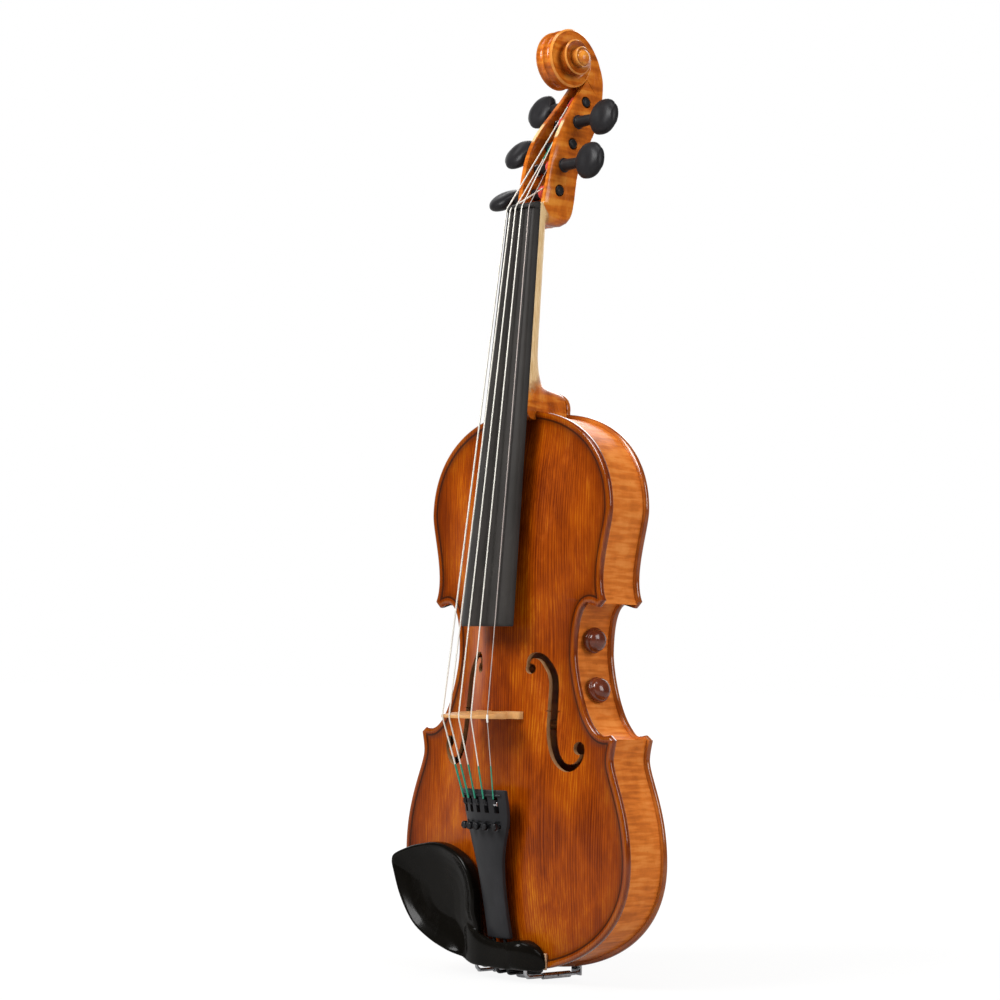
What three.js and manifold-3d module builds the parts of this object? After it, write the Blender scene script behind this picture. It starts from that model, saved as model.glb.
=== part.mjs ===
// Five-string violin with a hollow body, two controls on the treble rib and an output jack in the end pin.
// Millimetres. X runs across the instrument to the treble side, Y from the front to the back,
// Z up from the bottom of the body to the scroll. Pieces are laid out with Y = 0 on the crest of the
// front plate's edge and Z = 0 on the body's bottom edge; the whole group is then set on its lowest point.
import * as THREE from 'three';
import { mergeVertices } from 'three/addons/utils/BufferGeometryUtils.js';
import Module from 'manifold-3d';

const wasm = await Module();
wasm.setup();

// Clearances
const GLUE_GAP = 0.3;
const RUNNING_GAP = 0.3;
const OVERRUN = 1;
const WELD_REACH = 0.02;

// Body outline
const BODY_LENGTH = 356;
const LOWER_BOUT = 210;
const WAIST = 110;
const UPPER_BOUT = 169;

// Body depth: plates, ribs and what stands between them
const PLATE_EDGE = 3.8;
const RIB_HEIGHT = 28.4;
const RIB_THICKNESS = 1.2;
const OVERHANG = 2.8;
const LINING_THICKNESS = 1.9;
const LINING_HEIGHT = 7;
const TOP_ARCH = 12.8;
const BACK_ARCH = 11.2;
const TOP_THICKNESS = 3;
const BACK_THICKNESS = 3.8;
const CHANNEL_DEPTH = 0.9;
const CHANNEL_INSET = 8;
const EDGE_ROUND = 2;
const EDGE_DROP = 1.2;
const FLAT_BORDER = 13;
const BUTTON_RADIUS = 11;
const BUTTON_RISE = 3;
const BLOCK_WIDTH = 54;
const BLOCK_DEPTH = 16;
const MORTISE_DEPTH = 6;

// Sound holes
const HOLE_WIDTH = 6.5;
const HOLE_TIP_WIDTH = 2.5;
const UPPER_EYE_RADIUS = 3.4;
const LOWER_EYE_RADIUS = 4.5;
const NOTCH_LENGTH = 2.6;
const NOTCH_REACH = 1.8;

// Bridge, post and bar
const BRIDGE_HEIGHT_SHARE = 0.4522;
const BRIDGE_STRING_RISE = 7.18;
const BRIDGE_TOP_RADIUS = 33;
const BRIDGE_CROWN_X = -6;
const BRIDGE_FOOT_SPAN = 41;
const BRIDGE_TOP_SPAN = 40;
const BRIDGE_FOOT_THICKNESS = 4.8;
const BRIDGE_TOP_THICKNESS = 1.6;
const POST_RADIUS = 3;
const POST_X = 18;
const POST_SETBACK = 6;
const BAR_X = -16;
const BAR_LOWER_GAP = 64;
const BAR_UPPER_GAP = 42;
const BAR_WIDTH = 5.5;
const BAR_DEPTH = 11;
const PICKUP_RADIUS = 9;
const PICKUP_THICKNESS = 1.6;

// Neck, fingerboard and nut
const NECK_LENGTH = 130.7;
const NECK_SLOPE_SHARE = 0.10815;
const NUT_LENGTH = 4.6;
const NUT_RISE = 0.9;
const STRING_BEND = 1.8;
const BOARD_LENGTH = 270;
const BOARD_NUT_WIDTH = 26.6;
const BOARD_END_WIDTH = 45;
const BOARD_NUT_Y = -4.2;
const BOARD_RADIUS = 42;
const BOARD_EDGE = 4.9;
const BOARD_HOLLOW = 3.4;
const NECK_NUT_DEPTH = 10.6;
const NECK_HEEL_DEPTH = 12.5;
const HEEL_TOP_HALF = 14.5;
const HEEL_BUTTON_HALF = 10.6;
const HEEL_COVE = 30;
const HEEL_RISE = 24;

// Pegbox and scroll
const PEGBOX_SETBACK = 2.8;
const PEGBOX_FRONT_Y = 5.7;
const PEGBOX_LENGTH = 89.5;
const THROAT_Y = 47.5;
const PEGBOX_DEPTH = 24;
const PEGBOX_WIDTH = 26;
const THROAT_WIDTH = 17;
const CHEEK = 3.7;
const PEGBOX_FLOOR = 5;
const VOLUTE_Y = 34;
const VOLUTE_RISE = 11.8;
const VOLUTE_RADIUS = 20.6;
const VOLUTE_EYE_RADIUS = 4.2;
const VOLUTE_TURNS = 2.6;
const VOLUTE_WIDTH = 17;
const EYE_WIDTH = 36;
const FLUTE_DEPTH = 1.7;

// Pegs
const PEG_HEAD_END_RADIUS = 3.9;
const PEG_TIP_RADIUS = 3.2;
const PEG_COLLAR_RADIUS = 5.2;
const PEG_REACH = 8;
const PEG_HEAD_LENGTH = 23;
const PEG_HEAD_WIDTH = 22.6;
const PEG_HEAD_THICKNESS = 7;
const PEG_PROUD = 1.4;

// Strings
const STRING_NUT_SPACING = 5.3;
const STRING_BRIDGE_SPACING = 8.5;
const STRING_TAIL_SPACING = 7;
const STRING_NUT_RISE = 2;
const STRING_NUT_RADIUS = 32;
const WINDING_LENGTH = 5;
const WINDING_THICKNESS = 1;

// Tailpiece and fine tuners
const AFTER_LENGTH = 47;
const TAIL_BOTTOM_Z = 20;
const TAIL_TOP_WIDTH = 40;
const TAIL_BOTTOM_WIDTH = 23;
const TAIL_TOP_Y = -31;
const TAIL_BOTTOM_Y = -11.6;
const TAIL_CROWN = 5.6;
const TAIL_WALL = 4.4;
const SLOT_WIDTH = 3.4;
const SLOT_LENGTH = 14.6;
const LEVER_WIDTH = 2.6;
const LEVER_SETBACK = 7.5;
const TUNER_SETBACK = 23;
const TUNER_SCREW_RADIUS = 1.1;
const TUNER_KNOB_RADIUS = 2.9;
const TUNER_KNOB_HEIGHT = 3.4;
const TUNER_RISE = 2.2;
const TAILGUT_RADIUS = 1.1;
const TAILGUT_X = 5;

// Saddle, end pin with its jack, controls
const SADDLE_WIDTH = 34;
const SADDLE_HEIGHT = 3.4;
const SADDLE_LENGTH = 6.4;
const PIN_BARREL_RADIUS = 5.9;
const PIN_FLANGE_RADIUS = 8.3;
const PIN_GROOVE_RADIUS = 6.4;
const PIN_DROP = 6.2;
const PIN_GROOVE_LENGTH = 2.7;
const PIN_LENGTH = 21;
const JACK_RADIUS = 3.25;
const KNOB_RADIUS = 8.2;
const KNOB_HEIGHT = 8.6;
const KNOB_SHAFT_RADIUS = 3;
const CONTROL_Y = 17;
const VOLUME_RISE = 8;
const TONE_DROP = 23;
const POT_RADIUS = 8;
const POT_DEPTH = 8;

// Chinrest and its two clamps
const CHINREST_EDGE_INSET = 4;
const CHINREST_RIM_Y = -19;
const CHINREST_DISH = 6.5;
const CHINREST_UNDER_Y = -7.5;
const CHINREST_ARM_TOP_Y = -17.5;
const CHINREST_ARM_UNDER_Y = -13.2;
const CHINREST_ARM_DEPTH = 20;
const CHINREST_ARM_END_X = 49;
const CHINREST_FOOT_X = 17;
const CHINREST_CORNER = 14;
const CHINREST_SMALL_CORNER = 2;
const CLAMP_TREBLE_X = 24;
const CLAMP_BASS_X = -22;
const CLAMP_Z = -2.6;
const BARREL_RADIUS = 2.1;
const BARREL_START_Y = 7;
const BARREL_LENGTH = 24;
const CLAMP_ROD_RADIUS = 1.15;
const HOOK_BEND = 2;
const CLAMP_FOOT_REACH = 7;
const CLAMP_FOOT_WIDTH = 9;
const CLAMP_PLATE = 1.2;
const KEY_HOLE_RADIUS = 0.7;

const BACK_Y = 2 * PLATE_EDGE + RIB_HEIGHT;
const RIB_TOP_Y = PLATE_EDGE;
const RIB_BACK_Y = PLATE_EDGE + RIB_HEIGHT;
const PIN_Y = PLATE_EDGE + RIB_HEIGHT / 2;

// Heights and lines that follow from the sizes above
const WAIST_Z_SHARE = 0.5646;
const WAIST_Z = WAIST_Z_SHARE * BODY_LENGTH;
const VOLUME_Z = WAIST_Z + VOLUME_RISE;
const TONE_Z = WAIST_Z - TONE_DROP;
const BRIDGE_Z = BRIDGE_HEIGHT_SHARE * BODY_LENGTH;
const TAIL_TOP_Z = BRIDGE_Z - AFTER_LENGTH;
const LEVER_Z = TAIL_TOP_Z - LEVER_SETBACK;
const TUNER_Z = TAIL_TOP_Z - TUNER_SETBACK;
const BUTTON_CENTRE_Z = BODY_LENGTH + BUTTON_RISE;
const HEEL_COVE_Z = BODY_LENGTH + HEEL_COVE;
const NUT_Z = BODY_LENGTH + NECK_LENGTH;
const BOARD_END_Z = NUT_Z - BOARD_LENGTH;
const BOARD_END_Y = BOARD_NUT_Y - NECK_SLOPE_SHARE * BOARD_LENGTH;
const STRING_NUT_Y = BOARD_NUT_Y - STRING_NUT_RISE;
const BRIDGE_TOP_Y = BOARD_NUT_Y - NECK_SLOPE_SHARE * (NUT_Z - BRIDGE_Z) - BRIDGE_STRING_RISE;
const PEGBOX_FRONT_Z = NUT_Z + PEGBOX_SETBACK;
const THROAT_Z = PEGBOX_FRONT_Z + PEGBOX_LENGTH;
const VOLUTE_Z = THROAT_Z + VOLUTE_RISE;

// Colours of the real materials
const finishes = {
  spruce: { color: '#b4611e', roughness: 0.32, metalness: 0 },
  maple: { color: '#b9682c', roughness: 0.34, metalness: 0 },
  flamed: { color: '#c8824a', roughness: 0.34, metalness: 0 },
  inner_wood: { color: '#dcbb86', roughness: 0.7, metalness: 0 },
  bare_maple: { color: '#e2b983', roughness: 0.55, metalness: 0 },
  ebony: { color: '#2f2d2c', roughness: 0.42, metalness: 0 },
  gloss_ebony: { color: '#181512', roughness: 0.14, metalness: 0 },
  tail_composite: { color: '#3a3a3d', roughness: 0.4, metalness: 0 },
  black_metal: { color: '#26262a', roughness: 0.35, metalness: 0.7 },
  chrome: { color: '#c9ccd0', roughness: 0.16, metalness: 1 },
  string_metal: { color: '#d9d6cc', roughness: 0.3, metalness: 0.9 },
  knob_wood: { color: '#4c2413', roughness: 0.24, metalness: 0 },
  gut: { color: '#1b1b1c', roughness: 0.6, metalness: 0 },
};

// Solids: closed meshes joined, cut and turned into geometries

function solidOf(geometry) {
  geometry.deleteAttribute('normal');
  geometry.deleteAttribute('uv');
  const merged = mergeVertices(geometry);
  const vertProperties = new Float32Array(merged.attributes.position.array);
  const triVerts = new Uint32Array(merged.index.array);
  return new wasm.Manifold(new wasm.Mesh({ numProp: 3, vertProperties, triVerts }));
}

function geometryOf(solid) {
  const mesh = solid.getMesh();
  const geometry = new THREE.BufferGeometry();
  geometry.setAttribute('position', new THREE.BufferAttribute(mesh.vertProperties, 3));
  geometry.setIndex(new THREE.BufferAttribute(mesh.triVerts, 1));
  return geometry;
}

function joined(first, ...others) {
  return geometryOf(others.reduce((sum, other) => sum.add(solidOf(other)), solidOf(first)));
}

function commonOf(first, second) {
  return geometryOf(solidOf(first).intersect(solidOf(second)));
}

function cutBy(body, ...cutters) {
  return geometryOf(cutters.reduce((rest, cutter) => rest.subtract(solidOf(cutter)), solidOf(body)));
}

// A flat shape extruded by a unit, with its thickness then laid between two exact planes
function prism(points, from, to, place) {
  const shape = new THREE.Shape(points);
  const geometry = new THREE.ExtrudeGeometry(shape, { depth: 1, bevelEnabled: false, steps: 1 });
  const position = geometry.attributes.position;
  for (let i = 0; i < position.count; i += 1) {
    const level = position.getZ(i) > 0.5 ? to : from;
    const placed = place(position.getX(i), position.getY(i), level);
    position.setXYZ(i, placed.x, placed.y, placed.z);
  }
  return geometry;
}

// Outline in X and Z, thickness along Y
function slab(points, frontY, backY) {
  return prism(points, backY, frontY, (x, z, y) => new THREE.Vector3(x, y, z));
}

// Outline in Y and Z, thickness along X
function sidePrism(points, lowX, highX) {
  return prism(points, lowX, highX, (y, z, x) => new THREE.Vector3(x, y, z));
}

// Outline in X and Y, thickness along Z
function plan(points, lowZ, highZ) {
  return prism(points, lowZ, highZ, (x, y, z) => new THREE.Vector3(x, y, z));
}

// Faces round the sides of rings that have the same number of points
function sideFaces(rings) {
  const count = rings[0].length;
  const index = [];
  for (let k = 0; k < rings.length - 1; k += 1) {
    const here = k * count;
    const above = here + count;
    for (let i = 0; i < count; i += 1) {
      const next = (i + 1) % count;
      index.push(here + i, here + next, above + next, here + i, above + next, above + i);
    }
  }
  return index;
}

// Rings closed at both ends by a fan round each end ring's middle
function loft(rings) {
  const count = rings[0].length;
  const middles = [rings[0], rings[rings.length - 1]].map((ring) =>
    ring.reduce((sum, point) => sum.add(point), new THREE.Vector3()).divideScalar(count));
  const firstMiddle = rings.length * count;
  const last = firstMiddle - count;
  const index = sideFaces(rings);
  for (let i = 0; i < count; i += 1) {
    const next = (i + 1) % count;
    index.push(firstMiddle, next, i, firstMiddle + 1, last + i, last + next);
  }
  return indexed([...rings.flat(), ...middles], index);
}

// Rings that run along one face and back along the other, closed at both ends between the two faces
function crescentLoft(rings) {
  const count = rings[0].length;
  const last = (rings.length - 1) * count;
  const index = sideFaces(rings);
  for (let i = 0; i < count / 2 - 1; i += 1) {
    const [near, far] = [i + 1, count - 1 - i];
    index.push(i, far, near, near, far, far - 1);
    index.push(last + i, last + near, last + far, last + near, last + far - 1, last + far);
  }
  return indexed(rings.flat(), index);
}

// Points closer than the reach become one, and triangles that shrink to a line there are left out
function welded(geometry, reach) {
  const merged = mergeVertices(geometry, reach);
  const source = merged.index.array;
  const kept = [];
  for (let i = 0; i < source.length; i += 3) {
    const [a, b, c] = [source[i], source[i + 1], source[i + 2]];
    if (a !== b && b !== c && a !== c) {
      kept.push(a, b, c);
    }
  }
  merged.setIndex(kept);
  return merged;
}

// Built from points and faces, turned so that the faces point out
function indexed(vertices, index) {
  const geometry = new THREE.BufferGeometry();
  geometry.setAttribute('position', new THREE.BufferAttribute(new Float32Array(
    vertices.flatMap((point) => [point.x, point.y, point.z])), 3));
  geometry.setIndex(index);
  if (volumeOf(vertices, index) < 0) {
    for (let i = 0; i < index.length; i += 3) {
      [index[i + 1], index[i + 2]] = [index[i + 2], index[i + 1]];
    }
    geometry.setIndex(index);
  }
  return geometry;
}

function volumeOf(vertices, index) {
  let volume = 0;
  for (let i = 0; i < index.length; i += 3) {
    const [a, b, c] = [vertices[index[i]], vertices[index[i + 1]], vertices[index[i + 2]]];
    volume += a.dot(new THREE.Vector3().crossVectors(b, c)) / 6;
  }
  return volume;
}

// A turned piece: profile of radius and height, with its axis laid along X, Y or Z
function turned(profile, segments, axis) {
  const points = profile.map(([radius, height]) => new THREE.Vector2(radius, height));
  const geometry = new THREE.LatheGeometry(points, segments);
  if (axis === 'x') {
    geometry.rotateZ(-Math.PI / 2);
  }
  if (axis === 'z') {
    geometry.rotateX(Math.PI / 2);
  }
  return geometry;
}

function rod(radius, length, segments, axis) {
  return turned([[0, 0], [radius, 0], [radius, length], [0, length]], segments, axis);
}

function circlePoints(x, y, radius, sides) {
  return new THREE.EllipseCurve(x, y, radius, radius).getPoints(sides).slice(0, sides);
}

// A round section carried along a path
function cordAlong(points, radius, sides, steps) {
  const path = new THREE.CatmullRomCurve3(points, false, 'centripetal');
  const section = new THREE.Shape(circlePoints(0, 0, radius, sides));
  return new THREE.ExtrudeGeometry(section, { steps, extrudePath: path, bevelEnabled: false });
}

const lerp = THREE.MathUtils.lerp;
const smooth = (low, high, value) => THREE.MathUtils.smoothstep(value, low, high);

// Body outline, treble half, from the bottom to the top: each stretch is one cubic curve.
// Widths are shares of half a bout, or of the way from the waist to a corner; heights are
// shares of the body length. The spine shares say which points on the centre line face it.
const outlineShares = [
  { bout: 'lower',
    points: [[0, 0], [0.458, 0], [1, 0.0603], [1, 0.1994]],
    spine: [0.16, 0.22], steps: 7 },
  { bout: 'lower',
    points: [[1, 0.1994], [1, 0.2912], [0.854, 0.3474], [0.844, 0.3778]],
    spine: [0.22, 0.325], steps: 5 },
  { bout: 'lower',
    points: [[0.844, 0.3778], [0.841, 0.3874], [0.863, 0.41], [0.867, 0.4143]],
    spine: [0.325, 0.345], steps: 2 },
  { bout: 'lowerTip',
    points: [[0.867, 0.4143], [0.854, 0.4171], [0.841, 0.42], [0.8286, 0.4228]],
    spine: [0.345, 0.36], steps: 1 },
  { bout: 'lowerCurl',
    points: [[1, 0.4228], [0.358, 0.4025], [0, 0.53], [0, 0.5646]],
    spine: [0.36, 0.55], steps: 8 },
  { bout: 'upperCurl',
    points: [[0, 0.5646], [0, 0.6412], [0.363, 0.6667], [1, 0.6447]],
    spine: [0.55, 0.695], steps: 7 },
  { bout: 'upperTip',
    points: [[0.8935, 0.6447], [0.91, 0.6484], [0.927, 0.6522], [0.9444, 0.6559]],
    spine: [0.695, 0.705], steps: 1 },
  { bout: 'upper',
    points: [[0.9444, 0.6559], [0.84, 0.7011], [1, 0.784], [1, 0.8174]],
    spine: [0.705, 0.8], steps: 6 },
  { bout: 'upper',
    points: [[1, 0.8174], [1, 0.9219], [0.6237, 1], [0, 1]],
    spine: [0.8, 0.87], steps: 8 },
];
const LOWER_CORNER_SHARE = 0.8286;
const UPPER_CORNER_SHARE = 0.8935;

const acrossAt = {
  lower: (share) => share * LOWER_BOUT / 2,
  lowerTip: (share) => share * LOWER_BOUT / 2,
  lowerCurl: (share) => lerp(WAIST / 2, LOWER_CORNER_SHARE * LOWER_BOUT / 2, share),
  upperCurl: (share) => lerp(WAIST / 2, UPPER_CORNER_SHARE * UPPER_BOUT / 2, share),
  upperTip: (share) => share * UPPER_BOUT / 2,
  upper: (share) => share * UPPER_BOUT / 2,
};

function outlineCurve(stretch) {
  const across = acrossAt[stretch.bout];
  return new THREE.CubicBezierCurve(
    ...stretch.points.map(([width, height]) => new THREE.Vector2(across(width), height * BODY_LENGTH)));
}

// Points of some stretches of the treble half, each with its partner on the spine
function halfOutline(first, last) {
  const points = [];
  outlineShares.slice(first, last + 1).forEach((stretch, order) => {
    const curve = outlineCurve(stretch);
    for (let step = order === 0 ? 0 : 1; step <= stretch.steps; step += 1) {
      const t = step / stretch.steps;
      const point = curve.getPoint(t);
      point.spine = lerp(stretch.spine[0], stretch.spine[1], t) * BODY_LENGTH;
      points.push(point);
    }
  });
  return points;
}

function mirrored(points) {
  return points.map((point) => {
    const twin = new THREE.Vector2(-point.x, point.y);
    twin.spine = point.spine;
    return twin;
  }).reverse();
}

// Points moved sideways by a distance, to the left of the way they run
function offsetPoints(points, distance) {
  return points.map((point, i) => {
    const before = points[Math.max(i - 1, 0)];
    const after = points[Math.min(i + 1, points.length - 1)];
    const along = new THREE.Vector2().subVectors(after, before).normalize();
    return new THREE.Vector2(point.x - along.y * distance, point.y + along.x * distance);
  });
}

function strip(points, nearer, farther) {
  return [...offsetPoints(points, nearer), ...offsetPoints(points, farther).reverse()];
}

// The line run on straight at both ends
function extended(points, length) {
  const start = points[0].clone().sub(points[1]).setLength(length).add(points[0]);
  const last = points[points.length - 1];
  const end = last.clone().sub(points[points.length - 2]).setLength(length).add(last);
  return [start, ...points, end];
}

// Arching: long arch along the middle, cross arch over the width that the bouts leave
const LOWER_Z_SHARE = 0.1994;
const UPPER_Z_SHARE = 0.8174;
const LONG_ARCH_SHARES = { middle: 0.485, fullness: 2.6, border: 0.03 };
const CROSS_ARCH_SHARES = { width: 0.93, fullness: 1.12 };

function boutHalfWidth(z) {
  const along = z / BODY_LENGTH;
  if (along <= LOWER_Z_SHARE) {
    return LOWER_BOUT / 2 * Math.sqrt(Math.max(0, 1 - ((LOWER_Z_SHARE - along) / LOWER_Z_SHARE) ** 2));
  }
  if (along < WAIST_Z_SHARE) {
    return lerp(LOWER_BOUT / 2, WAIST / 2, smooth(LOWER_Z_SHARE, WAIST_Z_SHARE, along));
  }
  if (along < UPPER_Z_SHARE) {
    return lerp(WAIST / 2, UPPER_BOUT / 2, smooth(WAIST_Z_SHARE, UPPER_Z_SHARE, along));
  }
  return UPPER_BOUT / 2 * Math.sqrt(Math.max(0, 1 - ((along - UPPER_Z_SHARE) / (1 - UPPER_Z_SHARE)) ** 2));
}

function archHeight(x, z, height) {
  const { middle, fullness, border } = LONG_ARCH_SHARES;
  const half = z < middle * BODY_LENGTH ? middle - border : 1 - middle - border;
  const reach = Math.min(1, Math.abs(z / BODY_LENGTH - middle) / half);
  const long = 1 - reach ** fullness;
  const width = Math.max(boutHalfWidth(z) * CROSS_ARCH_SHARES.width, CHANNEL_INSET);
  const side = Math.min(1, Math.abs(x) / width) ** CROSS_ARCH_SHARES.fullness;
  return (height + CHANNEL_DEPTH) * long * (1 + Math.cos(Math.PI * side)) / 2;
}

// How far in front of the edge crest the top plate's outer face stands
const topFaceY = (x, z) => CHANNEL_DEPTH - archHeight(x, z, TOP_ARCH);

const outerRingShares = [0.2, 0.42, 0.68, 1];
const innerRingShares = [1, 0.55];

// One plate, as rings from the edge to the spine on its outer and inner face
function plateGeometry(arch, thickness, edgeY, outward) {
  const half = halfOutline(0, outlineShares.length - 1);
  const loop = [...half, ...mirrored(half).slice(1, -1)];
  const seatY = edgeY - outward * PLATE_EDGE;
  const outerY = (x, z) => edgeY + outward * (archHeight(x, z, arch) - CHANNEL_DEPTH);
  const innerY = (x, z) => {
    const hollow = edgeY + outward * (archHeight(x, z, arch) - CHANNEL_DEPTH - thickness);
    return outward > 0 ? Math.max(hollow, seatY) : Math.min(hollow, seatY);
  };
  const ring = (reach, heightAt) => loop.map((point) => {
    const spine = new THREE.Vector2(0, point.spine);
    const inset = reach(point.distanceTo(spine));
    const at = point.clone().lerp(spine, inset);
    return new THREE.Vector3(at.x, heightAt(at.x, at.y), at.y);
  });
  const byDistance = (distance) => (length) => distance / length;
  const byShare = (share) => (length) => lerp(CHANNEL_INSET / length, 1, share);
  const rings = [
    ring(byDistance(0), () => edgeY - outward * EDGE_DROP),
    ring(byDistance(EDGE_ROUND), () => edgeY),
    ring(byDistance(CHANNEL_INSET), outerY),
    ...outerRingShares.map((share) => ring(byShare(share), outerY)),
    ...innerRingShares.map((share) => ring(byShare(share), innerY)),
    ring(byDistance(FLAT_BORDER), () => seatY),
    ring(byDistance(0), () => seatY),
  ];
  const count = loop.length;
  const index = [];
  rings.forEach((unused, k) => {
    const spineStep = k === outerRingShares.length + 2;
    if (!spineStep) {
      const here = k * count;
      const above = ((k + 1) % rings.length) * count;
      for (let i = 0; i < count; i += 1) {
        const next = (i + 1) % count;
        index.push(here + i, here + next, above + next, here + i, above + next, above + i);
      }
    }
  });
  return welded(indexed(rings.flat(), index));
}

// Both plates before any cut, for fitting other pieces to their faces
const plateBlanks = {
  top: plateGeometry(TOP_ARCH, TOP_THICKNESS, 0, -1),
  back: plateGeometry(BACK_ARCH, BACK_THICKNESS, BACK_Y, 1),
};

// Sound hole: a stem that swells in its middle, an eye at each end and a notch on both sides
const stemShares = [
  [0.303, 0.541], [0.322, 0.557], [0.37, 0.562], [0.43, 0.551], [0.492, 0.518], [0.507, 0.465],
  [0.515, 0.42], [0.56, 0.384], [0.632, 0.361], [0.7, 0.366],
];
const UPPER_EYE_SHARES = [0.303, 0.534];
const LOWER_EYE_SHARES = [0.755, 0.393];
const NOTCH_SHARES = [0.508, 0.461];
const holePoint = ([across, along]) => new THREE.Vector2(across * UPPER_BOUT / 2, along * BODY_LENGTH);

function soundHole(side) {
  const middle = new THREE.SplineCurve(stemShares.map(holePoint));
  const count = 16;
  const nearer = [];
  const farther = [];
  for (let i = 0; i <= count; i += 1) {
    const t = i / count;
    const at = middle.getPoint(t);
    const along = middle.getTangent(t);
    const half = lerp(HOLE_TIP_WIDTH, HOLE_WIDTH, Math.sin(Math.PI * t) ** 1.3) / 2;
    nearer.push(new THREE.Vector2(at.x - along.y * half, at.y + along.x * half));
    farther.push(new THREE.Vector2(at.x + along.y * half, at.y - along.x * half));
  }
  const stem = [...nearer, ...farther.reverse()];
  const upperEye = circlePoints(...holePoint(UPPER_EYE_SHARES), UPPER_EYE_RADIUS, 10);
  const lowerEye = circlePoints(...holePoint(LOWER_EYE_SHARES), LOWER_EYE_RADIUS, 12);
  const notchAt = holePoint(NOTCH_SHARES);
  const reach = HOLE_WIDTH / 2 + NOTCH_REACH;
  const notch = [[-reach, 0], [0, -NOTCH_LENGTH], [reach, 0], [0, NOTCH_LENGTH]].map(([x, z]) =>
    new THREE.Vector2(notchAt.x + x, notchAt.y + z));
  const placed = [stem, upperEye, lowerEye, notch].map((points) =>
    points.map((point) => new THREE.Vector2(side * point.x, point.y)));
  const through = placed.map((points) => slab(points, -TOP_ARCH - OVERRUN, PLATE_EDGE + OVERRUN));
  return joined(through[0], ...through.slice(1));
}

// Ribs: bent strips between the plates, with a lining along both edges
const LOWER_LAST = 2;
const CURL_FIRST = 4;
const CURL_LAST = 5;
const UPPER_FIRST = 7;
const CORNER_RUN = 7;
const LINING_BITE = 0.2;

function ribSolid(points, linedRuns) {
  const wall = slab(strip(points, OVERHANG, OVERHANG + RIB_THICKNESS), RIB_TOP_Y, RIB_BACK_Y);
  const inside = OVERHANG + RIB_THICKNESS;
  const linings = linedRuns.flatMap(([first, last]) => {
    const band = strip(points, inside - LINING_BITE, inside + LINING_THICKNESS);
    const opposite = band.slice(band.length - 1 - last, band.length - first);
    const run = [...band.slice(first, last + 1), ...opposite];
    return [
      slab(run, RIB_TOP_Y, RIB_TOP_Y + LINING_HEIGHT),
      slab(run, RIB_BACK_Y - LINING_HEIGHT, RIB_BACK_Y),
    ];
  });
  return joined(wall, ...linings);
}

// The space that the middle bout's rib and what lies outside it take, run on past both corners
function curlZone(side) {
  const line = extended(halfOutline(CURL_FIRST, CURL_LAST), CORNER_RUN);
  const zone = strip(line, -OVERHANG, OVERHANG + RIB_THICKNESS + GLUE_GAP);
  const placed = zone.map((point) => new THREE.Vector2(side * point.x, point.y));
  return slab(placed, RIB_TOP_Y - OVERRUN, RIB_BACK_Y + OVERRUN);
}

// How many outline points the linings keep clear of the blocks
const LINING_FROM_CORNER = 4;
const LINING_FROM_BLOCK = 2;

function lowerRib() {
  const half = halfOutline(0, LOWER_LAST);
  const whole = [...mirrored(half), ...half.slice(1)];
  const pinHole = rod(PIN_BARREL_RADIUS + GLUE_GAP, BLOCK_DEPTH, 20, 'z');
  pinHole.translate(0, PIN_Y, 0);
  const middle = half.length - 1;
  const runs = [
    [LINING_FROM_CORNER, middle - LINING_FROM_BLOCK],
    [middle + LINING_FROM_BLOCK, whole.length - 1 - LINING_FROM_CORNER],
  ];
  return cutBy(ribSolid(whole, runs), curlZone(1), curlZone(-1), pinHole);
}

function middleRib(side) {
  const points = halfOutline(CURL_FIRST, CURL_LAST);
  const rib = ribSolid(points, [[LINING_FROM_CORNER, points.length - 1 - LINING_FROM_CORNER]]);
  const holes = side > 0 ? [VOLUME_Z, TONE_Z].map((z) => controlHole(z)) : [];
  return cutBy(side > 0 ? rib : mirrorX(rib), ...holes);
}

function upperRib(side) {
  const points = halfOutline(UPPER_FIRST, outlineShares.length - 1);
  const rib = ribSolid(points, [[LINING_FROM_CORNER, points.length - 1 - LINING_FROM_BLOCK]]);
  return cutBy(side > 0 ? rib : mirrorX(rib), curlZone(side), neckRoot(GLUE_GAP));
}

function mirrorX(geometry) {
  const twin = geometry.clone();
  twin.scale(-1, 1, 1);
  const index = twin.index.array;
  for (let i = 0; i < index.length; i += 3) {
    [index[i], index[i + 1]] = [index[i + 1], index[i]];
  }
  return twin;
}

// Blocks inside the body
const BLOCK_FACE = OVERHANG + RIB_THICKNESS + GLUE_GAP;

function neckBlock() {
  const line = halfOutline(outlineShares.length - 1, outlineShares.length - 1);
  const inner = offsetPoints(line, BLOCK_FACE);
  const whole = slab([...inner, ...mirrored(inner).slice(1)], RIB_TOP_Y, RIB_BACK_Y);
  const foot = BODY_LENGTH - BLOCK_FACE - BLOCK_DEPTH;
  const face = rectangle(-BLOCK_WIDTH / 2, foot, BLOCK_WIDTH / 2, BODY_LENGTH);
  const bounds = slab(face, RIB_TOP_Y, RIB_BACK_Y);
  return cutBy(commonOf(whole, bounds), neckRoot(GLUE_GAP));
}

function endBlock() {
  const line = halfOutline(0, 0);
  const inner = offsetPoints(line, BLOCK_FACE);
  const whole = slab([...inner, ...mirrored(inner).slice(0, -1)], RIB_TOP_Y, RIB_BACK_Y);
  const face = rectangle(-BLOCK_WIDTH / 2, 0, BLOCK_WIDTH / 2, BLOCK_FACE + BLOCK_DEPTH);
  const bounds = slab(face, RIB_TOP_Y, RIB_BACK_Y);
  const bore = rod(PIN_BARREL_RADIUS + GLUE_GAP, BLOCK_DEPTH + BLOCK_FACE + 2 * OVERRUN, 20, 'z');
  bore.translate(0, PIN_Y, 0);
  return cutBy(commonOf(whole, bounds), bore);
}

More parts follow.
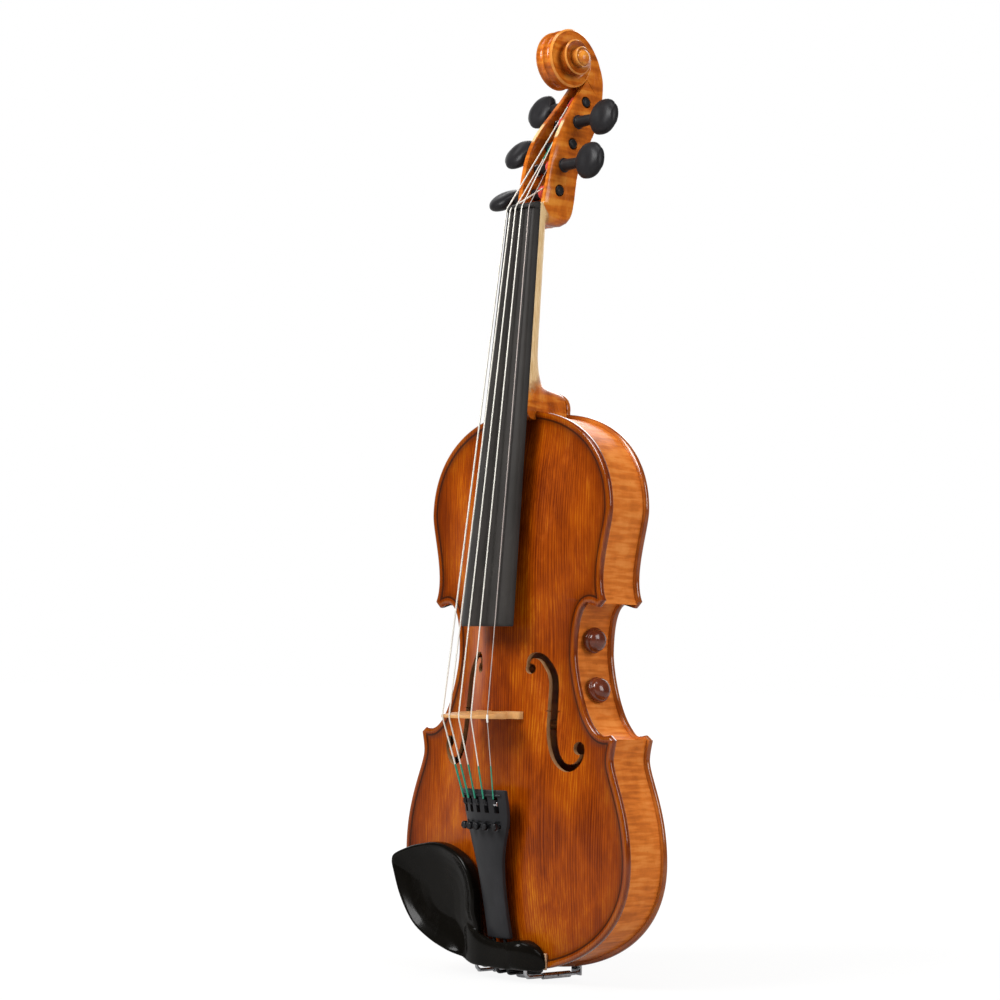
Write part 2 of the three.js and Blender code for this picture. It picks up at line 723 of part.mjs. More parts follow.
// Corner block: between the inner faces of two ribs and a straight inner side
function cornerBlock(side, upper) {
  const bout = upper ? halfOutline(UPPER_FIRST, UPPER_FIRST) : halfOutline(1, LOWER_LAST);
  const curl = upper ? halfOutline(CURL_LAST, CURL_LAST) : halfOutline(CURL_FIRST, CURL_FIRST);
  const boutFace = offsetPoints(bout, BLOCK_FACE);
  const curlFace = offsetPoints(curl, BLOCK_FACE + GLUE_GAP);
  const points = upper
    ? [...curlFace.slice(-4, -1), ...boutFace.slice(1, 4)]
    : [...boutFace.slice(-4, -2), ...curlFace.slice(1, 4)];
  const placed = points.map((point) => new THREE.Vector2(side * point.x, point.y));
  return cutBy(slab(placed, RIB_TOP_Y, RIB_BACK_Y), curlZone(side));
}

// Top and back
function topPlate() {
  const plate = plateGeometry(TOP_ARCH, TOP_THICKNESS, 0, -1);
  const saddleHalf = SADDLE_WIDTH / 2 + GLUE_GAP;
  const saddleSeat = slab(rectangle(-saddleHalf, -OVERRUN, saddleHalf, SADDLE_LENGTH + GLUE_GAP),
    -SADDLE_HEIGHT, PLATE_EDGE + OVERRUN);
  return cutBy(plate, soundHole(1), soundHole(-1), neckRoot(GLUE_GAP), saddleSeat);
}

function backPlate() {
  const plate = plateGeometry(BACK_ARCH, BACK_THICKNESS, BACK_Y, 1);
  const round = new THREE.EllipseCurve(0, BUTTON_CENTRE_Z, BUTTON_RADIUS, BUTTON_RADIUS, 0, Math.PI);
  const footZ = BODY_LENGTH - CHANNEL_INSET;
  const corners = [-BUTTON_RADIUS, BUTTON_RADIUS].map((x) => new THREE.Vector2(x, footZ));
  const button = [...round.getPoints(14), ...corners];
  return joined(plate, slab(button, RIB_BACK_Y, BACK_Y));
}

function rectangle(lowX, lowZ, highX, highZ) {
  const corners = [[lowX, lowZ], [highX, lowZ], [highX, highZ], [lowX, highZ]];
  return corners.map(([x, z]) => new THREE.Vector2(x, z));
}

// Inside the box: sound post, bass bar and pickup, each fitted to the plates' inner faces
function shifted(geometry, distance) {
  return geometry.clone().translate(0, distance, 0);
}

const topInnerY = (x, z) => CHANNEL_DEPTH + TOP_THICKNESS - archHeight(x, z, TOP_ARCH);
const backInnerY = (x, z) => BACK_Y - CHANNEL_DEPTH - BACK_THICKNESS + archHeight(x, z, BACK_ARCH);

function soundPost() {
  const z = BRIDGE_Z - POST_SETBACK;
  const ring = (face, sink) => circlePoints(POST_X, z, POST_RADIUS, 12).map((point) =>
    new THREE.Vector3(point.x, face(point.x, point.y) + sink, point.y));
  const post = loft([ring(topInnerY, -TOP_THICKNESS / 2), ring(backInnerY, BACK_THICKNESS / 2)]);
  return cutBy(post, shifted(plateBlanks.top, GLUE_GAP), shifted(plateBlanks.back, -GLUE_GAP));
}

function bassBar() {
  const rings = [];
  const count = 12;
  for (let i = 0; i <= count; i += 1) {
    const t = i / count;
    const z = lerp(BAR_LOWER_GAP, BODY_LENGTH - BAR_UPPER_GAP, t);
    const depth = lerp(BAR_WIDTH / 2, BAR_DEPTH, Math.sin(Math.PI * t) ** 2);
    const corners = [[-1, 0], [1, 0], [1, 1], [-1, 1]];
    rings.push(corners.map(([side, deep]) => {
      const x = BAR_X + side * BAR_WIDTH / 2;
      return new THREE.Vector3(x, topInnerY(BAR_X, z) + (deep ? depth : -TOP_THICKNESS / 2), z);
    }));
  }
  return cutBy(loft(rings), shifted(plateBlanks.top, GLUE_GAP));
}

function pickup() {
  const z = BRIDGE_Z - POST_SETBACK;
  const x = POST_X - POST_RADIUS - PICKUP_RADIUS - POST_RADIUS;
  const disc = rod(PICKUP_RADIUS, PICKUP_THICKNESS + TOP_THICKNESS, 18, 'y');
  disc.translate(x, topInnerY(x, z) - TOP_THICKNESS / 4, z);
  return cutBy(disc, shifted(plateBlanks.top, GLUE_GAP));
}

// Fingerboard line, width and underside along the neck
const boardShare = (z) => (NUT_Z - z) / BOARD_LENGTH;
const boardCrownY = (z) => lerp(BOARD_NUT_Y, BOARD_END_Y, boardShare(z));
const boardHalf = (z) => lerp(BOARD_NUT_WIDTH, BOARD_END_WIDTH, boardShare(z)) / 2;
const sagitta = (half, radius) => radius - Math.sqrt(radius ** 2 - half ** 2);
const boardUnderNut = BOARD_NUT_Y + sagitta(BOARD_NUT_WIDTH / 2, BOARD_RADIUS) + BOARD_EDGE;
const boardUnderEnd = BOARD_END_Y + sagitta(BOARD_END_WIDTH / 2, BOARD_RADIUS) + BOARD_EDGE;
const boardUnderY = (z) => lerp(boardUnderNut, boardUnderEnd, boardShare(z));

function fingerboard() {
  const arcSteps = 10;
  const freeZ = BODY_LENGTH - MORTISE_DEPTH - BLOCK_DEPTH;
  const stations = [[NUT_Z, 0], [BODY_LENGTH - MORTISE_DEPTH, 0], [freeZ, 1], [BOARD_END_Z, 1]];
  const rings = stations.map(([z, hollow]) => {
    const half = boardHalf(z);
    const crown = boardCrownY(z);
    const under = boardUnderY(z);
    const points = [];
    for (let i = 0; i <= arcSteps; i += 1) {
      const x = lerp(-half, half, i / arcSteps);
      points.push(new THREE.Vector3(x, crown + sagitta(Math.abs(x), BOARD_RADIUS), z));
    }
    const inner = half - BOARD_EDGE;
    for (const share of [1, 0.95, 0, -0.95, -1]) {
      const x = Math.abs(share) === 1 ? share * half : share * inner;
      const lift = hollow * (Math.abs(share) === 1 ? 0 : BOARD_HOLLOW * (1 - share ** 2));
      points.push(new THREE.Vector3(x, under - lift, z));
    }
    return points;
  });
  return loft(rings);
}

const NUT_BACK_SHARE = 0.72;
const nutStringY = (x) => STRING_NUT_Y + sagitta(Math.abs(x), STRING_NUT_RADIUS);

function nut() {
  const arcSteps = 8;
  const half = BOARD_NUT_WIDTH / 2;
  const topAt = (x) => nutStringY(x) + NUT_RISE;
  const ring = (z, lowering) => {
    const points = [];
    for (let i = 0; i <= arcSteps; i += 1) {
      const x = lerp(-half, half, i / arcSteps);
      points.push(new THREE.Vector3(x, lerp(topAt(x), boardUnderNut, lowering), z));
    }
    const footY = boardUnderNut - GLUE_GAP;
    points.push(new THREE.Vector3(half, footY, z), new THREE.Vector3(-half, footY, z));
    return points;
  };
  return loft([
    ring(NUT_Z, 0), ring(NUT_Z + NUT_LENGTH / 3, 0), ring(NUT_Z + NUT_LENGTH, NUT_BACK_SHARE),
  ]);
}

// Neck shaft: half-round sections behind the fingerboard, from the pegbox down into the block
const neckSectionShares = [[1, 0], [1, 0.14], [0.93, 0.45], [0.74, 0.76], [0.42, 0.95], [0, 1]];

function neckShaft(topZ, bottomZ, growth) {
  const stations = [topZ, HEEL_COVE_Z, BODY_LENGTH, bottomZ];
  const rings = stations.map((z) => {
    const half = boardHalf(z) + growth;
    const front = boardUnderY(z) + GLUE_GAP / 2 - growth * 4;
    const share = (NUT_Z - z) / (NUT_Z - HEEL_COVE_Z);
    const depth = lerp(NECK_NUT_DEPTH, NECK_HEEL_DEPTH, Math.min(share, 1)) + growth;
    const right = neckSectionShares.map(([across, deep]) =>
      new THREE.Vector3(across * half, front + deep * depth, z));
    const left = right.slice(0, -1).map((point) => new THREE.Vector3(-point.x, point.y, z));
    return [...right, ...left.reverse()];
  });
  return loft(rings);
}

// Heel: round-backed sections that narrow from the neck to the back plate's button
const heelShares = [
  { depth: 0, rise: 1.3 }, { depth: 0.2, rise: 1 }, { depth: 0.32, rise: 0.76 },
  { depth: 0.5, rise: 0.66 }, { depth: 0.8, rise: 0.6 }, { depth: 1, rise: 0.54 },
];

function heel(growth) {
  const rings = heelShares.map(({ depth, rise }) => {
    const half = lerp(HEEL_TOP_HALF, HEEL_BUTTON_HALF, depth) + growth;
    const y = lerp(0, RIB_BACK_Y, depth) + (depth === 1 ? growth : 0);
    const foot = BODY_LENGTH - MORTISE_DEPTH - growth;
    const shoulder = BODY_LENGTH + OVERRUN;
    const tall = rise * HEEL_RISE + growth;
    const points = [[half, foot], [half, shoulder]];
    for (let i = 1; i < 8; i += 1) {
      const angle = Math.PI * i / 8;
      points.push([half * Math.cos(angle), shoulder + (tall - OVERRUN) * Math.sin(angle) ** 0.8]);
    }
    points.push([-half, shoulder], [-half, foot]);
    return points.map(([x, z]) => new THREE.Vector3(x, y, z));
  });
  return loft(rings);
}

function neckRoot(growth) {
  const foot = BODY_LENGTH - MORTISE_DEPTH - growth;
  return joined(heel(growth), neckShaft(HEEL_COVE_Z + BLOCK_DEPTH, foot, growth));
}

// Pegbox side view: front rim and back as curves, in shares of its depth and of its way to the throat
const rimShares = [
  [0, 0], [0.07, 0.16], [0.15, 0.385], [0.24, 0.5], [0.39, 0.61], [0.63, 0.765], [1, 1],
];
const backShares = [
  [0.1, -0.095], [0.3, -0.125], [0.5, -0.12], [0.62, -0.06], [0.66, 0.05], [0.7, 0.24], [0.8, 0.4],
  [1.05, 0.63], [1.32, 0.885], [1.39, 1.01],
];
const pegboxPoint = ([across, along]) => new THREE.Vector2(
  lerp(PEGBOX_FRONT_Y, THROAT_Y, across), lerp(PEGBOX_FRONT_Z, THROAT_Z, along));

const pegboxHalf = (z) => (
  lerp(PEGBOX_WIDTH, THROAT_WIDTH, smooth(PEGBOX_FRONT_Z, THROAT_Z, z)) / 2);

// A side view as thick as the pegbox is wide, narrowed to the half width that each height asks for
function narrowedPrism(points, halfAt) {
  const builtHalf = PEGBOX_WIDTH / 2;
  const geometry = sidePrism(points, -builtHalf, builtHalf);
  const position = geometry.attributes.position;
  for (let i = 0; i < position.count; i += 1) {
    position.setX(i, position.getX(i) * halfAt(position.getZ(i)) / builtHalf);
  }
  return geometry;
}

function pegboxWalls() {
  const rim = new THREE.SplineCurve(rimShares.map(pegboxPoint)).getPoints(16);
  const back = new THREE.SplineCurve(backShares.map(pegboxPoint)).getPoints(22);
  const root = new THREE.Vector2(boardUnderNut + GLUE_GAP, NUT_Z);
  const inHead = new THREE.Vector2(VOLUTE_Y + VOLUTE_RADIUS / 2, VOLUTE_Z);
  return narrowedPrism([root, ...rim, inHead, ...back.reverse()], pegboxHalf);
}

function pegboxCavity() {
  const rim = new THREE.SplineCurve(rimShares.map(pegboxPoint)).getPoints(14);
  const back = new THREE.SplineCurve(backShares.slice(3).map(pegboxPoint)).getPoints(12);
  const floor = offsetPoints(back, PEGBOX_FLOOR).filter((point) => point.y < THROAT_Z - PEGBOX_FLOOR);
  const mouth = offsetPoints(rim, PEGBOX_DEPTH).reverse();
  const startZ = NUT_Z + NUT_LENGTH + OVERRUN;
  const inner = floor.filter((point) => point.y > startZ);
  const cavity = [...inner, ...mouth.filter((point) => point.y > startZ)];
  return narrowedPrism(cavity, (z) => pegboxHalf(z) - CHEEK);
}

// Section across the scroll: bevelled edges and two flutes, whose depth shrinks towards the eye
function flutedSection(angle, radius, inner, half, flute) {
  const edge = half - FLUTE_DEPTH / 2;
  const bevel = radius - FLUTE_DEPTH;
  const outline = [
    [radius, edge], [radius - flute, half / 2], [radius, 0], [radius - flute, -half / 2], [radius, -edge],
    [bevel, -half], [inner, -half], [inner, half], [bevel, half],
  ];
  return outline.map(([reach, x]) => new THREE.Vector3(
    x, VOLUTE_Y + reach * Math.cos(angle), VOLUTE_Z + reach * Math.sin(angle)));
}

// Scroll: a spiral that grows wider as it winds in to the eye
function voluteSection(share, angle) {
  const radius = lerp(VOLUTE_RADIUS, VOLUTE_EYE_RADIUS, share);
  const inner = Math.max(radius - VOLUTE_RADIUS / 2, 0.2 * VOLUTE_EYE_RADIUS);
  const half = lerp(VOLUTE_WIDTH, EYE_WIDTH, share ** 1.25) / 2;
  return flutedSection(angle, radius, inner, half, FLUTE_DEPTH * (1 - share));
}

function volute() {
  const stepsPerTurn = 16;
  const total = Math.round(VOLUTE_TURNS * stepsPerTurn);
  const half = stepsPerTurn / 2;
  const pieces = [];
  for (let start = 0; start < total; start += half) {
    const rings = [];
    for (let i = start; i <= Math.min(start + half, total); i += 1) {
      rings.push(voluteSection(i / total, Math.PI / 2 + 2 * Math.PI * i / stepsPerTurn));
    }
    pieces.push(loft(rings));
  }
  const eye = rod(VOLUTE_EYE_RADIUS, EYE_WIDTH, 18, 'x');
  eye.translate(-EYE_WIDTH / 2, VOLUTE_Y, VOLUTE_Z);
  return [...pieces, eye];
}

// The neck's back runs on from the pegbox over the top into the volute
const headBackShares = [
  { angle: -0.42, reach: 1.48 }, { angle: -0.25, reach: 1.38 }, { angle: 0, reach: 1.27 },
  { angle: 0.35, reach: 1.13 }, { angle: 0.8, reach: 1.03 }, { angle: 1.2, reach: 1 },
  { angle: Math.PI / 2, reach: 1 },
];

function headBack() {
  return loft(headBackShares.map(({ angle, reach }) =>
    flutedSection(angle, reach * VOLUTE_RADIUS, VOLUTE_RADIUS / 2, THROAT_WIDTH / 2, FLUTE_DEPTH)));
}

function neckAndScroll() {
  const shaft = neckShaft(NUT_Z + NUT_LENGTH, BODY_LENGTH - MORTISE_DEPTH, 0);
  const block = joined(shaft, heel(0), pegboxWalls(), headBack(), ...volute());
  const bores = pegPlaces.map((peg) => {
    const bore = rod(PEG_HEAD_END_RADIUS + RUNNING_GAP, 2 * PEGBOX_WIDTH, 12, 'x');
    bore.translate(-PEGBOX_WIDTH, peg.at.x, peg.at.y);
    return bore;
  });
  return cutBy(block, pegboxCavity(), ...bores);
}

// Pegs, from the top down: the side of the head, the place along the pegbox and the head's turn
const pegPlaces = [
  { string: 'c', side: -1, shares: [0.967, 0.833], turn: 0.6 },
  { string: 'a', side: 1, shares: [0.737, 0.663], turn: -0.25 },
  { string: 'd', side: -1, shares: [0.6, 0.49], turn: 1.05 },
  { string: 'e', side: 1, shares: [0.388, 0.314], turn: -0.2 },
  { string: 'g', side: -1, shares: [0.323, 0.126], turn: 1.45 },
].map((peg) => ({ ...peg, at: pegboxPoint(peg.shares) }));

const pegHeadShares = [
  { along: 0, wide: 0.34, thick: 1 }, { along: 0.16, wide: 0.5, thick: 0.9 },
  { along: 0.34, wide: 0.86, thick: 0.72 }, { along: 0.56, wide: 1, thick: 0.66 },
  { along: 0.78, wide: 0.9, thick: 0.62 }, { along: 0.93, wide: 0.58, thick: 0.5 },
  { along: 1, wide: 0.2, thick: 0.24 },
];

function pegGeometry(peg) {
  const cheekX = pegboxHalf(peg.at.y);
  const tipX = -cheekX - PEG_PROUD;
  const collarX = cheekX + PEG_REACH / 2;
  const headX = cheekX + PEG_REACH;
  const shaft = turned([
    [0, tipX], [PEG_TIP_RADIUS * 0.7, tipX], [PEG_TIP_RADIUS, tipX + PEG_PROUD],
    [PEG_HEAD_END_RADIUS, cheekX], [PEG_HEAD_END_RADIUS, collarX],
    [PEG_COLLAR_RADIUS, collarX + PEG_PROUD / 2], [PEG_COLLAR_RADIUS, collarX + PEG_PROUD],
    [PEG_TIP_RADIUS, collarX + 2 * PEG_PROUD], [PEG_TIP_RADIUS, headX + PEG_PROUD],
    [0, headX + PEG_PROUD],
  ], 12, 'x');
  const sides = 12;
  const rings = pegHeadShares.map(({ along, wide, thick }) => {
    const x = headX + along * PEG_HEAD_LENGTH;
    const halfWide = wide * PEG_HEAD_WIDTH / 2;
    const ring = new THREE.EllipseCurve(0, 0, halfWide, thick * PEG_HEAD_THICKNESS / 2).getPoints(sides);
    return ring.slice(0, sides).map((point) => new THREE.Vector3(x, point.y, point.x));
  });
  const geometry = joined(shaft, loft(rings));
  geometry.rotateX(peg.turn);
  if (peg.side < 0) {
    geometry.rotateZ(Math.PI);
  }
  geometry.translate(0, peg.at.x, peg.at.y);
  return geometry;
}

// Bridge: outline with feet, waist cuts and heart, thinner towards the top
const bridgeTopY = (x) => (
  BRIDGE_TOP_Y + sagitta(Math.abs(x - BRIDGE_CROWN_X), BRIDGE_TOP_RADIUS));
const bridgeSideShares = [
  [1, 0], [0.98, 0.1], [0.78, 0.15], [0.72, 0.25], [0.86, 0.33], [1.02, 0.41], [1.03, 0.5],
];
const bridgeFootShares = [0.36, 0.55, 0.8, 1];
const bridgeArchShares = [[0.36, 0], [0.3, 0.12], [0.12, 0.2]];
const heartShares = [
  [0, 0.47], [0.14, 0.56], [0.22, 0.68], [0.12, 0.74], [0, 0.69], [-0.12, 0.74], [-0.22, 0.68],
  [-0.14, 0.56],
];
const kidneyShares = [[0.54, 0.3], [0.78, 0.4], [0.84, 0.52], [0.66, 0.56], [0.5, 0.44]];

function bridge() {
  const half = BRIDGE_FOOT_SPAN / 2;
  const footY = topFaceY(half, BRIDGE_Z) - GLUE_GAP;
  const tall = footY - BRIDGE_TOP_Y;
  const place = ([across, up]) => new THREE.Vector2(across * half, footY - up * tall);
  const mirror = (point) => new THREE.Vector2(-point.x, point.y);
  const side = bridgeSideShares.map(place);
  const arch = bridgeArchShares.map(place);
  const footFace = bridgeFootShares.map((share) =>
    new THREE.Vector2(share * half, topFaceY(share * half, BRIDGE_Z) - 2 * GLUE_GAP));
  const crown = [];
  const crownSteps = 10;
  for (let i = 0; i <= crownSteps; i += 1) {
    const x = lerp(BRIDGE_TOP_SPAN / 2, -BRIDGE_TOP_SPAN / 2, i / crownSteps);
    crown.push(new THREE.Vector2(x, bridgeTopY(x) + NUT_RISE));
  }
  const right = [...arch.slice(1).reverse(), ...footFace, ...side.slice(1)];
  const outline = [...right, ...crown, ...right.map(mirror).reverse()];
  const bulk = BRIDGE_FOOT_THICKNESS;
  const blank = plan(outline, BRIDGE_Z - bulk / 2, BRIDGE_Z + bulk / 2);
  const heart = heartShares.map(place);
  const kidney = kidneyShares.map(place);
  const holes = [heart, kidney, kidney.map(mirror)].map((points) =>
    plan(points, BRIDGE_Z - bulk, BRIDGE_Z + bulk));
  const cut = cutBy(blank, ...holes);
  const position = cut.attributes.position;
  for (let i = 0; i < position.count; i += 1) {
    const up = THREE.MathUtils.clamp((footY - position.getY(i)) / tall, 0, 1);
    if (position.getZ(i) > BRIDGE_Z) {
      position.setZ(i, BRIDGE_Z - bulk / 2 + lerp(bulk, BRIDGE_TOP_THICKNESS, up ** 1.4));
    }
  }
  return cut;
}

// Strings, bass to treble, and their radii
const strings = [
  { name: 'c', radius: 0.55 }, { name: 'g', radius: 0.5 }, { name: 'd', radius: 0.45 },
  { name: 'a', radius: 0.4 }, { name: 'e', radius: 0.3 },
].map((string, order) => ({ ...string, order: order - 2 }));

const BRIDGE_TAIL_Z = BRIDGE_Z - BRIDGE_FOOT_THICKNESS / 2 + BRIDGE_TOP_THICKNESS / 2;
const windingShares = { c: -0.15, a: 0.3, d: -0.2, e: 0.5, g: 0.35 };

function stringGeometry(string) {
  const peg = pegPlaces.find((place) => place.string === string.name);
  const clearRadius = PEG_HEAD_END_RADIUS + RUNNING_GAP + WINDING_THICKNESS / 2;
  const innerHalf = pegboxHalf(peg.at.y) - CHEEK;
  const pegX = windingShares[string.name] * innerHalf;
  const nutX = string.order * STRING_NUT_SPACING;
  const nutPoint = new THREE.Vector3(nutX, nutStringY(nutX) - string.radius, NUT_Z + NUT_LENGTH / 4);
  const toPeg = new THREE.Vector2(peg.at.x - nutPoint.y, peg.at.y - nutPoint.z);
  const lean = Math.atan2(toPeg.y, toPeg.x) + Math.asin(clearRadius / toPeg.length());
  const run = Math.sqrt(toPeg.lengthSq() - clearRadius ** 2);
  const pegPoint = new THREE.Vector3(
    pegX, nutPoint.y + run * Math.cos(lean), nutPoint.z + run * Math.sin(lean));
  const bridgeX = string.order * STRING_BRIDGE_SPACING;
  const bridgePoint = new THREE.Vector3(bridgeX, bridgeTopY(bridgeX) - string.radius, BRIDGE_TAIL_Z);
  const tailEndZ = LEVER_Z + LEVER_WIDTH / 2 + 2 * RUNNING_GAP;
  const tailPoint = new THREE.Vector3(tailX(string.order), leverTopY(string.order), tailEndZ);
  const route = softened([tailPoint, bridgePoint, nutPoint, pegPoint]);
  const wire = wireThrough(route, string.radius);
  const ring = WINDING_THICKNESS / 2;
  const winding = turned([
    [clearRadius - ring, -WINDING_LENGTH / 2], [clearRadius + ring, -WINDING_LENGTH / 2],
    [clearRadius + ring, WINDING_LENGTH / 2], [clearRadius - ring, WINDING_LENGTH / 2],
    [clearRadius - ring, -WINDING_LENGTH / 2],
  ], 14, 'x');
  winding.translate(pegX, peg.at.x, peg.at.y);
  return joined(wire, winding);
}

// A taut wire: an eight-sided section set square to the way at each point of its route
function wireThrough(points, radius) {
  const sides = 8;
  const across = new THREE.Vector3(1, 0, 0);
  const rings = points.map((point, i) => {
    const before = points[Math.max(i - 1, 0)];
    const after = points[Math.min(i + 1, points.length - 1)];
    const along = new THREE.Vector3().subVectors(after, before).normalize();
    const up = new THREE.Vector3().crossVectors(along, across).normalize();
    const out = new THREE.Vector3().crossVectors(up, along);
    const ring = [];
    for (let side = 0; side < sides; side += 1) {
      const angle = 2 * Math.PI * side / sides;
      const offset = up.clone().multiplyScalar(Math.cos(angle)).addScaledVector(out, Math.sin(angle));
      ring.push(point.clone().addScaledVector(offset, radius));
    }
    return ring;
  });
  return loft(rings);
}

// Straight spans that turn over short bends
function softened(corners) {
  const points = [corners[0]];
  for (let i = 1; i < corners.length - 1; i += 1) {
    const before = corners[i - 1].clone().sub(corners[i]).setLength(STRING_BEND).add(corners[i]);
    const after = corners[i + 1].clone().sub(corners[i]).setLength(STRING_BEND).add(corners[i]);
    points.push(before, corners[i], after);
  }
  points.push(corners[corners.length - 1]);
  return points;
}

// Tailpiece: crowned plate that narrows downwards, with a slot for each tuning lever
const tailShares = [
  [0, 1], [0.08, 1.04], [0.22, 0.98], [0.45, 0.72], [0.6, 0.62], [0.8, 0.58], [1, 0.55],
];
const tailShareAt = (z) => (TAIL_TOP_Z - z) / (TAIL_TOP_Z - TAIL_BOTTOM_Z);
const tailCrownY = (z) => lerp(TAIL_TOP_Y, TAIL_BOTTOM_Y, tailShareAt(z));

function tailHalf(share) {
  const after = tailShares.findIndex(([along]) => along >= share);
  const [highAlong, highWide] = tailShares[Math.max(after, 1)];
  const [lowAlong, lowWide] = tailShares[Math.max(after, 1) - 1];
  const wide = lerp(lowWide, highWide, (share - lowAlong) / (highAlong - lowAlong));
  const end = tailShares[tailShares.length - 1][1];
  const blend = (wide - end) / (1 - end);
  return lerp(TAIL_BOTTOM_WIDTH, TAIL_TOP_WIDTH, blend) / 2;
}

const tailFaceY = (x, z) => {
  const half = tailHalf(tailShareAt(z));
  return tailCrownY(z) + TAIL_CROWN * (half / (TAIL_TOP_WIDTH / 2)) ** 2 * (x / half) ** 2;
};

function tailpiece() {
  const steps = 8;
  const rings = tailShares.map(([along]) => {
    const z = lerp(TAIL_TOP_Z, TAIL_BOTTOM_Z, along);
    const half = tailHalf(along);
    const front = [];
    const back = [];
    for (let i = 0; i <= steps; i += 1) {
      const x = lerp(-half, half, i / steps);
      const y = tailFaceY(x, z);
      front.push(new THREE.Vector3(x, y, z));
      back.push(new THREE.Vector3(x * (1 - TAIL_WALL / LOWER_BOUT), y + TAIL_WALL, z));
    }
    return [...front, ...back.reverse()];
  });
  const slots = strings.map((string) => {
    const x = tailX(string.order);
    const [low, high] = [TAIL_TOP_Z - SLOT_LENGTH, TAIL_TOP_Z - TAIL_WALL];
    const slot = rectangle(x - SLOT_WIDTH / 2, low, x + SLOT_WIDTH / 2, high);
    return slab(slot, TAIL_TOP_Y - OVERRUN, TAIL_TOP_Y + TAIL_CROWN * 4);
  });
  const screwHoles = strings.map((string) => {
    const hole = rod(TUNER_SCREW_RADIUS + RUNNING_GAP, TAIL_WALL * 4, 8, 'y');
    hole.translate(tailX(string.order), TAIL_TOP_Y - OVERRUN, TUNER_Z);
    return hole;
  });
  const gutHoles = [-1, 1].map((side) => {
    const hole = rod(TAILGUT_RADIUS + GLUE_GAP, TAIL_WALL * 3, 8, 'z');
    hole.translate(side * TAILGUT_X, gutTailY, TAIL_BOTTOM_Z - OVERRUN);
    return hole;
  });
  return cutBy(crescentLoft(rings), ...slots, ...screwHoles, ...gutHoles);
}

// Fine tuners: knurled knob on a screw that presses an angled lever carrying the string's end
const tailX = (order) => order * STRING_TAIL_SPACING;
const leverTopY = (order) => tailFaceY(tailX(order), LEVER_Z) - TUNER_RISE * 0.8;
const screwTopY = (order) => tailFaceY(tailX(order), TUNER_Z) - TUNER_RISE;
const screwEndY = (order) => (
  tailFaceY(tailX(order), TUNER_Z) + TAIL_WALL + RUNNING_GAP + TUNER_RISE);

function tunerLever(order) {
  const x = tailX(order);
  const face = tailFaceY(x, LEVER_Z);
  const hook = face - TUNER_RISE / 2;
  const under = face + TAIL_WALL + RUNNING_GAP;
  const thick = LEVER_WIDTH / 2;
  const armY = screwEndY(order) + RUNNING_GAP;
  const side = [
    [hook, LEVER_Z - thick], [hook, LEVER_Z + thick], [under + thick, LEVER_Z + thick],
    [armY + thick, TUNER_Z + LEVER_WIDTH], [armY + thick, TUNER_Z - thick], [armY, TUNER_Z - thick],
    [armY, TUNER_Z + LEVER_WIDTH], [under, LEVER_Z - thick],
  ].map(([y, z]) => new THREE.Vector2(y, z));
  return sidePrism(side, x - LEVER_WIDTH / 2, x + LEVER_WIDTH / 2);
}

function tunerScrew(order) {
  const x = tailX(order);
  const start = screwTopY(order);
  const screw = rod(TUNER_SCREW_RADIUS, screwEndY(order) - start, 8, 'y');
  screw.translate(x, start, TUNER_Z);
  return screw;
}

function tunerKnob(order) {
  const x = tailX(order);
  const teeth = 12;
  const points = [];
  for (let i = 0; i < 2 * teeth; i += 1) {
    const radius = i % 2 ? TUNER_KNOB_RADIUS : TUNER_KNOB_RADIUS * 0.9;
    const angle = Math.PI * i / teeth;
    points.push(new THREE.Vector2(x + radius * Math.cos(angle), TUNER_Z + radius * Math.sin(angle)));
  }
  const base = screwTopY(order);
  return slab(points, base - TUNER_KNOB_HEIGHT, base);
}

// Saddle under the tailgut, tailgut and end pin
const gutTailY = TAIL_BOTTOM_Y + TAIL_WALL / 2 + TAIL_CROWN / 8;
const grooveZ = OVERHANG - PIN_DROP + PIN_GROOVE_LENGTH / 2;

function saddle() {
  const half = SADDLE_WIDTH / 2;
  const right = [
    [half, PLATE_EDGE], [half, 0], [half * 0.6, -SADDLE_HEIGHT * 0.8], [half * 0.4, -SADDLE_HEIGHT],
  ];
  const left = right.map(([x, y]) => [-x, y]).reverse();
  const profile = [...right, ...left].map(([x, y]) => new THREE.Vector2(x, y));
  return plan(profile, 0, SADDLE_LENGTH);
}

function tailgut() {
  const clear = TAILGUT_RADIUS + GLUE_GAP;
  const overY = -SADDLE_HEIGHT - clear;
  const loopRadius = PIN_GROOVE_RADIUS + clear;
  const rightSide = [
    [TAILGUT_X, gutTailY, TAIL_BOTTOM_Z + TAIL_WALL], [TAILGUT_X, gutTailY, TAIL_BOTTOM_Z - OVERRUN],
    [TAILGUT_X, lerp(gutTailY, overY, 0.8), SADDLE_LENGTH + clear], [TAILGUT_X, overY, SADDLE_LENGTH / 2],
    [TAILGUT_X, overY, 0], [TAILGUT_X, overY + clear, grooveZ],
    [TAILGUT_X + clear / 2, PLATE_EDGE, grooveZ], [loopRadius, PIN_Y, grooveZ],
  ].map(([x, y, z]) => new THREE.Vector3(x, y, z));
  const turns = [0.25, 0.5, 0.75].map((share) => new THREE.Vector3(
    loopRadius * Math.cos(Math.PI * share), PIN_Y + loopRadius * Math.sin(Math.PI * share), grooveZ));
  const leftSide = rightSide.map((point) => new THREE.Vector3(-point.x, point.y, point.z)).reverse();
  return cordAlong([...rightSide, ...turns, ...leftSide], TAILGUT_RADIUS, 8, 30);
}

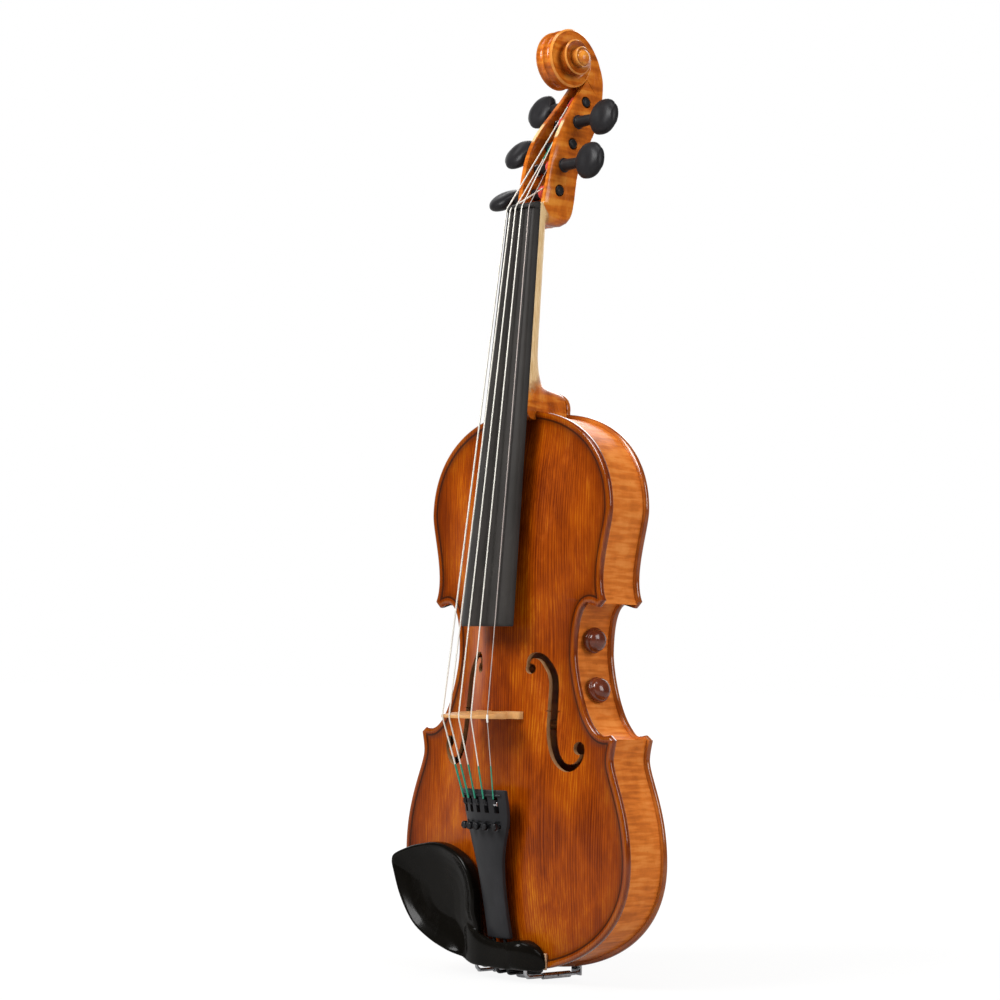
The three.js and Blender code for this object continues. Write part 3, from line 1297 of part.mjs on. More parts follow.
function endPin() {
  const seat = OVERHANG - GLUE_GAP;
  const tip = OVERHANG - PIN_DROP - PIN_GROOVE_LENGTH;
  const grooveTop = grooveZ + PIN_GROOVE_LENGTH / 2;
  const grooveFoot = grooveZ - PIN_GROOVE_LENGTH / 2;
  const pin = turned([
    [JACK_RADIUS, tip], [PIN_FLANGE_RADIUS, tip], [PIN_FLANGE_RADIUS, grooveFoot],
    [PIN_GROOVE_RADIUS, grooveFoot], [PIN_GROOVE_RADIUS, grooveTop], [PIN_FLANGE_RADIUS, grooveTop],
    [PIN_FLANGE_RADIUS, seat], [PIN_BARREL_RADIUS, seat], [PIN_BARREL_RADIUS, PIN_LENGTH],
    [JACK_RADIUS, PIN_LENGTH], [JACK_RADIUS, tip],
  ], 20, 'z');
  pin.translate(0, PIN_Y, 0);
  return pin;
}

// Controls: a turned knob outside the rib and its potentiometer inside, both square to the rib
function ribSeat(z) {
  const line = halfOutline(CURL_FIRST, CURL_LAST);
  const above = line.findIndex((point) => point.y > z);
  const [low, high] = [line[above - 1], line[above]];
  const at = low.clone().lerp(high, (z - low.y) / (high.y - low.y));
  return { at, lean: Math.atan2(low.x - high.x, high.y - low.y) };
}

// Moves a piece turned about X, with X = 0 on the rib's outer face, to its place on the rib
function seatedOnRib(geometry, z) {
  const { at, lean } = ribSeat(z);
  geometry.translate(-OVERHANG, 0, 0);
  geometry.rotateY(-lean);
  geometry.translate(at.x, CONTROL_Y, at.y);
  return geometry;
}

function controlHole(z) {
  const hole = rod(KNOB_SHAFT_RADIUS + RUNNING_GAP, 4 * POT_DEPTH, 14, 'x');
  hole.translate(-2 * POT_DEPTH, 0, 0);
  return seatedOnRib(hole, z);
}

const knobShares = [[0.86, 0], [1, 0.14], [1, 0.32], [0.86, 0.44], [0.8, 0.62], [0.56, 0.88], [0, 1]];

function controlKnob(z) {
  const base = 4 * RUNNING_GAP;
  const shaftEnd = -RIB_THICKNESS - POT_DEPTH;
  const knob = turned([
    [0, shaftEnd], [KNOB_SHAFT_RADIUS, shaftEnd], [KNOB_SHAFT_RADIUS, base],
    ...knobShares.map(([wide, high]) => [wide * KNOB_RADIUS, base + high * KNOB_HEIGHT]),
  ], 18, 'x');
  return seatedOnRib(knob, z);
}

function potentiometer(z) {
  const face = -RIB_THICKNESS - LINING_THICKNESS - GLUE_GAP;
  const inner = KNOB_SHAFT_RADIUS + RUNNING_GAP;
  const pot = turned([
    [inner, face - POT_DEPTH], [POT_RADIUS, face - POT_DEPTH], [POT_RADIUS, face], [inner, face],
    [inner, face - POT_DEPTH],
  ], 14, 'x');
  return seatedOnRib(pot, z);
}

// Chinrest: a dished plate over the bass side of the lower bout, an arm over the tailpiece and two feet
const bowlShares = [
  [-0.05, 0.0056], [-0.18, 0.0112], [-0.39, 0.0253], [-0.56, 0.042], [-0.714, 0.0674], [-0.838, 0.112],
  [-0.914, 0.16], [-0.93, 0.178], [-0.9, 0.19], [-0.757, 0.205], [-0.647, 0.212], [-0.533, 0.2165],
  [-0.42, 0.2135], [-0.276, 0.197], [-0.19, 0.171], [-0.145, 0.135], [-0.137, 0.095], [-0.12, 0.05],
];
const bowlMiddleShares = [-0.48, 0.112];

function chinrestBowl() {
  const place = ([across, along]) => new THREE.Vector2(across * LOWER_BOUT / 2, along * BODY_LENGTH);
  const sides = 36;
  const loop = new THREE.SplineCurve([...bowlShares, bowlShares[0]].map(place)).getPoints(sides).slice(1);
  const middle = place(bowlMiddleShares);
  const rimDrop = CHINREST_EDGE_INSET / 2;
  const ring = (reach, y) => loop.map((point) => {
    const at = point.clone().lerp(middle, reach);
    return new THREE.Vector3(at.x, y, at.y);
  });
  const rings = [
    ring(0.97, CHINREST_UNDER_Y), ring(0.04, CHINREST_UNDER_Y),
    ring(0, lerp(CHINREST_UNDER_Y, CHINREST_RIM_Y, 0.6)), ring(0.02, CHINREST_RIM_Y + rimDrop / 4),
    ring(0.07, CHINREST_RIM_Y), ring(0.16, CHINREST_RIM_Y + rimDrop),
    ring(0.4, CHINREST_RIM_Y + CHINREST_DISH * 0.8), ring(0.97, CHINREST_RIM_Y + CHINREST_DISH),
  ];
  return loft(rings);
}

const armShares = [[0, 0], [0.3, 0], [0.55, 0.06], [0.78, 0.3], [0.93, 0.62], [1, 1]];

// The arm's front view: narrow over the tailpiece, with a rounded pad that stands on the top
function armFace() {
  const low = CHINREST_EDGE_INSET / 2;
  const high = low + CHINREST_ARM_DEPTH;
  const end = CHINREST_ARM_END_X;
  const quarter = new THREE.EllipseCurve(
    end - CHINREST_CORNER, high - CHINREST_CORNER, CHINREST_CORNER, CHINREST_CORNER, 0, Math.PI / 2);
  return [
    new THREE.Vector2(-CHINREST_ARM_DEPTH, low), new THREE.Vector2(end - CHINREST_SMALL_CORNER, low),
    new THREE.Vector2(end, low + CHINREST_SMALL_CORNER), ...quarter.getPoints(6),
    new THREE.Vector2(-CHINREST_ARM_DEPTH, high - CHINREST_SMALL_CORNER),
  ];
}

function chinrestArm() {
  const startX = -CHINREST_ARM_DEPTH;
  const footY = -GLUE_GAP;
  const top = armShares.map(([across, drop]) => new THREE.Vector2(
    lerp(startX, CHINREST_ARM_END_X, across), lerp(CHINREST_ARM_TOP_Y, footY, drop * 0.72)));
  const under = [
    [CHINREST_ARM_END_X, footY], [CHINREST_FOOT_X, footY],
    [CHINREST_FOOT_X, CHINREST_ARM_UNDER_Y + CHINREST_SMALL_CORNER],
    [CHINREST_FOOT_X - CHINREST_SMALL_CORNER, CHINREST_ARM_UNDER_Y], [startX, CHINREST_ARM_UNDER_Y],
  ].map(([x, y]) => new THREE.Vector2(x, y));
  const bar = plan([...top, ...under], 0, CHINREST_ARM_DEPTH + CHINREST_EDGE_INSET);
  return commonOf(bar, slab(armFace(), CHINREST_ARM_TOP_Y - OVERRUN, PLATE_EDGE));
}

function chinrestFoot() {
  const low = CLAMP_BASS_X - CLAMP_FOOT_WIDTH;
  const high = CLAMP_BASS_X + CLAMP_FOOT_WIDTH / 2;
  const face = rectangle(low, CHINREST_EDGE_INSET, high, CHINREST_EDGE_INSET + CLAMP_FOOT_REACH);
  return slab(face, CHINREST_UNDER_Y - OVERRUN, -GLUE_GAP);
}

function chinrest() {
  const hooks = [CLAMP_TREBLE_X, CLAMP_BASS_X].map((x) => hookRod(x, CLAMP_ROD_RADIUS + GLUE_GAP));
  const blank = joined(chinrestBowl(), chinrestArm(), chinrestFoot());
  return cutBy(blank, shifted(plateBlanks.top, -GLUE_GAP), ...hooks);
}

// Clamp hook: threaded rod that bends from the barrel up into the chinrest's edge
function hookRod(x, radius) {
  const reachY = CHINREST_UNDER_Y;
  const route = [
    [reachY, CHINREST_EDGE_INSET + CLAMP_ROD_RADIUS], [reachY, 0],
    [reachY + HOOK_BEND, CLAMP_Z + HOOK_BEND * 0.3], [reachY + 2 * HOOK_BEND, CLAMP_Z],
    [BARREL_START_Y + BARREL_LENGTH * 0.4, CLAMP_Z],
  ].map(([y, z]) => new THREE.Vector3(x, y, z));
  return cordAlong(route, radius, 8, 11);
}

function clampBarrel(x) {
  const bore = CLAMP_ROD_RADIUS + RUNNING_GAP;
  const ends = BARREL_RADIUS * 0.82;
  const barrel = turned([
    [bore, 0], [ends, 0], [ends, BARREL_RADIUS], [BARREL_RADIUS, BARREL_RADIUS],
    [BARREL_RADIUS, BARREL_LENGTH - BARREL_RADIUS], [ends, BARREL_LENGTH - BARREL_RADIUS],
    [ends, BARREL_LENGTH], [bore, BARREL_LENGTH], [bore, 0],
  ], 12, 'y');
  const keyHole = rod(KEY_HOLE_RADIUS, 4 * BARREL_RADIUS, 8, 'x');
  keyHole.translate(-2 * BARREL_RADIUS, BARREL_LENGTH / 2, 0);
  const drilled = cutBy(barrel, keyHole);
  drilled.translate(x, BARREL_START_Y, CLAMP_Z);
  return drilled;
}

function clampFoot(x) {
  const start = BARREL_START_Y + BARREL_LENGTH * 0.6;
  const plateY = BACK_Y + GLUE_GAP;
  const stem = rod(CLAMP_ROD_RADIUS, plateY + CLAMP_PLATE / 2 - start, 10, 'y');
  stem.translate(x, start, CLAMP_Z);
  const half = CLAMP_FOOT_WIDTH / 2;
  const [low, high] = [CLAMP_Z - CLAMP_ROD_RADIUS, CLAMP_Z + CLAMP_ROD_RADIUS + CLAMP_FOOT_REACH];
  const foot = slab(rectangle(x - half, low, x + half, high), plateY, plateY + CLAMP_PLATE);
  return joined(stem, foot);
}

// Assembly
const violin = new THREE.Group();

function add(name, geometry, finish) {
  geometry.deleteAttribute('normal');
  geometry.deleteAttribute('uv');
  const plain = welded(geometry, WELD_REACH).toNonIndexed();
  plain.computeVertexNormals();
  const mesh = new THREE.Mesh(plain, new THREE.MeshStandardMaterial(finishes[finish]));
  mesh.name = name;
  violin.add(mesh);
}

add('top_plate', topPlate(), 'spruce');
add('back_plate', backPlate(), 'maple');
add('rib_lower', lowerRib(), 'flamed');
for (const [name, side] of [['bass', -1], ['treble', 1]]) {
  add(`rib_middle_${name}`, middleRib(side), 'flamed');
  add(`rib_upper_${name}`, upperRib(side), 'flamed');
  add(`corner_block_lower_${name}`, cornerBlock(side, false), 'inner_wood');
  add(`corner_block_upper_${name}`, cornerBlock(side, true), 'inner_wood');
}
add('neck_block', neckBlock(), 'inner_wood');
add('end_block', endBlock(), 'inner_wood');
add('sound_post', soundPost(), 'inner_wood');
add('bass_bar', bassBar(), 'inner_wood');
add('pickup', pickup(), 'black_metal');
add('neck_and_scroll', neckAndScroll(), 'maple');
add('fingerboard', fingerboard(), 'ebony');
add('nut', nut(), 'ebony');
add('bridge', bridge(), 'bare_maple');
add('saddle', saddle(), 'ebony');
add('tailpiece', tailpiece(), 'tail_composite');
add('tailgut', tailgut(), 'gut');
add('end_pin_jack', endPin(), 'chrome');
for (const peg of pegPlaces) {
  add(`peg_${peg.string}`, pegGeometry(peg), 'ebony');
}
for (const string of strings) {
  add(`string_${string.name}`, stringGeometry(string), 'string_metal');
  add(`tuner_lever_${string.name}`, tunerLever(string.order), 'black_metal');
  add(`tuner_screw_${string.name}`, tunerScrew(string.order), 'black_metal');
  add(`tuner_knob_${string.name}`, tunerKnob(string.order), 'black_metal');
}
add('chinrest', chinrest(), 'gloss_ebony');
for (const [name, x] of [['treble', CLAMP_TREBLE_X], ['bass', CLAMP_BASS_X]]) {
  add(`clamp_hook_${name}`, hookRod(x, CLAMP_ROD_RADIUS), 'chrome');
  add(`clamp_barrel_${name}`, clampBarrel(x), 'chrome');
  add(`clamp_foot_${name}`, clampFoot(x), 'chrome');
}
for (const [name, z] of [['volume', VOLUME_Z], ['tone', TONE_Z]]) {
  add(`${name}_knob`, controlKnob(z), 'knob_wood');
  add(`${name}_potentiometer`, potentiometer(z), 'black_metal');
}

// Set on its lowest point, with the middle of its depth on the origin
const extent = new THREE.Box3().setFromObject(violin);
violin.position.set(0, -(extent.min.y + extent.max.y) / 2, -extent.min.z);

export default violin;
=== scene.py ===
"""Looks of a five-string violin with two controls on its rib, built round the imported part.

Sizes are real ones in millimetres, laid out as the instrument lies: X to the treble side, Y from the
front to the back, Z up from the body's bottom edge. Meshes are stored in metres in the frame's place.
"""

import logging
import math
from dataclasses import dataclass, field
from enum import Enum
from typing import Iterable, Sequence, Union

import bmesh
import bpy
import numpy as np
from mathutils import Matrix, Vector


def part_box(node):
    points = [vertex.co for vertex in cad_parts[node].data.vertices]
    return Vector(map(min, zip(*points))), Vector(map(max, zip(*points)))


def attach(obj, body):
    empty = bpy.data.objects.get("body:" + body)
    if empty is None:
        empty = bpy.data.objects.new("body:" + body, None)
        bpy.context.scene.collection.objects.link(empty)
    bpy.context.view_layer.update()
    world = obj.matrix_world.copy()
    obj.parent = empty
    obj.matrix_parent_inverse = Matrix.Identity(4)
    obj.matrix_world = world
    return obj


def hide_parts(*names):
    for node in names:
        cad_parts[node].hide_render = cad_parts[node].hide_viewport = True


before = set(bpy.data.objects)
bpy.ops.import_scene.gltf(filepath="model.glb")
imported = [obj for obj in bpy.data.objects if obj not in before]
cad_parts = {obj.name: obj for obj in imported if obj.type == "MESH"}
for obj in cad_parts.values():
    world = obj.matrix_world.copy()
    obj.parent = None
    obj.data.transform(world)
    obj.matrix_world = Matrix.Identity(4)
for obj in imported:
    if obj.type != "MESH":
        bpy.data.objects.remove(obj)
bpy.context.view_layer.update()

LOG = logging.getLogger("violin")
MM = 0.001
PLATE_EDGE = 3.8
SHIFT = np.array([0.0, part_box("rib_lower")[0][1] / MM - PLATE_EDGE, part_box("back_plate")[0][2] / MM])
INSTRUMENT = "instrument"
Mesh = bpy.types.Object
Socket = bpy.types.NodeSocket
Array = np.ndarray
Numbers = Union[float, Array]
Points = Sequence[Sequence[float]]
Feed = Union[Socket, float, Sequence[float], None]
Colour = tuple[int, int, int]


# ---- small geometry helpers

def lerp(low: Numbers, high: Numbers, share: Numbers) -> Numbers:
    """Returns the value that lies the given share of the way from low to high."""
    return low + (high - low) * share


def smooth(low: float, high: float, value: Numbers) -> Numbers:
    """Returns a soft step from 0 at low to 1 at high."""
    t = np.clip((np.asarray(value, float) - low) / (high - low), 0, 1)
    return t * t * (3 - 2 * t)


def sagitta(half: Numbers, radius: float) -> Numbers:
    """Returns how far an arc of that radius drops at that distance from its crown."""
    return radius - np.sqrt(np.maximum(radius ** 2 - np.asarray(half, float) ** 2, 0))


def bezier(points: Points, steps: int) -> Array:
    """Returns steps + 1 points of one cubic curve."""
    t = np.linspace(0, 1, steps + 1)[:, None]
    a, b, c, d = (np.array(p, float) for p in points)
    return (1 - t) ** 3 * a + 3 * (1 - t) ** 2 * t * b + 3 * (1 - t) * t ** 2 * c + t ** 3 * d


def spline_at(points: Points, places: Numbers, closed: bool = False) -> Array:
    """Reads points off a smooth curve.

    Args:
        points: The points that the curve passes.
        places: Where to read it, counted in its given points.
        closed: Whether the curve returns to its first point.

    Returns:
        An array with one point for each place.
    """
    pts = np.array(points, float)
    count = len(pts)
    spans = count if closed else count - 1
    out = []
    for u in np.atleast_1d(places):
        k = min(max(int(u), 0), spans - 1)
        t = u - k
        p0, p1, p2, p3 = (pts[(k + i) % count if closed else min(max(k + i, 0), count - 1)] for i in range(-1, 3))
        out.append((2 * t ** 3 - 3 * t ** 2 + 1) * p1 + (t ** 3 - 2 * t ** 2 + t) * (p2 - p0) / 2
                   + (3 * t ** 2 - 2 * t ** 3) * p2 + (t ** 3 - t ** 2) * (p3 - p1) / 2)
    return np.array(out)


def spline(points: Points, count: int, closed: bool = False) -> Array:
    """Returns count points spread over the spans of a smooth curve."""
    spans = len(points) if closed else len(points) - 1
    return spline_at(points, np.linspace(0, spans, count, endpoint=not closed), closed)


def smooth_table(rows: Sequence[tuple[float, float]], place: float) -> float:
    """Returns a smooth curve's value at a place, from rows of place and value."""
    spots = np.array(rows, float)
    return float(spline_at(spots[:, 1:], np.interp(place, spots[:, 0], np.arange(len(spots))))[0, 0])


def run_along(line: Array) -> Array:
    """Returns the length run so far at each point of a line of straight spans."""
    return np.concatenate([[0], np.cumsum(np.linalg.norm(np.diff(line, axis=0), axis=1))])


def columns(*parts: Numbers) -> Array:
    """Returns points as rows, from their places along each axis; a single number serves for all."""
    return np.stack(np.broadcast_arrays(*parts), axis=1)


def flow(line: Array) -> Array:
    """Returns a line's direction at each of its points."""
    along = np.gradient(line, axis=0)
    return along / np.linalg.norm(along, axis=1)[:, None]


def crowd(half: float, count: int) -> Array:
    """Returns places from -half to half that stand closer together at both ends."""
    return half * np.sin(np.linspace(-np.pi / 2, np.pi / 2, count))


def circle(count: int) -> Array:
    """Returns the angles of that many points round a circle."""
    return 2 * np.pi * np.arange(count) / count


def resample(line: Array, count: int) -> Array:
    """Returns count points spread evenly along a line of straight spans."""
    along = run_along(line)
    want = np.linspace(0, along[-1], count)
    return np.stack([np.interp(want, along, line[:, k]) for k in range(line.shape[1])], axis=1)


def offset(line: Array, distance: float) -> Array:
    """Returns a flat line moved sideways, to the left of the way it runs."""
    along = flow(line)
    return line + distance * columns(-along[:, 1], along[:, 0])


def stretched(line: Array, length: float) -> Array:
    """Returns a line run on straight at both ends."""
    first = line[0] - line[1]
    last = line[-1] - line[-2]
    return np.vstack(
        [line[0] + first / np.linalg.norm(first) * length, line, line[-1] + last / np.linalg.norm(last) * length])


def trimmed(first: Array, second: Array) -> tuple[Array, Array]:
    """Ends one flat line and starts the next where they cross.

    Args:
        first: The line that ends at the crossing.
        second: The line that starts there.

    Returns:
        Both lines, sharing the crossing point.
    """
    for i in range(len(first) - 2, -1, -1):
        p, r = first[i], first[i + 1] - first[i]
        for j in range(len(second) - 1):
            q, s = second[j], second[j + 1] - second[j]
            turn = r[0] * s[1] - r[1] * s[0]
            if abs(turn) < 1e-12:
                continue
            w = q - p
            t, u = (w[0] * s[1] - w[1] * s[0]) / turn, (w[0] * r[1] - w[1] * r[0]) / turn
            if 0 <= t <= 1 and 0 <= u <= 1:
                at = p + t * r
                return np.vstack([first[:i + 1], at]), np.vstack([at, second[j + 1:]])
    return first, second


def distance_to_line(points: Array, line: Array) -> Array:
    """Measures how far flat points lie from a closed line of straight spans.

    Args:
        points: The points.
        line: The line's corners.

    Returns:
        Each point's distance.
    """
    start, span = line, np.roll(line, -1, axis=0) - line
    size = np.maximum((span ** 2).sum(1), 1e-12)
    out = np.empty(len(points))
    for i in range(0, len(points), 2000):
        rel = points[i:i + 2000, None, :] - start[None]
        t = np.clip((rel * span).sum(2) / size, 0, 1)
        out[i:i + 2000] = np.sqrt(((rel - t[..., None] * span) ** 2).sum(2)).min(1)
    return out


# ---- meshes

class Cap(Enum):
    """How the end of a loft is closed."""

    FAN = "fan round the middle"
    STRIP = "strips between the two faces"
    NONE = "left to meet the other end"


def added(name: str, data: bpy.types.ID) -> Mesh:
    """Returns a new object in the scene that shows a mesh, a camera or a lamp."""
    made = bpy.data.objects.new(name, data)
    bpy.context.scene.collection.objects.link(made)
    return made


def select_only(piece: Mesh) -> None:
    """Leaves one object selected and active."""
    bpy.ops.object.select_all(action="DESELECT")
    piece.select_set(True)
    bpy.context.view_layer.objects.active = piece


def edit(piece: Mesh) -> None:
    """Opens a mesh for editing, with all of it selected."""
    select_only(piece)
    bpy.ops.object.mode_set(mode="EDIT")
    bpy.ops.mesh.select_all(action="SELECT")


def add_mesh(name: str, points: Array, faces: Sequence[Sequence[int]],
             values: dict[str, Array] | None = None) -> Mesh:
    """Adds a mesh object at the origin, with its doubles merged and its faces turned out.

    Args:
        name: The object's name.
        points: Corner points in instrument millimetres.
        faces: Corner numbers of each face.
        values: Values that the materials read, one number for each point.

    Returns:
        The new object.
    """
    mesh = bpy.data.meshes.new(name)
    mesh.from_pydata(((np.asarray(points, float) + SHIFT) * MM).tolist(), [], [list(f) for f in faces])
    for key, data in (values or {}).items():
        mesh.attributes.new(key, "FLOAT", "POINT").data.foreach_set("value", np.asarray(data, np.float32))
    piece = added(name, mesh)
    clean(piece)
    return piece


def clean(piece: Mesh, reach: float = 0.002) -> None:
    """Merges a mesh's doubles, drops what shrinks to a line and turns its faces out.

    Args:
        piece: The mesh.
        reach: Points nearer than this many millimetres are merged.
    """
    work = bmesh.new()
    work.from_mesh(piece.data)
    bmesh.ops.remove_doubles(work, verts=work.verts, dist=reach * MM)
    bmesh.ops.dissolve_degenerate(work, edges=work.edges, dist=reach * MM / 4)
    bmesh.ops.recalc_face_normals(work, faces=work.faces)
    work.to_mesh(piece.data)
    work.free()


def loft(name: str, rings: Sequence[Array], cap: Cap = Cap.FAN,
         values: dict[str, Array] | None = None, split: int = -1) -> Mesh:
    """Skins rings that have the same number of points.

    Args:
        name: The object's name.
        rings: Rings of points, in order.
        cap: How both ends are closed.
        values: Values for the materials, one for each point of each ring.
        split: The ring that isn't skinned to the next, where both close upon themselves.

    Returns:
        The new closed mesh.
    """
    rings = np.array(rings, float)
    rows, count = rings.shape[:2]
    points = rings.reshape(-1, 3)
    ring = np.arange(count)
    following = (ring + 1) % count
    last = rows if cap is Cap.NONE else rows - 1
    faces = []
    for k in range(last):
        if k == split:
            continue
        here, above = k * count, ((k + 1) % rows) * count
        faces += np.stack([here + ring, here + following, above + following, above + ring], axis=1).tolist()
    base = (rows - 1) * count
    if cap is Cap.FAN:
        middles = [rings[0].mean(0), rings[-1].mean(0)]
        first = rows * count
        points = np.vstack([points, middles])
        faces += [[first, b, a] for a, b in zip(ring, following)]
        faces += [[first + 1, base + a, base + b] for a, b in zip(ring, following)]
        if values:
            values = {key: np.append(v, [v[:count].mean(), v[-count:].mean()]) for key, v in values.items()}
    if cap is Cap.STRIP:
        for i in range(count // 2 - 1):
            near, far = i + 1, count - 1 - i
            faces.append([i, far, far - 1, near] if far - 1 != near else [i, far, near])
            faces.append([base + c for c in ([i, near, far - 1, far] if far - 1 != near else [i, near, far])])
    return add_mesh(name, points, faces, values)


def tube(name: str, path: Array, radius: Numbers, sides: int = 12, extra: bool = False) -> Mesh:
    """Carries a round section along a path.

    Args:
        name: The object's name.
        path: Points of the way, in millimetres.
        radius: One radius, or one for each point.
        sides: How many sides the section has.
        extra: Whether to store the length run so far, for the materials.

    Returns:
        The new closed mesh.
    """
    path = np.array(path, float)
    radii = np.broadcast_to(np.asarray(radius, float), (len(path),))
    along = flow(path)
    side = np.cross(along[0], (1.0, 0.0, 0.0))
    if np.linalg.norm(side) < 0.1:
        side = np.cross(along[0], (0.0, 1.0, 0.0))
    angles = circle(sides)
    rings = []
    for at, way, size in zip(path, along, radii):
        side = side - way * side.dot(way)
        side /= np.linalg.norm(side)
        other = np.cross(way, side)
        rings.append(at + size * (np.cos(angles)[:, None] * side + np.sin(angles)[:, None] * other))
    return loft(name, rings, Cap.FAN, {"run": np.repeat(run_along(path), sides)} if extra else None)


def turned(name: str, profile: Points, steps: int = 48) -> Mesh:
    """Spins a profile round the Z axis, as on a lathe.

    Args:
        name: The object's name.
        profile: Radius and height of each point in millimetres, from one pole to the other.
        steps: How many steps go round.

    Returns:
        The new mesh, with its axis on the origin's Z, before it is placed.
    """
    mesh = bpy.data.meshes.new(name)
    verts = [(r * MM, 0.0, h * MM) for r, h in profile]
    mesh.from_pydata(verts, [(i, i + 1) for i in range(len(verts) - 1)], [])
    piece = added(name, mesh)
    edit(piece)
    bpy.ops.mesh.spin(steps=steps, angle=2 * math.pi, center=(0, 0, 0), axis=(0, 0, 1))
    bpy.ops.mesh.select_all(action="SELECT")
    bpy.ops.mesh.remove_doubles(threshold=0.000002)
    bpy.ops.mesh.normals_make_consistent(inside=False)
    bpy.ops.object.mode_set(mode="OBJECT")
    return piece


def drill(radius: float, reach: float, at: Sequence[float], axis: Sequence[float], steps: int = 32) -> Mesh:
    """Returns a round cutter that stands out by its reach on both sides of a place."""
    return place(turned("drill", [(0, -reach), (radius, -reach), (radius, reach), (0, reach)], steps), at, axis)


def rounded(points: Points, reach: float, steps: int = 4) -> list[tuple[float, float]]:
    """Rounds the inner corners of an open profile.

    Args:
        points: The profile's corners.
        reach: How far from each corner the rounding starts, at most.
        steps: Points on each rounding.

    Returns:
        The profile with its corners rounded.
    """
    pts = [np.array(p, float) for p in points]
    out = [tuple(pts[0])]
    for before, at, after in zip(pts, pts[1:], pts[2:]):
        a, b = before - at, after - at
        size = min(reach, 0.45 * np.linalg.norm(a), 0.45 * np.linalg.norm(b))
        start, end = at + a / np.linalg.norm(a) * size, at + b / np.linalg.norm(b) * size
        for t in np.linspace(0, 1, steps + 1):
            out.append(tuple((1 - t) ** 2 * start + 2 * (1 - t) * t * at + t ** 2 * end))
    out.append(tuple(pts[-1]))
    return out


def place(piece: Mesh, at: Sequence[float], axis: Sequence[float] = (0, 0, 1), turn: float = 0.0) -> Mesh:
    """Turns a mesh's Z axis to a direction and moves it to its place in the instrument.

    Args:
        piece: The object, whose mesh lies round the origin.
        at: Its place in instrument millimetres.
        axis: The direction that its Z axis takes.
        turn: How far it is turned about its own axis first.

    Returns:
        The same object.
    """
    way = Vector(axis).normalized()
    turned_to = way.to_track_quat("Z", "Y").to_matrix().to_4x4()
    move = Matrix.Translation(Vector((np.asarray(at, float) + SHIFT) * MM))
    piece.data.transform(move @ turned_to @ Matrix.Rotation(turn, 4, "Z"))
    piece.data.update()
    return piece


def block(name: str, low: Sequence[float], high: Sequence[float], round_edge: float = 0.4) -> Mesh:
    """Adds a box with bevelled edges.

    Args:
        name: The object's name.
        low: Its lowest corner in millimetres.
        high: Its highest corner.
        round_edge: Width of the bevel.

    Returns:
        The new object.
    """
    low, high = np.asarray(low, float) + SHIFT, np.asarray(high, float) + SHIFT
    bpy.ops.object.select_all(action="DESELECT")
    bpy.ops.mesh.primitive_cube_add(size=1.0)
    piece = bpy.context.object
    piece.name = piece.data.name = name
    piece.data.transform(
        Matrix.Translation(Vector((low + high) / 2 * MM)) @ Matrix.Diagonal((*((high - low) * MM), 1.0)))
    edit(piece)
    bpy.ops.mesh.bevel(offset=round_edge * MM, segments=3, affect="EDGES")
    bpy.ops.object.mode_set(mode="OBJECT")
    return piece


def change(piece: Mesh, kind: str, **settings: object) -> None:
    """Adds a modifier to a mesh with its settings and applies it."""
    made = piece.modifiers.new("change", kind)
    for key, value in settings.items():
        setattr(made, key, value)
    select_only(piece)
    bpy.ops.object.modifier_apply(modifier=made.name)


def carve(piece: Mesh, tools: Iterable[Mesh], operation: str = "DIFFERENCE") -> Mesh:
    """Cuts tools out of a mesh, or joins them to it, and removes them.

    Args:
        piece: The mesh that stays.
        tools: The meshes that cut or join it.
        operation: DIFFERENCE, UNION or INTERSECT.

    Returns:
        The changed mesh.
    """
    for tool in tools:
        change(piece, "BOOLEAN", operation=operation, object=tool, solver="EXACT", material_mode="TRANSFER")
        bpy.data.objects.remove(tool, do_unlink=True)
    clean(piece, 0.001)
    return piece


def merged(name: str, pieces: Sequence[Mesh]) -> Mesh:
    """Joins objects into one, each part of it staying closed by itself."""
    select_only(pieces[0])
    for piece in pieces:
        piece.select_set(True)
    bpy.ops.object.join()
    pieces[0].name = pieces[0].data.name = name
    return pieces[0]


def blended(piece: Mesh, grain: float, rounds: int) -> Mesh:
    """Melts the overlapping parts of a mesh into one smooth skin.

    Args:
        piece: The mesh.
        grain: Size of the new faces.
        rounds: How often the skin is smoothed.

    Returns:
        The same mesh.
    """
    change(piece, "REMESH", mode="VOXEL", voxel_size=grain * MM, adaptivity=0.0)
    change(piece, "SMOOTH", factor=0.5, iterations=rounds)
    return piece


def local(piece: Mesh) -> Array:
    """Returns a mesh's points in instrument millimetres."""
    data = np.empty(len(piece.data.vertices) * 3)
    piece.data.vertices.foreach_get("co", data)
    return data.reshape(-1, 3) / MM - SHIFT


def store(piece: Mesh, points: Array) -> None:
    """Puts changed points, in instrument millimetres, back into a mesh."""
    piece.data.vertices.foreach_set("co", ((points + SHIFT) * MM).ravel())
    piece.data.update()


def note(piece: Mesh, key: str, data: Array) -> None:
    """Stores one value for each point of a finished mesh, for its material."""
    layer = piece.data.attributes.get(key) or piece.data.attributes.new(key, "FLOAT", "POINT")
    layer.data.foreach_set("value", np.asarray(data, np.float32))


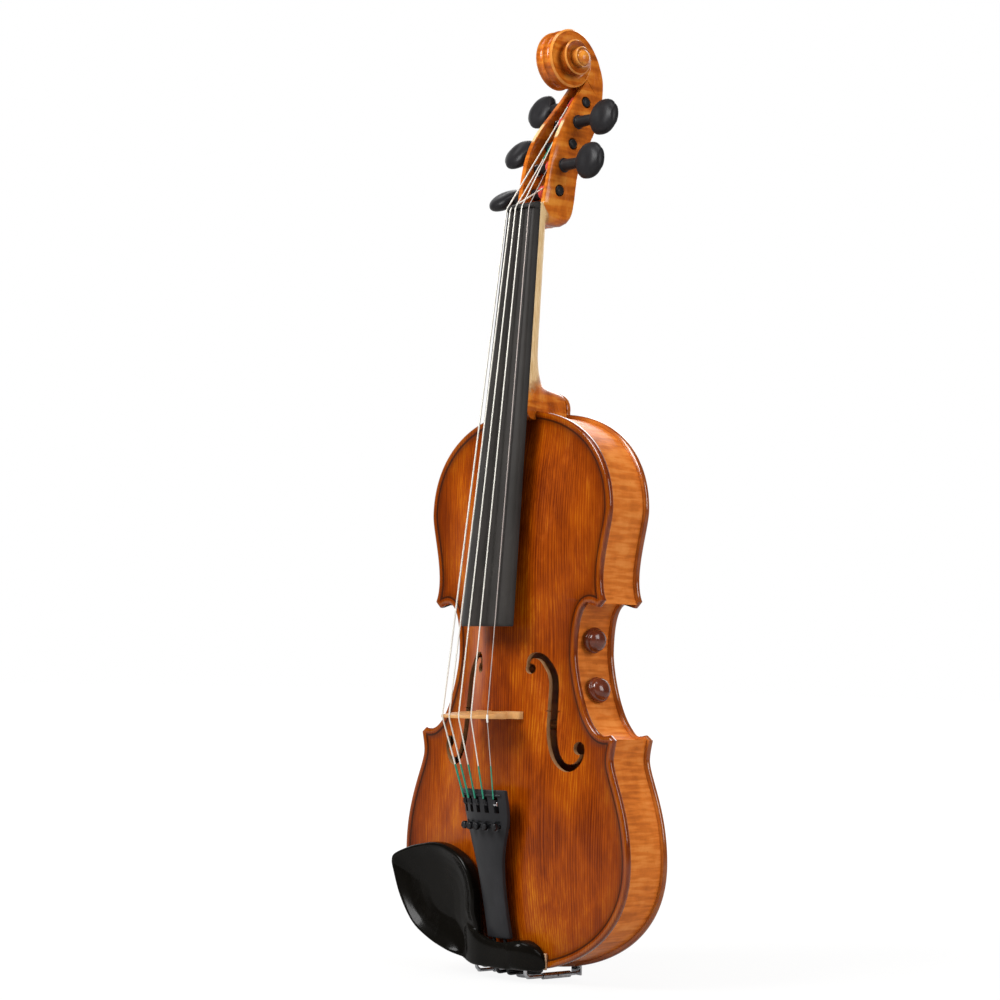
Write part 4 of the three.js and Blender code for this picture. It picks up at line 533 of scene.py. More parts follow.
def dress(piece: Mesh, look: "Finish", body: str = INSTRUMENT, nodes: Sequence[str] = (),
          angle: float = 35.0, keep: bool = False) -> Mesh:
    """Gives a finished piece its material, smoothing and body, hides the CAD nodes that it stands for and logs it.

    Args:
        piece: The finished mesh.
        look: The finish that it takes.
        body: The CAD body that it moves with.
        nodes: CAD nodes that it stands for.
        angle: Edges sharper than this many degrees stay sharp.
        keep: Whether the materials already on it stay, behind the new first one.

    Returns:
        The same object.
    """
    if not keep:
        piece.data.materials.clear()
    if not piece.data.materials:
        piece.data.materials.append(look.material())
    select_only(piece)
    bpy.ops.object.shade_smooth_by_angle(angle=math.radians(angle))
    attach(piece, body)
    if nodes:
        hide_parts(*nodes)
    LOG.info("%s rides on %s with %d faces", piece.name, body, len(piece.data.polygons))
    return piece


# ---- materials

def linear(colour: Colour) -> tuple[float, float, float, float]:
    """Turns a colour as read from a picture into Blender's linear values."""
    def channel(value: float) -> float:
        """Turns one channel of 0 to 255 into a linear value."""
        v = value / 255
        return v / 12.92 if v <= 0.04045 else ((v + 0.055) / 1.055) ** 2.4
    return (*(channel(c) for c in colour), 1.0)


class Wiring:
    """Adds and links the nodes of one material or node group."""

    def __init__(self, tree: bpy.types.NodeTree) -> None:
        """Starts on an empty tree."""
        self.tree = tree
        tree.nodes.clear()

    def put(self, socket: Socket, value: Feed) -> None:
        """Links a socket's value, or sets it where it is a constant."""
        if isinstance(value, Socket):
            self.tree.links.new(value, socket)
        elif value is not None:
            socket.default_value = value

    def node(self, kind: str, inputs: dict | None = None, **settings: object) -> bpy.types.Node:
        """Adds a node, sets its options and fills its inputs.

        Args:
            kind: The node's type name.
            inputs: Values or sockets by input name or number.
            **settings: Options of the node.

        Returns:
            The new node.
        """
        made = self.tree.nodes.new(kind)
        made.location = (200 * (len(self.tree.nodes) % 12), -200 * (len(self.tree.nodes) // 12))
        for key, value in settings.items():
            setattr(made, key, value)
        for key, value in (inputs or {}).items():
            self.put(made.inputs[key], value)
        return made

    def math(self, operation: str, a: Feed, b: Feed = None, clamp: bool = False) -> Socket:
        """Returns the result of a sum on one or two values."""
        return self.node("ShaderNodeMath", {0: a, 1: b}, operation=operation, use_clamp=clamp).outputs[0]

    def times(self, a: Feed, b: Feed) -> Socket:
        """Returns the product of two values."""
        return self.math("MULTIPLY", a, b)

    def minus(self, a: Feed, b: Feed, clamp: bool = False) -> Socket:
        """Returns the difference of two values."""
        return self.math("SUBTRACT", a, b, clamp)

    def total(self, *parts: tuple, clamp: bool = False) -> Socket:
        """Returns the sum of some values, each given with its weight."""
        out = self.times(*parts[0])
        for part in parts[1:]:
            out = self.math("ADD", out, self.times(*part), clamp and part is parts[-1])
        return out

    def stored(self, name: str) -> Socket:
        """Returns the number that the mesh stores at its points under a name."""
        return self.node("ShaderNodeAttribute", attribute_name=name).outputs["Fac"]

    def split(self, vector: Socket) -> Sequence[Socket]:
        """Returns a vector's three parts."""
        return self.node("ShaderNodeSeparateXYZ", {0: vector}).outputs

    def length(self, vector: Socket) -> Socket:
        """Returns a vector's length."""
        return self.node("ShaderNodeVectorMath", {0: vector}, operation="LENGTH").outputs["Value"]

    def shrunk(self, vector: Socket, size: Feed) -> Socket:
        """Returns a vector divided by a size."""
        inverse = self.math("DIVIDE", 1.0, size)
        return self.node("ShaderNodeVectorMath", {0: vector, 3: inverse}, operation="SCALE").outputs[0]

    def scaled(self, vector: Socket, factors: Sequence[float], shift: Sequence[float] = (0, 0, 0)) -> Socket:
        """Returns a vector scaled along each axis and then moved."""
        return self.node("ShaderNodeMapping", {"Vector": vector, "Scale": factors, "Location": shift}).outputs[0]

    def noise(self, vector: Socket, scale: float = 1.0, detail: float = 3.0, rough: float = 0.55) -> Socket:
        """Returns soft noise with the given number of waves to the unit."""
        return self.node("ShaderNodeTexNoise", {
            "Vector": vector, "Scale": scale, "Detail": detail, "Roughness": rough}).outputs[0]

    def span(self, value: Feed, low: float, high: float, to_low: float = 0.0, to_high: float = 1.0) -> Socket:
        """Returns a value stretched from one range to another, and held inside it."""
        return self.node("ShaderNodeMapRange", {
            0: value, 1: low, 2: high, 3: to_low, 4: to_high}, interpolation_type="SMOOTHSTEP").outputs[0]

    def band(self, value: Feed, *edges: float) -> Socket:
        """Returns a mask that rises over the first two edges and falls over the last two."""
        return self.times(self.span(value, *edges[:2]), self.span(value, *edges[2:]))

    def blend(self, share: Feed, first: Feed, second: Feed) -> Socket:
        """Returns a mix of two colours."""
        return self.node("ShaderNodeMix", {0: share, 6: first, 7: second}, data_type="RGBA").outputs[2]

    def tint(self, colour: Feed, share: Feed, weight: float, tint: Colour) -> Socket:
        """Returns a colour with a share of another, times a weight, laid over it."""
        return self.blend(self.times(share, weight), colour, linear(tint))

    def ramp(self, value: Feed, stops: Sequence[tuple[float, Colour]]) -> Socket:
        """Adds a colour ramp.

        Args:
            value: What it reads.
            stops: Place and colour of each of its stops.

        Returns:
            Its colour.
        """
        made = self.node("ShaderNodeValToRGB", {0: value})
        band = made.color_ramp
        while len(band.elements) < len(stops):
            band.elements.new(0.5)
        for element, (at, colour) in zip(band.elements, stops):
            element.position = at
            element.color = linear(colour)
        return made.outputs[0]

    def group(self, name: str, **inputs: Feed) -> bpy.types.bpy_prop_collection:
        """Places a shared node group with its own values and returns its outputs."""
        return self.node("ShaderNodeGroup", inputs, node_tree=GROUPS[name]).outputs


def new_material(name: str) -> tuple[bpy.types.Material, Wiring]:
    """Returns a new material with the wiring of its empty tree."""
    made = bpy.data.materials.new(name)
    made.use_nodes = True
    return made, Wiring(made.node_tree)


def new_group(name: str, values: dict[str, float], outputs: Sequence[str]) -> tuple:
    """Starts a shader node group that takes a place and some values.

    Args:
        name: The group's name.
        values: Its inputs and what they are by default.
        outputs: Names of its value outputs.

    Returns:
        The wiring, the sockets that come in and the sockets that go out.
    """
    tree = bpy.data.node_groups.new(name, "ShaderNodeTree")
    tree.interface.new_socket(name="Place", in_out="INPUT", socket_type="NodeSocketVector")
    for key, value in values.items():
        socket = tree.interface.new_socket(name=key, in_out="INPUT", socket_type="NodeSocketFloat")
        socket.default_value = value
    for key in outputs:
        tree.interface.new_socket(name=key, in_out="OUTPUT", socket_type="NodeSocketFloat")
    w = Wiring(tree)
    return w, w.node("NodeGroupInput").outputs, w.node("NodeGroupOutput").inputs


def grain_group() -> bpy.types.NodeTree:
    """Returns the group for straight annual rings: lines across X that run along Z."""
    w, given, out = new_group("annual_rings", {"Period": 1.1, "Wander": 2.0}, ("Line", "Streak"))
    slow = w.noise(w.scaled(given["Place"], (0.03, 0.03, 0.006)), 1.0, 2.0)
    across = w.math("ADD", w.split(given["Place"])[0], w.times(slow, given["Wander"]))
    spread = w.noise(w.node("ShaderNodeCombineXYZ", {0: w.times(across, 0.16)}).outputs[0])
    saw = w.math("FRACT", w.math("ADD", w.math("DIVIDE", across, given["Period"]), w.times(spread, 3.0)))
    fine = w.noise(w.scaled(given["Place"], (2.6, 1.0, 0.05)), 1.0, 4.0, 0.65)
    w.put(out["Line"], w.times(w.band(saw, 0.35, 0.9, 1.0, 0.92), w.span(fine, 0.3, 0.62, 0.25, 1.0)))
    w.put(out["Streak"], fine)
    return w.tree


def flame_group() -> bpy.types.NodeTree:
    """Returns the group for flame: soft stripes across the way Z that bend and fade."""
    w, given, out = new_group("maple_flame", {"Period": 7.0}, ("Stripe", "Fleck"))
    sized = w.shrunk(given["Place"], given["Period"])
    bands = w.noise(w.scaled(sized, (0.12, 0.12, 1.0)), 1.0, 2.0, 0.5)
    cross = w.noise(w.scaled(sized, (0.3, 0.3, 0.55)), 1.0, 2.0, 0.5)
    w.put(out["Stripe"], w.total((w.span(bands, 0.36, 0.64), 0.75), (w.span(cross, 0.35, 0.65), 0.25)))
    w.put(out["Fleck"], w.noise(w.scaled(given["Place"], (1.6, 1.6, 0.3)), 1.0, 4.0, 0.7))
    return w.tree


def patina_group() -> bpy.types.NodeTree:
    """Returns the group for uneven varnish: large patches, small specks and worn streaks."""
    w, given, out = new_group("varnish_patina", {"Size": 30.0}, ("Patch", "Speck", "Rub"))
    sized = w.shrunk(given["Place"], given["Size"])
    rub = w.noise(w.scaled(sized, (2.2, 2.2, 1.1), (7.0, 3.0, 5.0)), 1.0, 5.0, 0.7)
    w.put(out["Patch"], w.span(w.noise(w.scaled(sized, (1.4, 1.4, 0.6)), 1.0, 3.0, 0.6), 0.3, 0.7))
    w.put(out["Speck"], w.span(w.noise(given["Place"], 0.9, 2.0, 0.6), 0.62, 0.78))
    w.put(out["Rub"], w.span(rub, 0.5, 0.72))
    return w.tree


def relief_group() -> bpy.types.NodeTree:
    """Returns the group for a surface's fine relief: pores along Z."""
    w, given, out = new_group("fine_relief", {"Pore": 1.0}, ("Pores",))
    sized = w.shrunk(given["Place"], given["Pore"])
    w.put(out["Pores"], w.noise(w.scaled(sized, (3.0, 3.0, 0.35)), 1.0, 4.0, 0.7))
    return w.tree


class Pattern(Enum):
    """What shows in a surface."""

    SPRUCE = "straight annual rings under varnish"
    MAPLE = "flame under varnish"
    PLAIN_WOOD = "plain wood with pores"
    DARK_WOOD = "dark close wood"
    METAL = "drawn or plated metal"
    THREAD = "wound thread or wire"


class Way(Enum):
    """Which direction of the piece a pattern runs along."""

    UP = "z"
    DEEP = "y"
    RUN = "run"


GROUPS: dict[str, bpy.types.NodeTree] = {}
MADE: dict[str, bpy.types.Material] = {}
SCROLL_EYE = (35.4, 590.8)
BARE_WOOD = ((0.0, (206, 166, 112)), (0.5, (228, 194, 142)), (1.0, (240, 212, 166)))
# the second colour is painted shade for the scroll's hollow; the third is a pale band for its ridges, partly edge wear
# and partly painted highlight
SWEAT, HOLLOW_SHADE, RIDGE_WEAR_AND_HIGHLIGHT = (120, 78, 46), (112, 44, 8), (244, 172, 84)
POOL, INLAY, LIP = (72, 28, 2), (46, 20, 8), (104, 44, 16)
# where masks rise and fall: millimetres from the scroll's eye for the painted shade in its hollow, then from the
# plates' edge
HOLLOW_SHADE_REACH = (15.5, 10.5, 3.5, 5.5)
POOL_REACH = (3.0, 4.2, 9.0, 4.8)
INLAY_REACH = (3.7, 3.95, 5.2, 4.95)
# the crest's band is paler, partly edge wear and partly painted highlight
CREST_WEAR_AND_HIGHLIGHT_REACH = (0.4, 1.2, 3.0, 2.0)


@dataclass(frozen=True)
class Finish:
    """One finish: its colours, its pattern and how it shines.

    Attributes:
        name: The material's name.
        slot: The record's material slot; not used.
        pattern: What shows in the surface.
        dark: Colour of its dark parts.
        middle: Its main colour.
        light: Colour of its light parts.
        roughness: How dull it is.
        coat: How strong its clear coat is.
        metallic: 1 for metal.
        period: Length of its pattern in millimetres.
        bump: Height of its relief in millimetres.
        way: The direction that the pattern runs along.
        size: Size of its uneven patches in millimetres.
        inlaid: Whether the dark border line is let into it.
        shine: Strength of its reflection.
        worn: Whether a stored mask leaves it bare in places, with painted shade in the scroll's hollow and a pale band
            on its ridges, partly edge wear and partly painted highlight.
    """

    name: str
    slot: str
    pattern: Pattern
    dark: Colour
    middle: Colour
    light: Colour
    roughness: float = 0.4
    coat: float = 0.0
    metallic: float = 0.0
    period: float = 1.0
    bump: float = 0.02
    way: Way = Way.UP
    size: float = 30.0
    inlaid: bool = False
    shine: float = 0.5
    worn: bool = False

    def material(self) -> bpy.types.Material:
        """Returns the finish's material, which is made once."""
        if self.name not in MADE:
            MADE[self.name] = self.build()
        return MADE[self.name]

    def place(self, w: Wiring) -> Socket:
        """Returns the surface's place in millimetres, with Z along the pattern's way."""
        at = w.scaled(w.node("ShaderNodeTexCoord").outputs["Object"], (1 / MM,) * 3)
        if self.way is Way.UP:
            return at
        x, y, z = w.split(at)
        order = (x, z, y) if self.way is Way.DEEP else (x, y, w.stored("run"))
        return w.node("ShaderNodeCombineXYZ", dict(enumerate(order))).outputs[0]

    def build(self) -> bpy.types.Material:
        """Builds the material's nodes.

        Returns:
            The new material.
        """
        made, w = new_material(self.name)
        at = self.place(w)
        patina = w.group("patina", Place=at, Size=self.size)
        height = w.group("relief", Place=at, Pore=max(self.period * 0.4, 0.4))["Pores"]
        tone, height = self.tones(w, at, patina["Patch"], patina["Rub"], height)
        colour = w.ramp(tone, ((0.0, self.dark), (0.5, self.middle), (1.0, self.light)))
        rough = w.span(w.total((patina["Rub"], 0.6), (height, 0.4)), 0.1, 0.9,
                       max(self.roughness - 0.06, 0.02), min(self.roughness + 0.1, 1.0))
        if self.pattern in (Pattern.SPRUCE, Pattern.MAPLE):
            colour = w.tint(colour, patina["Speck"], 0.35, self.dark)
        coat = self.coat
        if self.inlaid:
            colour, height, rough, coat = self.border(w, colour, height, rough)
        if self.worn:
            colour, rough, coat = self.bared(w, at, colour, rough)
        shader = w.node("ShaderNodeBsdfPrincipled", {
            "Base Color": colour, "Roughness": rough, "Metallic": self.metallic,
            "Coat Weight": coat, "Coat Roughness": 0.12, "Specular IOR Level": self.shine})
        bump = w.node("ShaderNodeBump", {"Height": height, "Strength": 0.6, "Distance": self.bump * MM})
        w.put(shader.inputs["Normal"], bump.outputs[0])
        w.node("ShaderNodeOutputMaterial", {0: shader.outputs[0]})
        return made

    def tones(self, w: Wiring, at: Socket, patch: Socket, rub: Socket, height: Socket) -> tuple[Socket, Socket]:
        """Works out how light the surface is and its relief.

        Args:
            w: The material's wiring.
            at: The surface's place.
            patch: Mask of large patches.
            rub: Mask of rubbed parts.
            height: Relief of the pores.

        Returns:
            The tone from 0 to 1, and the relief.
        """
        if self.pattern is Pattern.SPRUCE:
            grain = w.group("grain", Place=at, Period=self.period)
            tone = w.total((patch, 0.46), (w.span(grain["Streak"], 0.3, 0.7), 0.42), (rub, 0.2))
            return (
                w.minus(tone, w.times(grain["Line"], 0.34), clamp=True), w.minus(height, w.times(grain["Line"], 0.8)))
        if self.pattern is Pattern.MAPLE:
            flame = w.group("flame", Place=at, Period=self.period)
            return w.total((flame["Stripe"], 0.45), (patch, 0.3), (flame["Fleck"], 0.25), clamp=True), height
        if self.pattern is Pattern.METAL:
            return w.total((patch, 0.6), (height, 0.4)), height
        if self.pattern is Pattern.THREAD:
            turns = w.math("FRACT", w.math("DIVIDE", w.split(at)[2], self.period))
            ridge = w.minus(1.0, w.math("ABSOLUTE", w.minus(w.times(turns, 2.0), 1.0)))
            return w.total((ridge, 0.55), (height, 0.35)), ridge
        share = 0.55 if self.pattern is Pattern.PLAIN_WOOD else 0.35
        return w.total((height, share), (patch, 0.75 - share), (rub, 0.2), clamp=True), height

    def bared(self, w: Wiring, at: Socket, colour: Socket, rough: Socket) -> tuple[Socket, Socket, Socket]:
        """Bares the wood where the stored mask says so, paints shade into the scroll's hollow and lays a pale band on
        its ridges that is partly edge wear and partly painted highlight.

        Args:
            w: The material's wiring.
            at: The surface's place.
            colour: The colour so far.
            rough: The roughness so far.

        Returns:
            The colour, the roughness and the strength of the coat.
        """
        ragged = w.times(w.minus(w.noise(at, 0.35), 0.5), 0.35)
        bare = w.span(w.math("ADD", w.stored("bare"), ragged), 0.3, 0.75)
        covered = w.minus(1.0, bare)
        wood = w.ramp(w.span(w.noise(w.scaled(at, (1.4, 1.4, 0.12)), 1.0, 4.0, 0.65), 0.3, 0.7), BARE_WOOD)
        # painted shade: the scroll's hollow between its turns is darkened by its distance from the eye
        away = w.length(
            w.scaled(at, (0, 1, 1), (0, -float(SHIFT[1]) - SCROLL_EYE[0], -float(SHIFT[2]) - SCROLL_EYE[1])))
        colour = w.tint(colour, w.band(away, *HOLLOW_SHADE_REACH), 0.5, HOLLOW_SHADE)
        # a pale band on the scroll's ridges, partly edge wear and partly painted highlight
        colour = w.tint(colour, w.stored("ridge"), 0.5, RIDGE_WEAR_AND_HIGHLIGHT)
        colour = w.tint(w.blend(bare, colour, wood), w.times(bare, covered), 1.6, SWEAT)
        return colour, w.math("ADD", rough, w.times(bare, 0.22)), w.times(covered, self.coat)

    def border(self, w: Wiring, colour: Socket, height: Socket, rough: Socket) -> tuple[Socket, ...]:
        """Adds the dark inlaid line, the darkening towards the edge and a paler crest, partly edge wear and partly
        painted highlight, from the stored distance to the edge.

        Args:
            w: The material's wiring.
            colour: The colour so far.
            height: The relief so far.
            rough: The roughness so far.

        Returns:
            The colour, relief and roughness with the border, and the strength of the coat.
        """
        edge = w.stored("edge")
        colour = w.tint(colour, w.minus(1.0, w.span(edge, 4.0, 24.0)), 0.5, self.dark)
        colour = w.tint(colour, w.band(edge, *POOL_REACH), 0.5, POOL)
        line = w.band(edge, *INLAY_REACH)
        colour = w.tint(colour, line, 0.8, INLAY)
        # a paler crest along the edge, partly edge wear and partly painted highlight
        colour = w.tint(colour, w.band(edge, *CREST_WEAR_AND_HIGHLIGHT_REACH), 0.12, self.light)
        colour = w.tint(colour, w.span(edge, 0.9, 0.2), 0.5, LIP)
        gloss = w.span(edge, 3.4, 2.2)
        rough = w.times(rough, w.minus(1.0, w.times(gloss, 0.6)))
        return (colour, w.minus(height, w.times(line, 1.5)), rough, w.math("ADD", w.times(gloss, 0.55), self.coat))


SPRUCE = Finish(
    "varnished_spruce", "spruce_top", Pattern.SPRUCE, (98, 32, 0), (162, 70, 1), (206, 122, 14), roughness=0.34,
    coat=0.1, period=1.9, bump=0.03, size=42.0, inlaid=True, shine=0.1)
HOLE_EDGE = Finish(
    "sound_hole_edge", "spruce_top", Pattern.PLAIN_WOOD, (132, 86, 50), (178, 132, 90), (212, 174, 132), roughness=0.6,
    bump=0.03, size=8.0, shine=0.3)
BACK_MAPLE = Finish(
    "varnished_back", "maple_body", Pattern.MAPLE, (138, 62, 14), (198, 106, 34), (228, 146, 60), roughness=0.34,
    coat=0.2, period=9.0, size=40.0, inlaid=True, shine=0.2)
RIB_MAPLE = Finish(
    "flamed_rib", "flamed_ribs", Pattern.MAPLE, (160, 78, 24), (212, 116, 42), (236, 152, 74), roughness=0.42,
    coat=0.04, period=3.0, way=Way.RUN, size=30.0, shine=0.1)
HEAD_MAPLE = Finish(
    "varnished_head", "maple_body", Pattern.MAPLE, (126, 50, 8), (200, 104, 24), (238, 158, 60), roughness=0.26,
    coat=0.25, period=4.2, size=14.0, shine=0.22, worn=True)
INSIDE_WOOD = Finish(
    "inner_wood", "inner_wood", Pattern.PLAIN_WOOD, (170, 128, 80), (214, 176, 120), (232, 200, 150), roughness=0.7,
    period=2.5, bump=0.04)
BRIDGE_MAPLE = Finish(
    "bridge_maple", "bridge_maple", Pattern.PLAIN_WOOD, (176, 120, 66), (214, 160, 100), (232, 186, 128), roughness=0.5,
    period=1.0, bump=0.03, shine=0.3)
BOARD_EBONY = Finish(
    "board_ebony", "ebony", Pattern.DARK_WOOD, (38, 36, 34), (51, 48, 46), (68, 64, 61), roughness=0.5, period=1.2,
    bump=0.02, shine=0.12)
PEG_EBONY = Finish(
    "peg_ebony", "ebony", Pattern.DARK_WOOD, (28, 27, 28), (37, 36, 38), (48, 47, 49), roughness=0.42, period=1.2,
    bump=0.012, shine=0.16)
GLOSS_EBONY = Finish(
    "polished_ebony", "chinrest_gloss", Pattern.DARK_WOOD, (9, 8, 6), (15, 13, 10), (22, 19, 15), roughness=0.26,
    coat=0.09, period=1.0, bump=0.004, shine=0.06)
COMPOSITE = Finish(
    "tail_composite", "tail_composite", Pattern.DARK_WOOD, (38, 38, 40), (46, 46, 48), (56, 56, 59), roughness=0.4,
    period=0.6, bump=0.008, shine=0.14)
BLACK_METAL = Finish(
    "black_metal", "black_metal", Pattern.METAL, (16, 16, 18), (26, 26, 29), (46, 46, 50), roughness=0.2, metallic=0.3,
    period=0.6, bump=0.006, size=6.0)
CHROME = Finish(
    "chrome", "chrome", Pattern.METAL, (176, 178, 182), (206, 208, 212), (228, 230, 234), roughness=0.16, metallic=1.0,
    period=0.8, bump=0.004, size=8.0)
WIRE = Finish(
    "string_wire", "string_metal", Pattern.THREAD, (218, 213, 202), (236, 232, 222), (246, 243, 236), roughness=0.42,
    metallic=0.25, period=0.5, bump=0.004, way=Way.RUN, size=8.0)
STEEL_WIRE = Finish(
    "plain_steel", "string_metal", Pattern.THREAD, (146, 134, 128), (182, 170, 164), (210, 200, 194), roughness=0.4,
    metallic=0.25, period=0.5, bump=0.002, way=Way.RUN, size=8.0, shine=0.3)
GREEN_SILK = Finish(
    "green_silk", "string_metal", Pattern.THREAD, (14, 108, 84), (30, 142, 112), (74, 186, 156), roughness=0.6,
    period=0.7, bump=0.02, way=Way.RUN, size=5.0)
RED_SILK = Finish(
    "red_silk", "string_metal", Pattern.THREAD, (176, 46, 38), (222, 76, 62), (244, 124, 104), roughness=0.6,
    period=0.7, bump=0.02, way=Way.RUN, size=5.0)
WHITE_SLEEVE = Finish(
    "white_sleeve", "string_metal", Pattern.DARK_WOOD, (224, 224, 220), (238, 238, 234), (248, 248, 246), roughness=0.4,
    bump=0.005, size=4.0)
KNOB_WOOD = Finish(
    "knob_wood", "knob_wood", Pattern.PLAIN_WOOD, (62, 24, 12), (104, 46, 26), (140, 72, 44), roughness=0.24, coat=0.4,
    period=2.2, bump=0.01, way=Way.DEEP, size=8.0, shine=0.4)
CORK = Finish(
    "cork", "inner_wood", Pattern.PLAIN_WOOD, (168, 124, 88), (206, 166, 128), (228, 194, 160), roughness=0.85,
    period=0.8, bump=0.1, size=3.0)
CORD_BLACK = Finish(
    "tail_cord", "tail_cord", Pattern.DARK_WOOD, (20, 20, 21), (30, 30, 32), (46, 46, 48), roughness=0.5, period=0.6,
    bump=0.01, size=4.0)


# ---- the body

class Stretch(Enum):
    """The stretches of the body's outline, from the bottom to the top of one half."""

    LOWER = "lower bout"
    LOWER_CURL = "curl from the lower corner to the waist"
    UPPER_CURL = "curl from the waist to the upper corner"
    UPPER = "upper bout"


STRETCHES = (
    (Stretch.LOWER, ((0, 0), (0.458, 0), (1, 0.0603), (1, 0.1994)), (0.16, 0.22)),
    (Stretch.LOWER, ((1, 0.1994), (1, 0.2912), (0.854, 0.3474), (0.844, 0.3778)), (0.22, 0.325)),
    (Stretch.LOWER, ((0.844, 0.3778), (0.841, 0.3874), (0.863, 0.41), (0.867, 0.4143)), (0.325, 0.345)),
    (Stretch.LOWER, ((0.867, 0.4143), (0.854, 0.4171), (0.841, 0.42), (0.8286, 0.4228)), (0.345, 0.36)),
    (Stretch.LOWER_CURL, ((1, 0.4228), (0.358, 0.4025), (0, 0.53), (0, 0.5646)), (0.36, 0.55)),
    (Stretch.UPPER_CURL, ((0, 0.5646), (0, 0.6412), (0.363, 0.6667), (1, 0.6447)), (0.55, 0.695)),
    (Stretch.UPPER, ((0.8935, 0.6447), (0.91, 0.6484), (0.927, 0.6522), (0.9444, 0.6559)), (0.695, 0.705)),
    (Stretch.UPPER, ((0.9444, 0.6559), (0.84, 0.7011), (1, 0.784), (1, 0.8174)), (0.705, 0.8)),
    (Stretch.UPPER, ((1, 0.8174), (1, 0.9219), (0.6237, 1), (0, 1)), (0.8, 0.87)),)


@dataclass(frozen=True)
class Outline:
    """The body's front view and the swell of its plates.

    Attributes:
        length: Body length.
        lower_bout: Width of the lower bout.
        waist: Width of the waist.
        upper_bout: Width of the upper bout.
        spacing: Distance between the points of a fine outline.
        overhang: How far the ribs stand inside the outline.
        rib: Thickness of a rib.
    """

    length: float = 356.0
    lower_bout: float = 210.0
    waist: float = 110.0
    upper_bout: float = 169.0
    spacing: float = 1.8
    overhang: float = 2.8
    rib: float = 1.2

    def across(self, kind: Stretch, share: Array) -> Array:
        """Returns a stretch's distance from the middle line for its shares.

        Args:
            kind: The stretch.
            share: Shares along its own width.

        Returns:
            Millimetres from the middle line.
        """
        if kind is Stretch.LOWER:
            return share * self.lower_bout / 2
        if kind is Stretch.LOWER_CURL:
            return lerp(self.waist / 2, 0.8286 * self.lower_bout / 2, share)
        if kind is Stretch.UPPER_CURL:
            return lerp(self.waist / 2, 0.8935 * self.upper_bout / 2, share)
        return share * self.upper_bout / 2

    def half(self, first: int = 0, last: int = 8) -> Array:
        """Draws stretches of the treble half.

        Args:
            first: The first stretch.
            last: The last stretch.

        Returns:
            Rows of x, z and the spine height that they lean to.
        """
        rows = []
        for kind, shares, spine in STRETCHES[first:last + 1]:
            curve = bezier(shares, 240)
            share = np.linspace(0, 1, len(curve))
            line = columns(self.across(kind, curve[:, 0]), curve[:, 1] * self.length, lerp(*spine, share) * self.length)
            line = resample(line, max(5, round(run_along(line[:, :2])[-1] / self.spacing) + 1))
            rows.append(line[1:] if rows else line)
        return np.vstack(rows)

    def loop(self) -> Array:
        """Returns the whole outline once round, as rows of x, z and spine height."""
        right = self.half()
        left = right[::-1][1:-1] * np.array([-1, 1, 1])
        return np.vstack([right, left])

    def bout_half(self, z: Array) -> Array:
        """Measures the width that the arch spreads over, corners left out.

        Args:
            z: Places along.

        Returns:
            Half the width at each place.
        """
        along = np.asarray(z, float) / self.length
        low, waist, high = 0.1994, 0.5646, 0.8174
        lower, middle, upper = self.lower_bout / 2, self.waist / 2, self.upper_bout / 2
        foot = lower * np.sqrt(np.clip(1 - ((low - along) / low) ** 2, 0, 1))
        head = upper * np.sqrt(np.clip(1 - ((along - high) / (1 - high)) ** 2, 0, 1))
        out = np.where(along <= low, foot, lerp(lower, middle, smooth(low, waist, along)))
        out = np.where(along > waist, lerp(middle, upper, smooth(waist, high, along)), out)
        return np.where(along > high, head, out)

    def arch(self, x: Array, z: Array, height: float) -> Array:
        """Returns how far a plate swells above its channel.

        Args:
            x: Places across.
            z: Places along.
            height: The swell's height over the edge's crest.

        Returns:
            The swell in millimetres.
        """
        middle, border, channel = 0.485, 0.03, 0.9
        along = np.asarray(z, float) / self.length
        half = np.where(along < middle, middle - border, 1 - middle - border)
        lengthwise = 1 - np.clip(np.abs(along - middle) / half, 0, 1) ** 2.6
        width = np.maximum(self.bout_half(z) * 0.93, 8)
        side = np.clip(np.abs(x) / width, 0, 1) ** 1.12
        return (height + channel) * lengthwise * (1 + np.cos(np.pi * side)) / 2

    def inset(self, first: int, last: int, distance: float) -> Array:
        """Returns stretches of the treble half moved inwards, as rows of x and z."""
        return offset(self.half(first, last)[:, :2], distance)


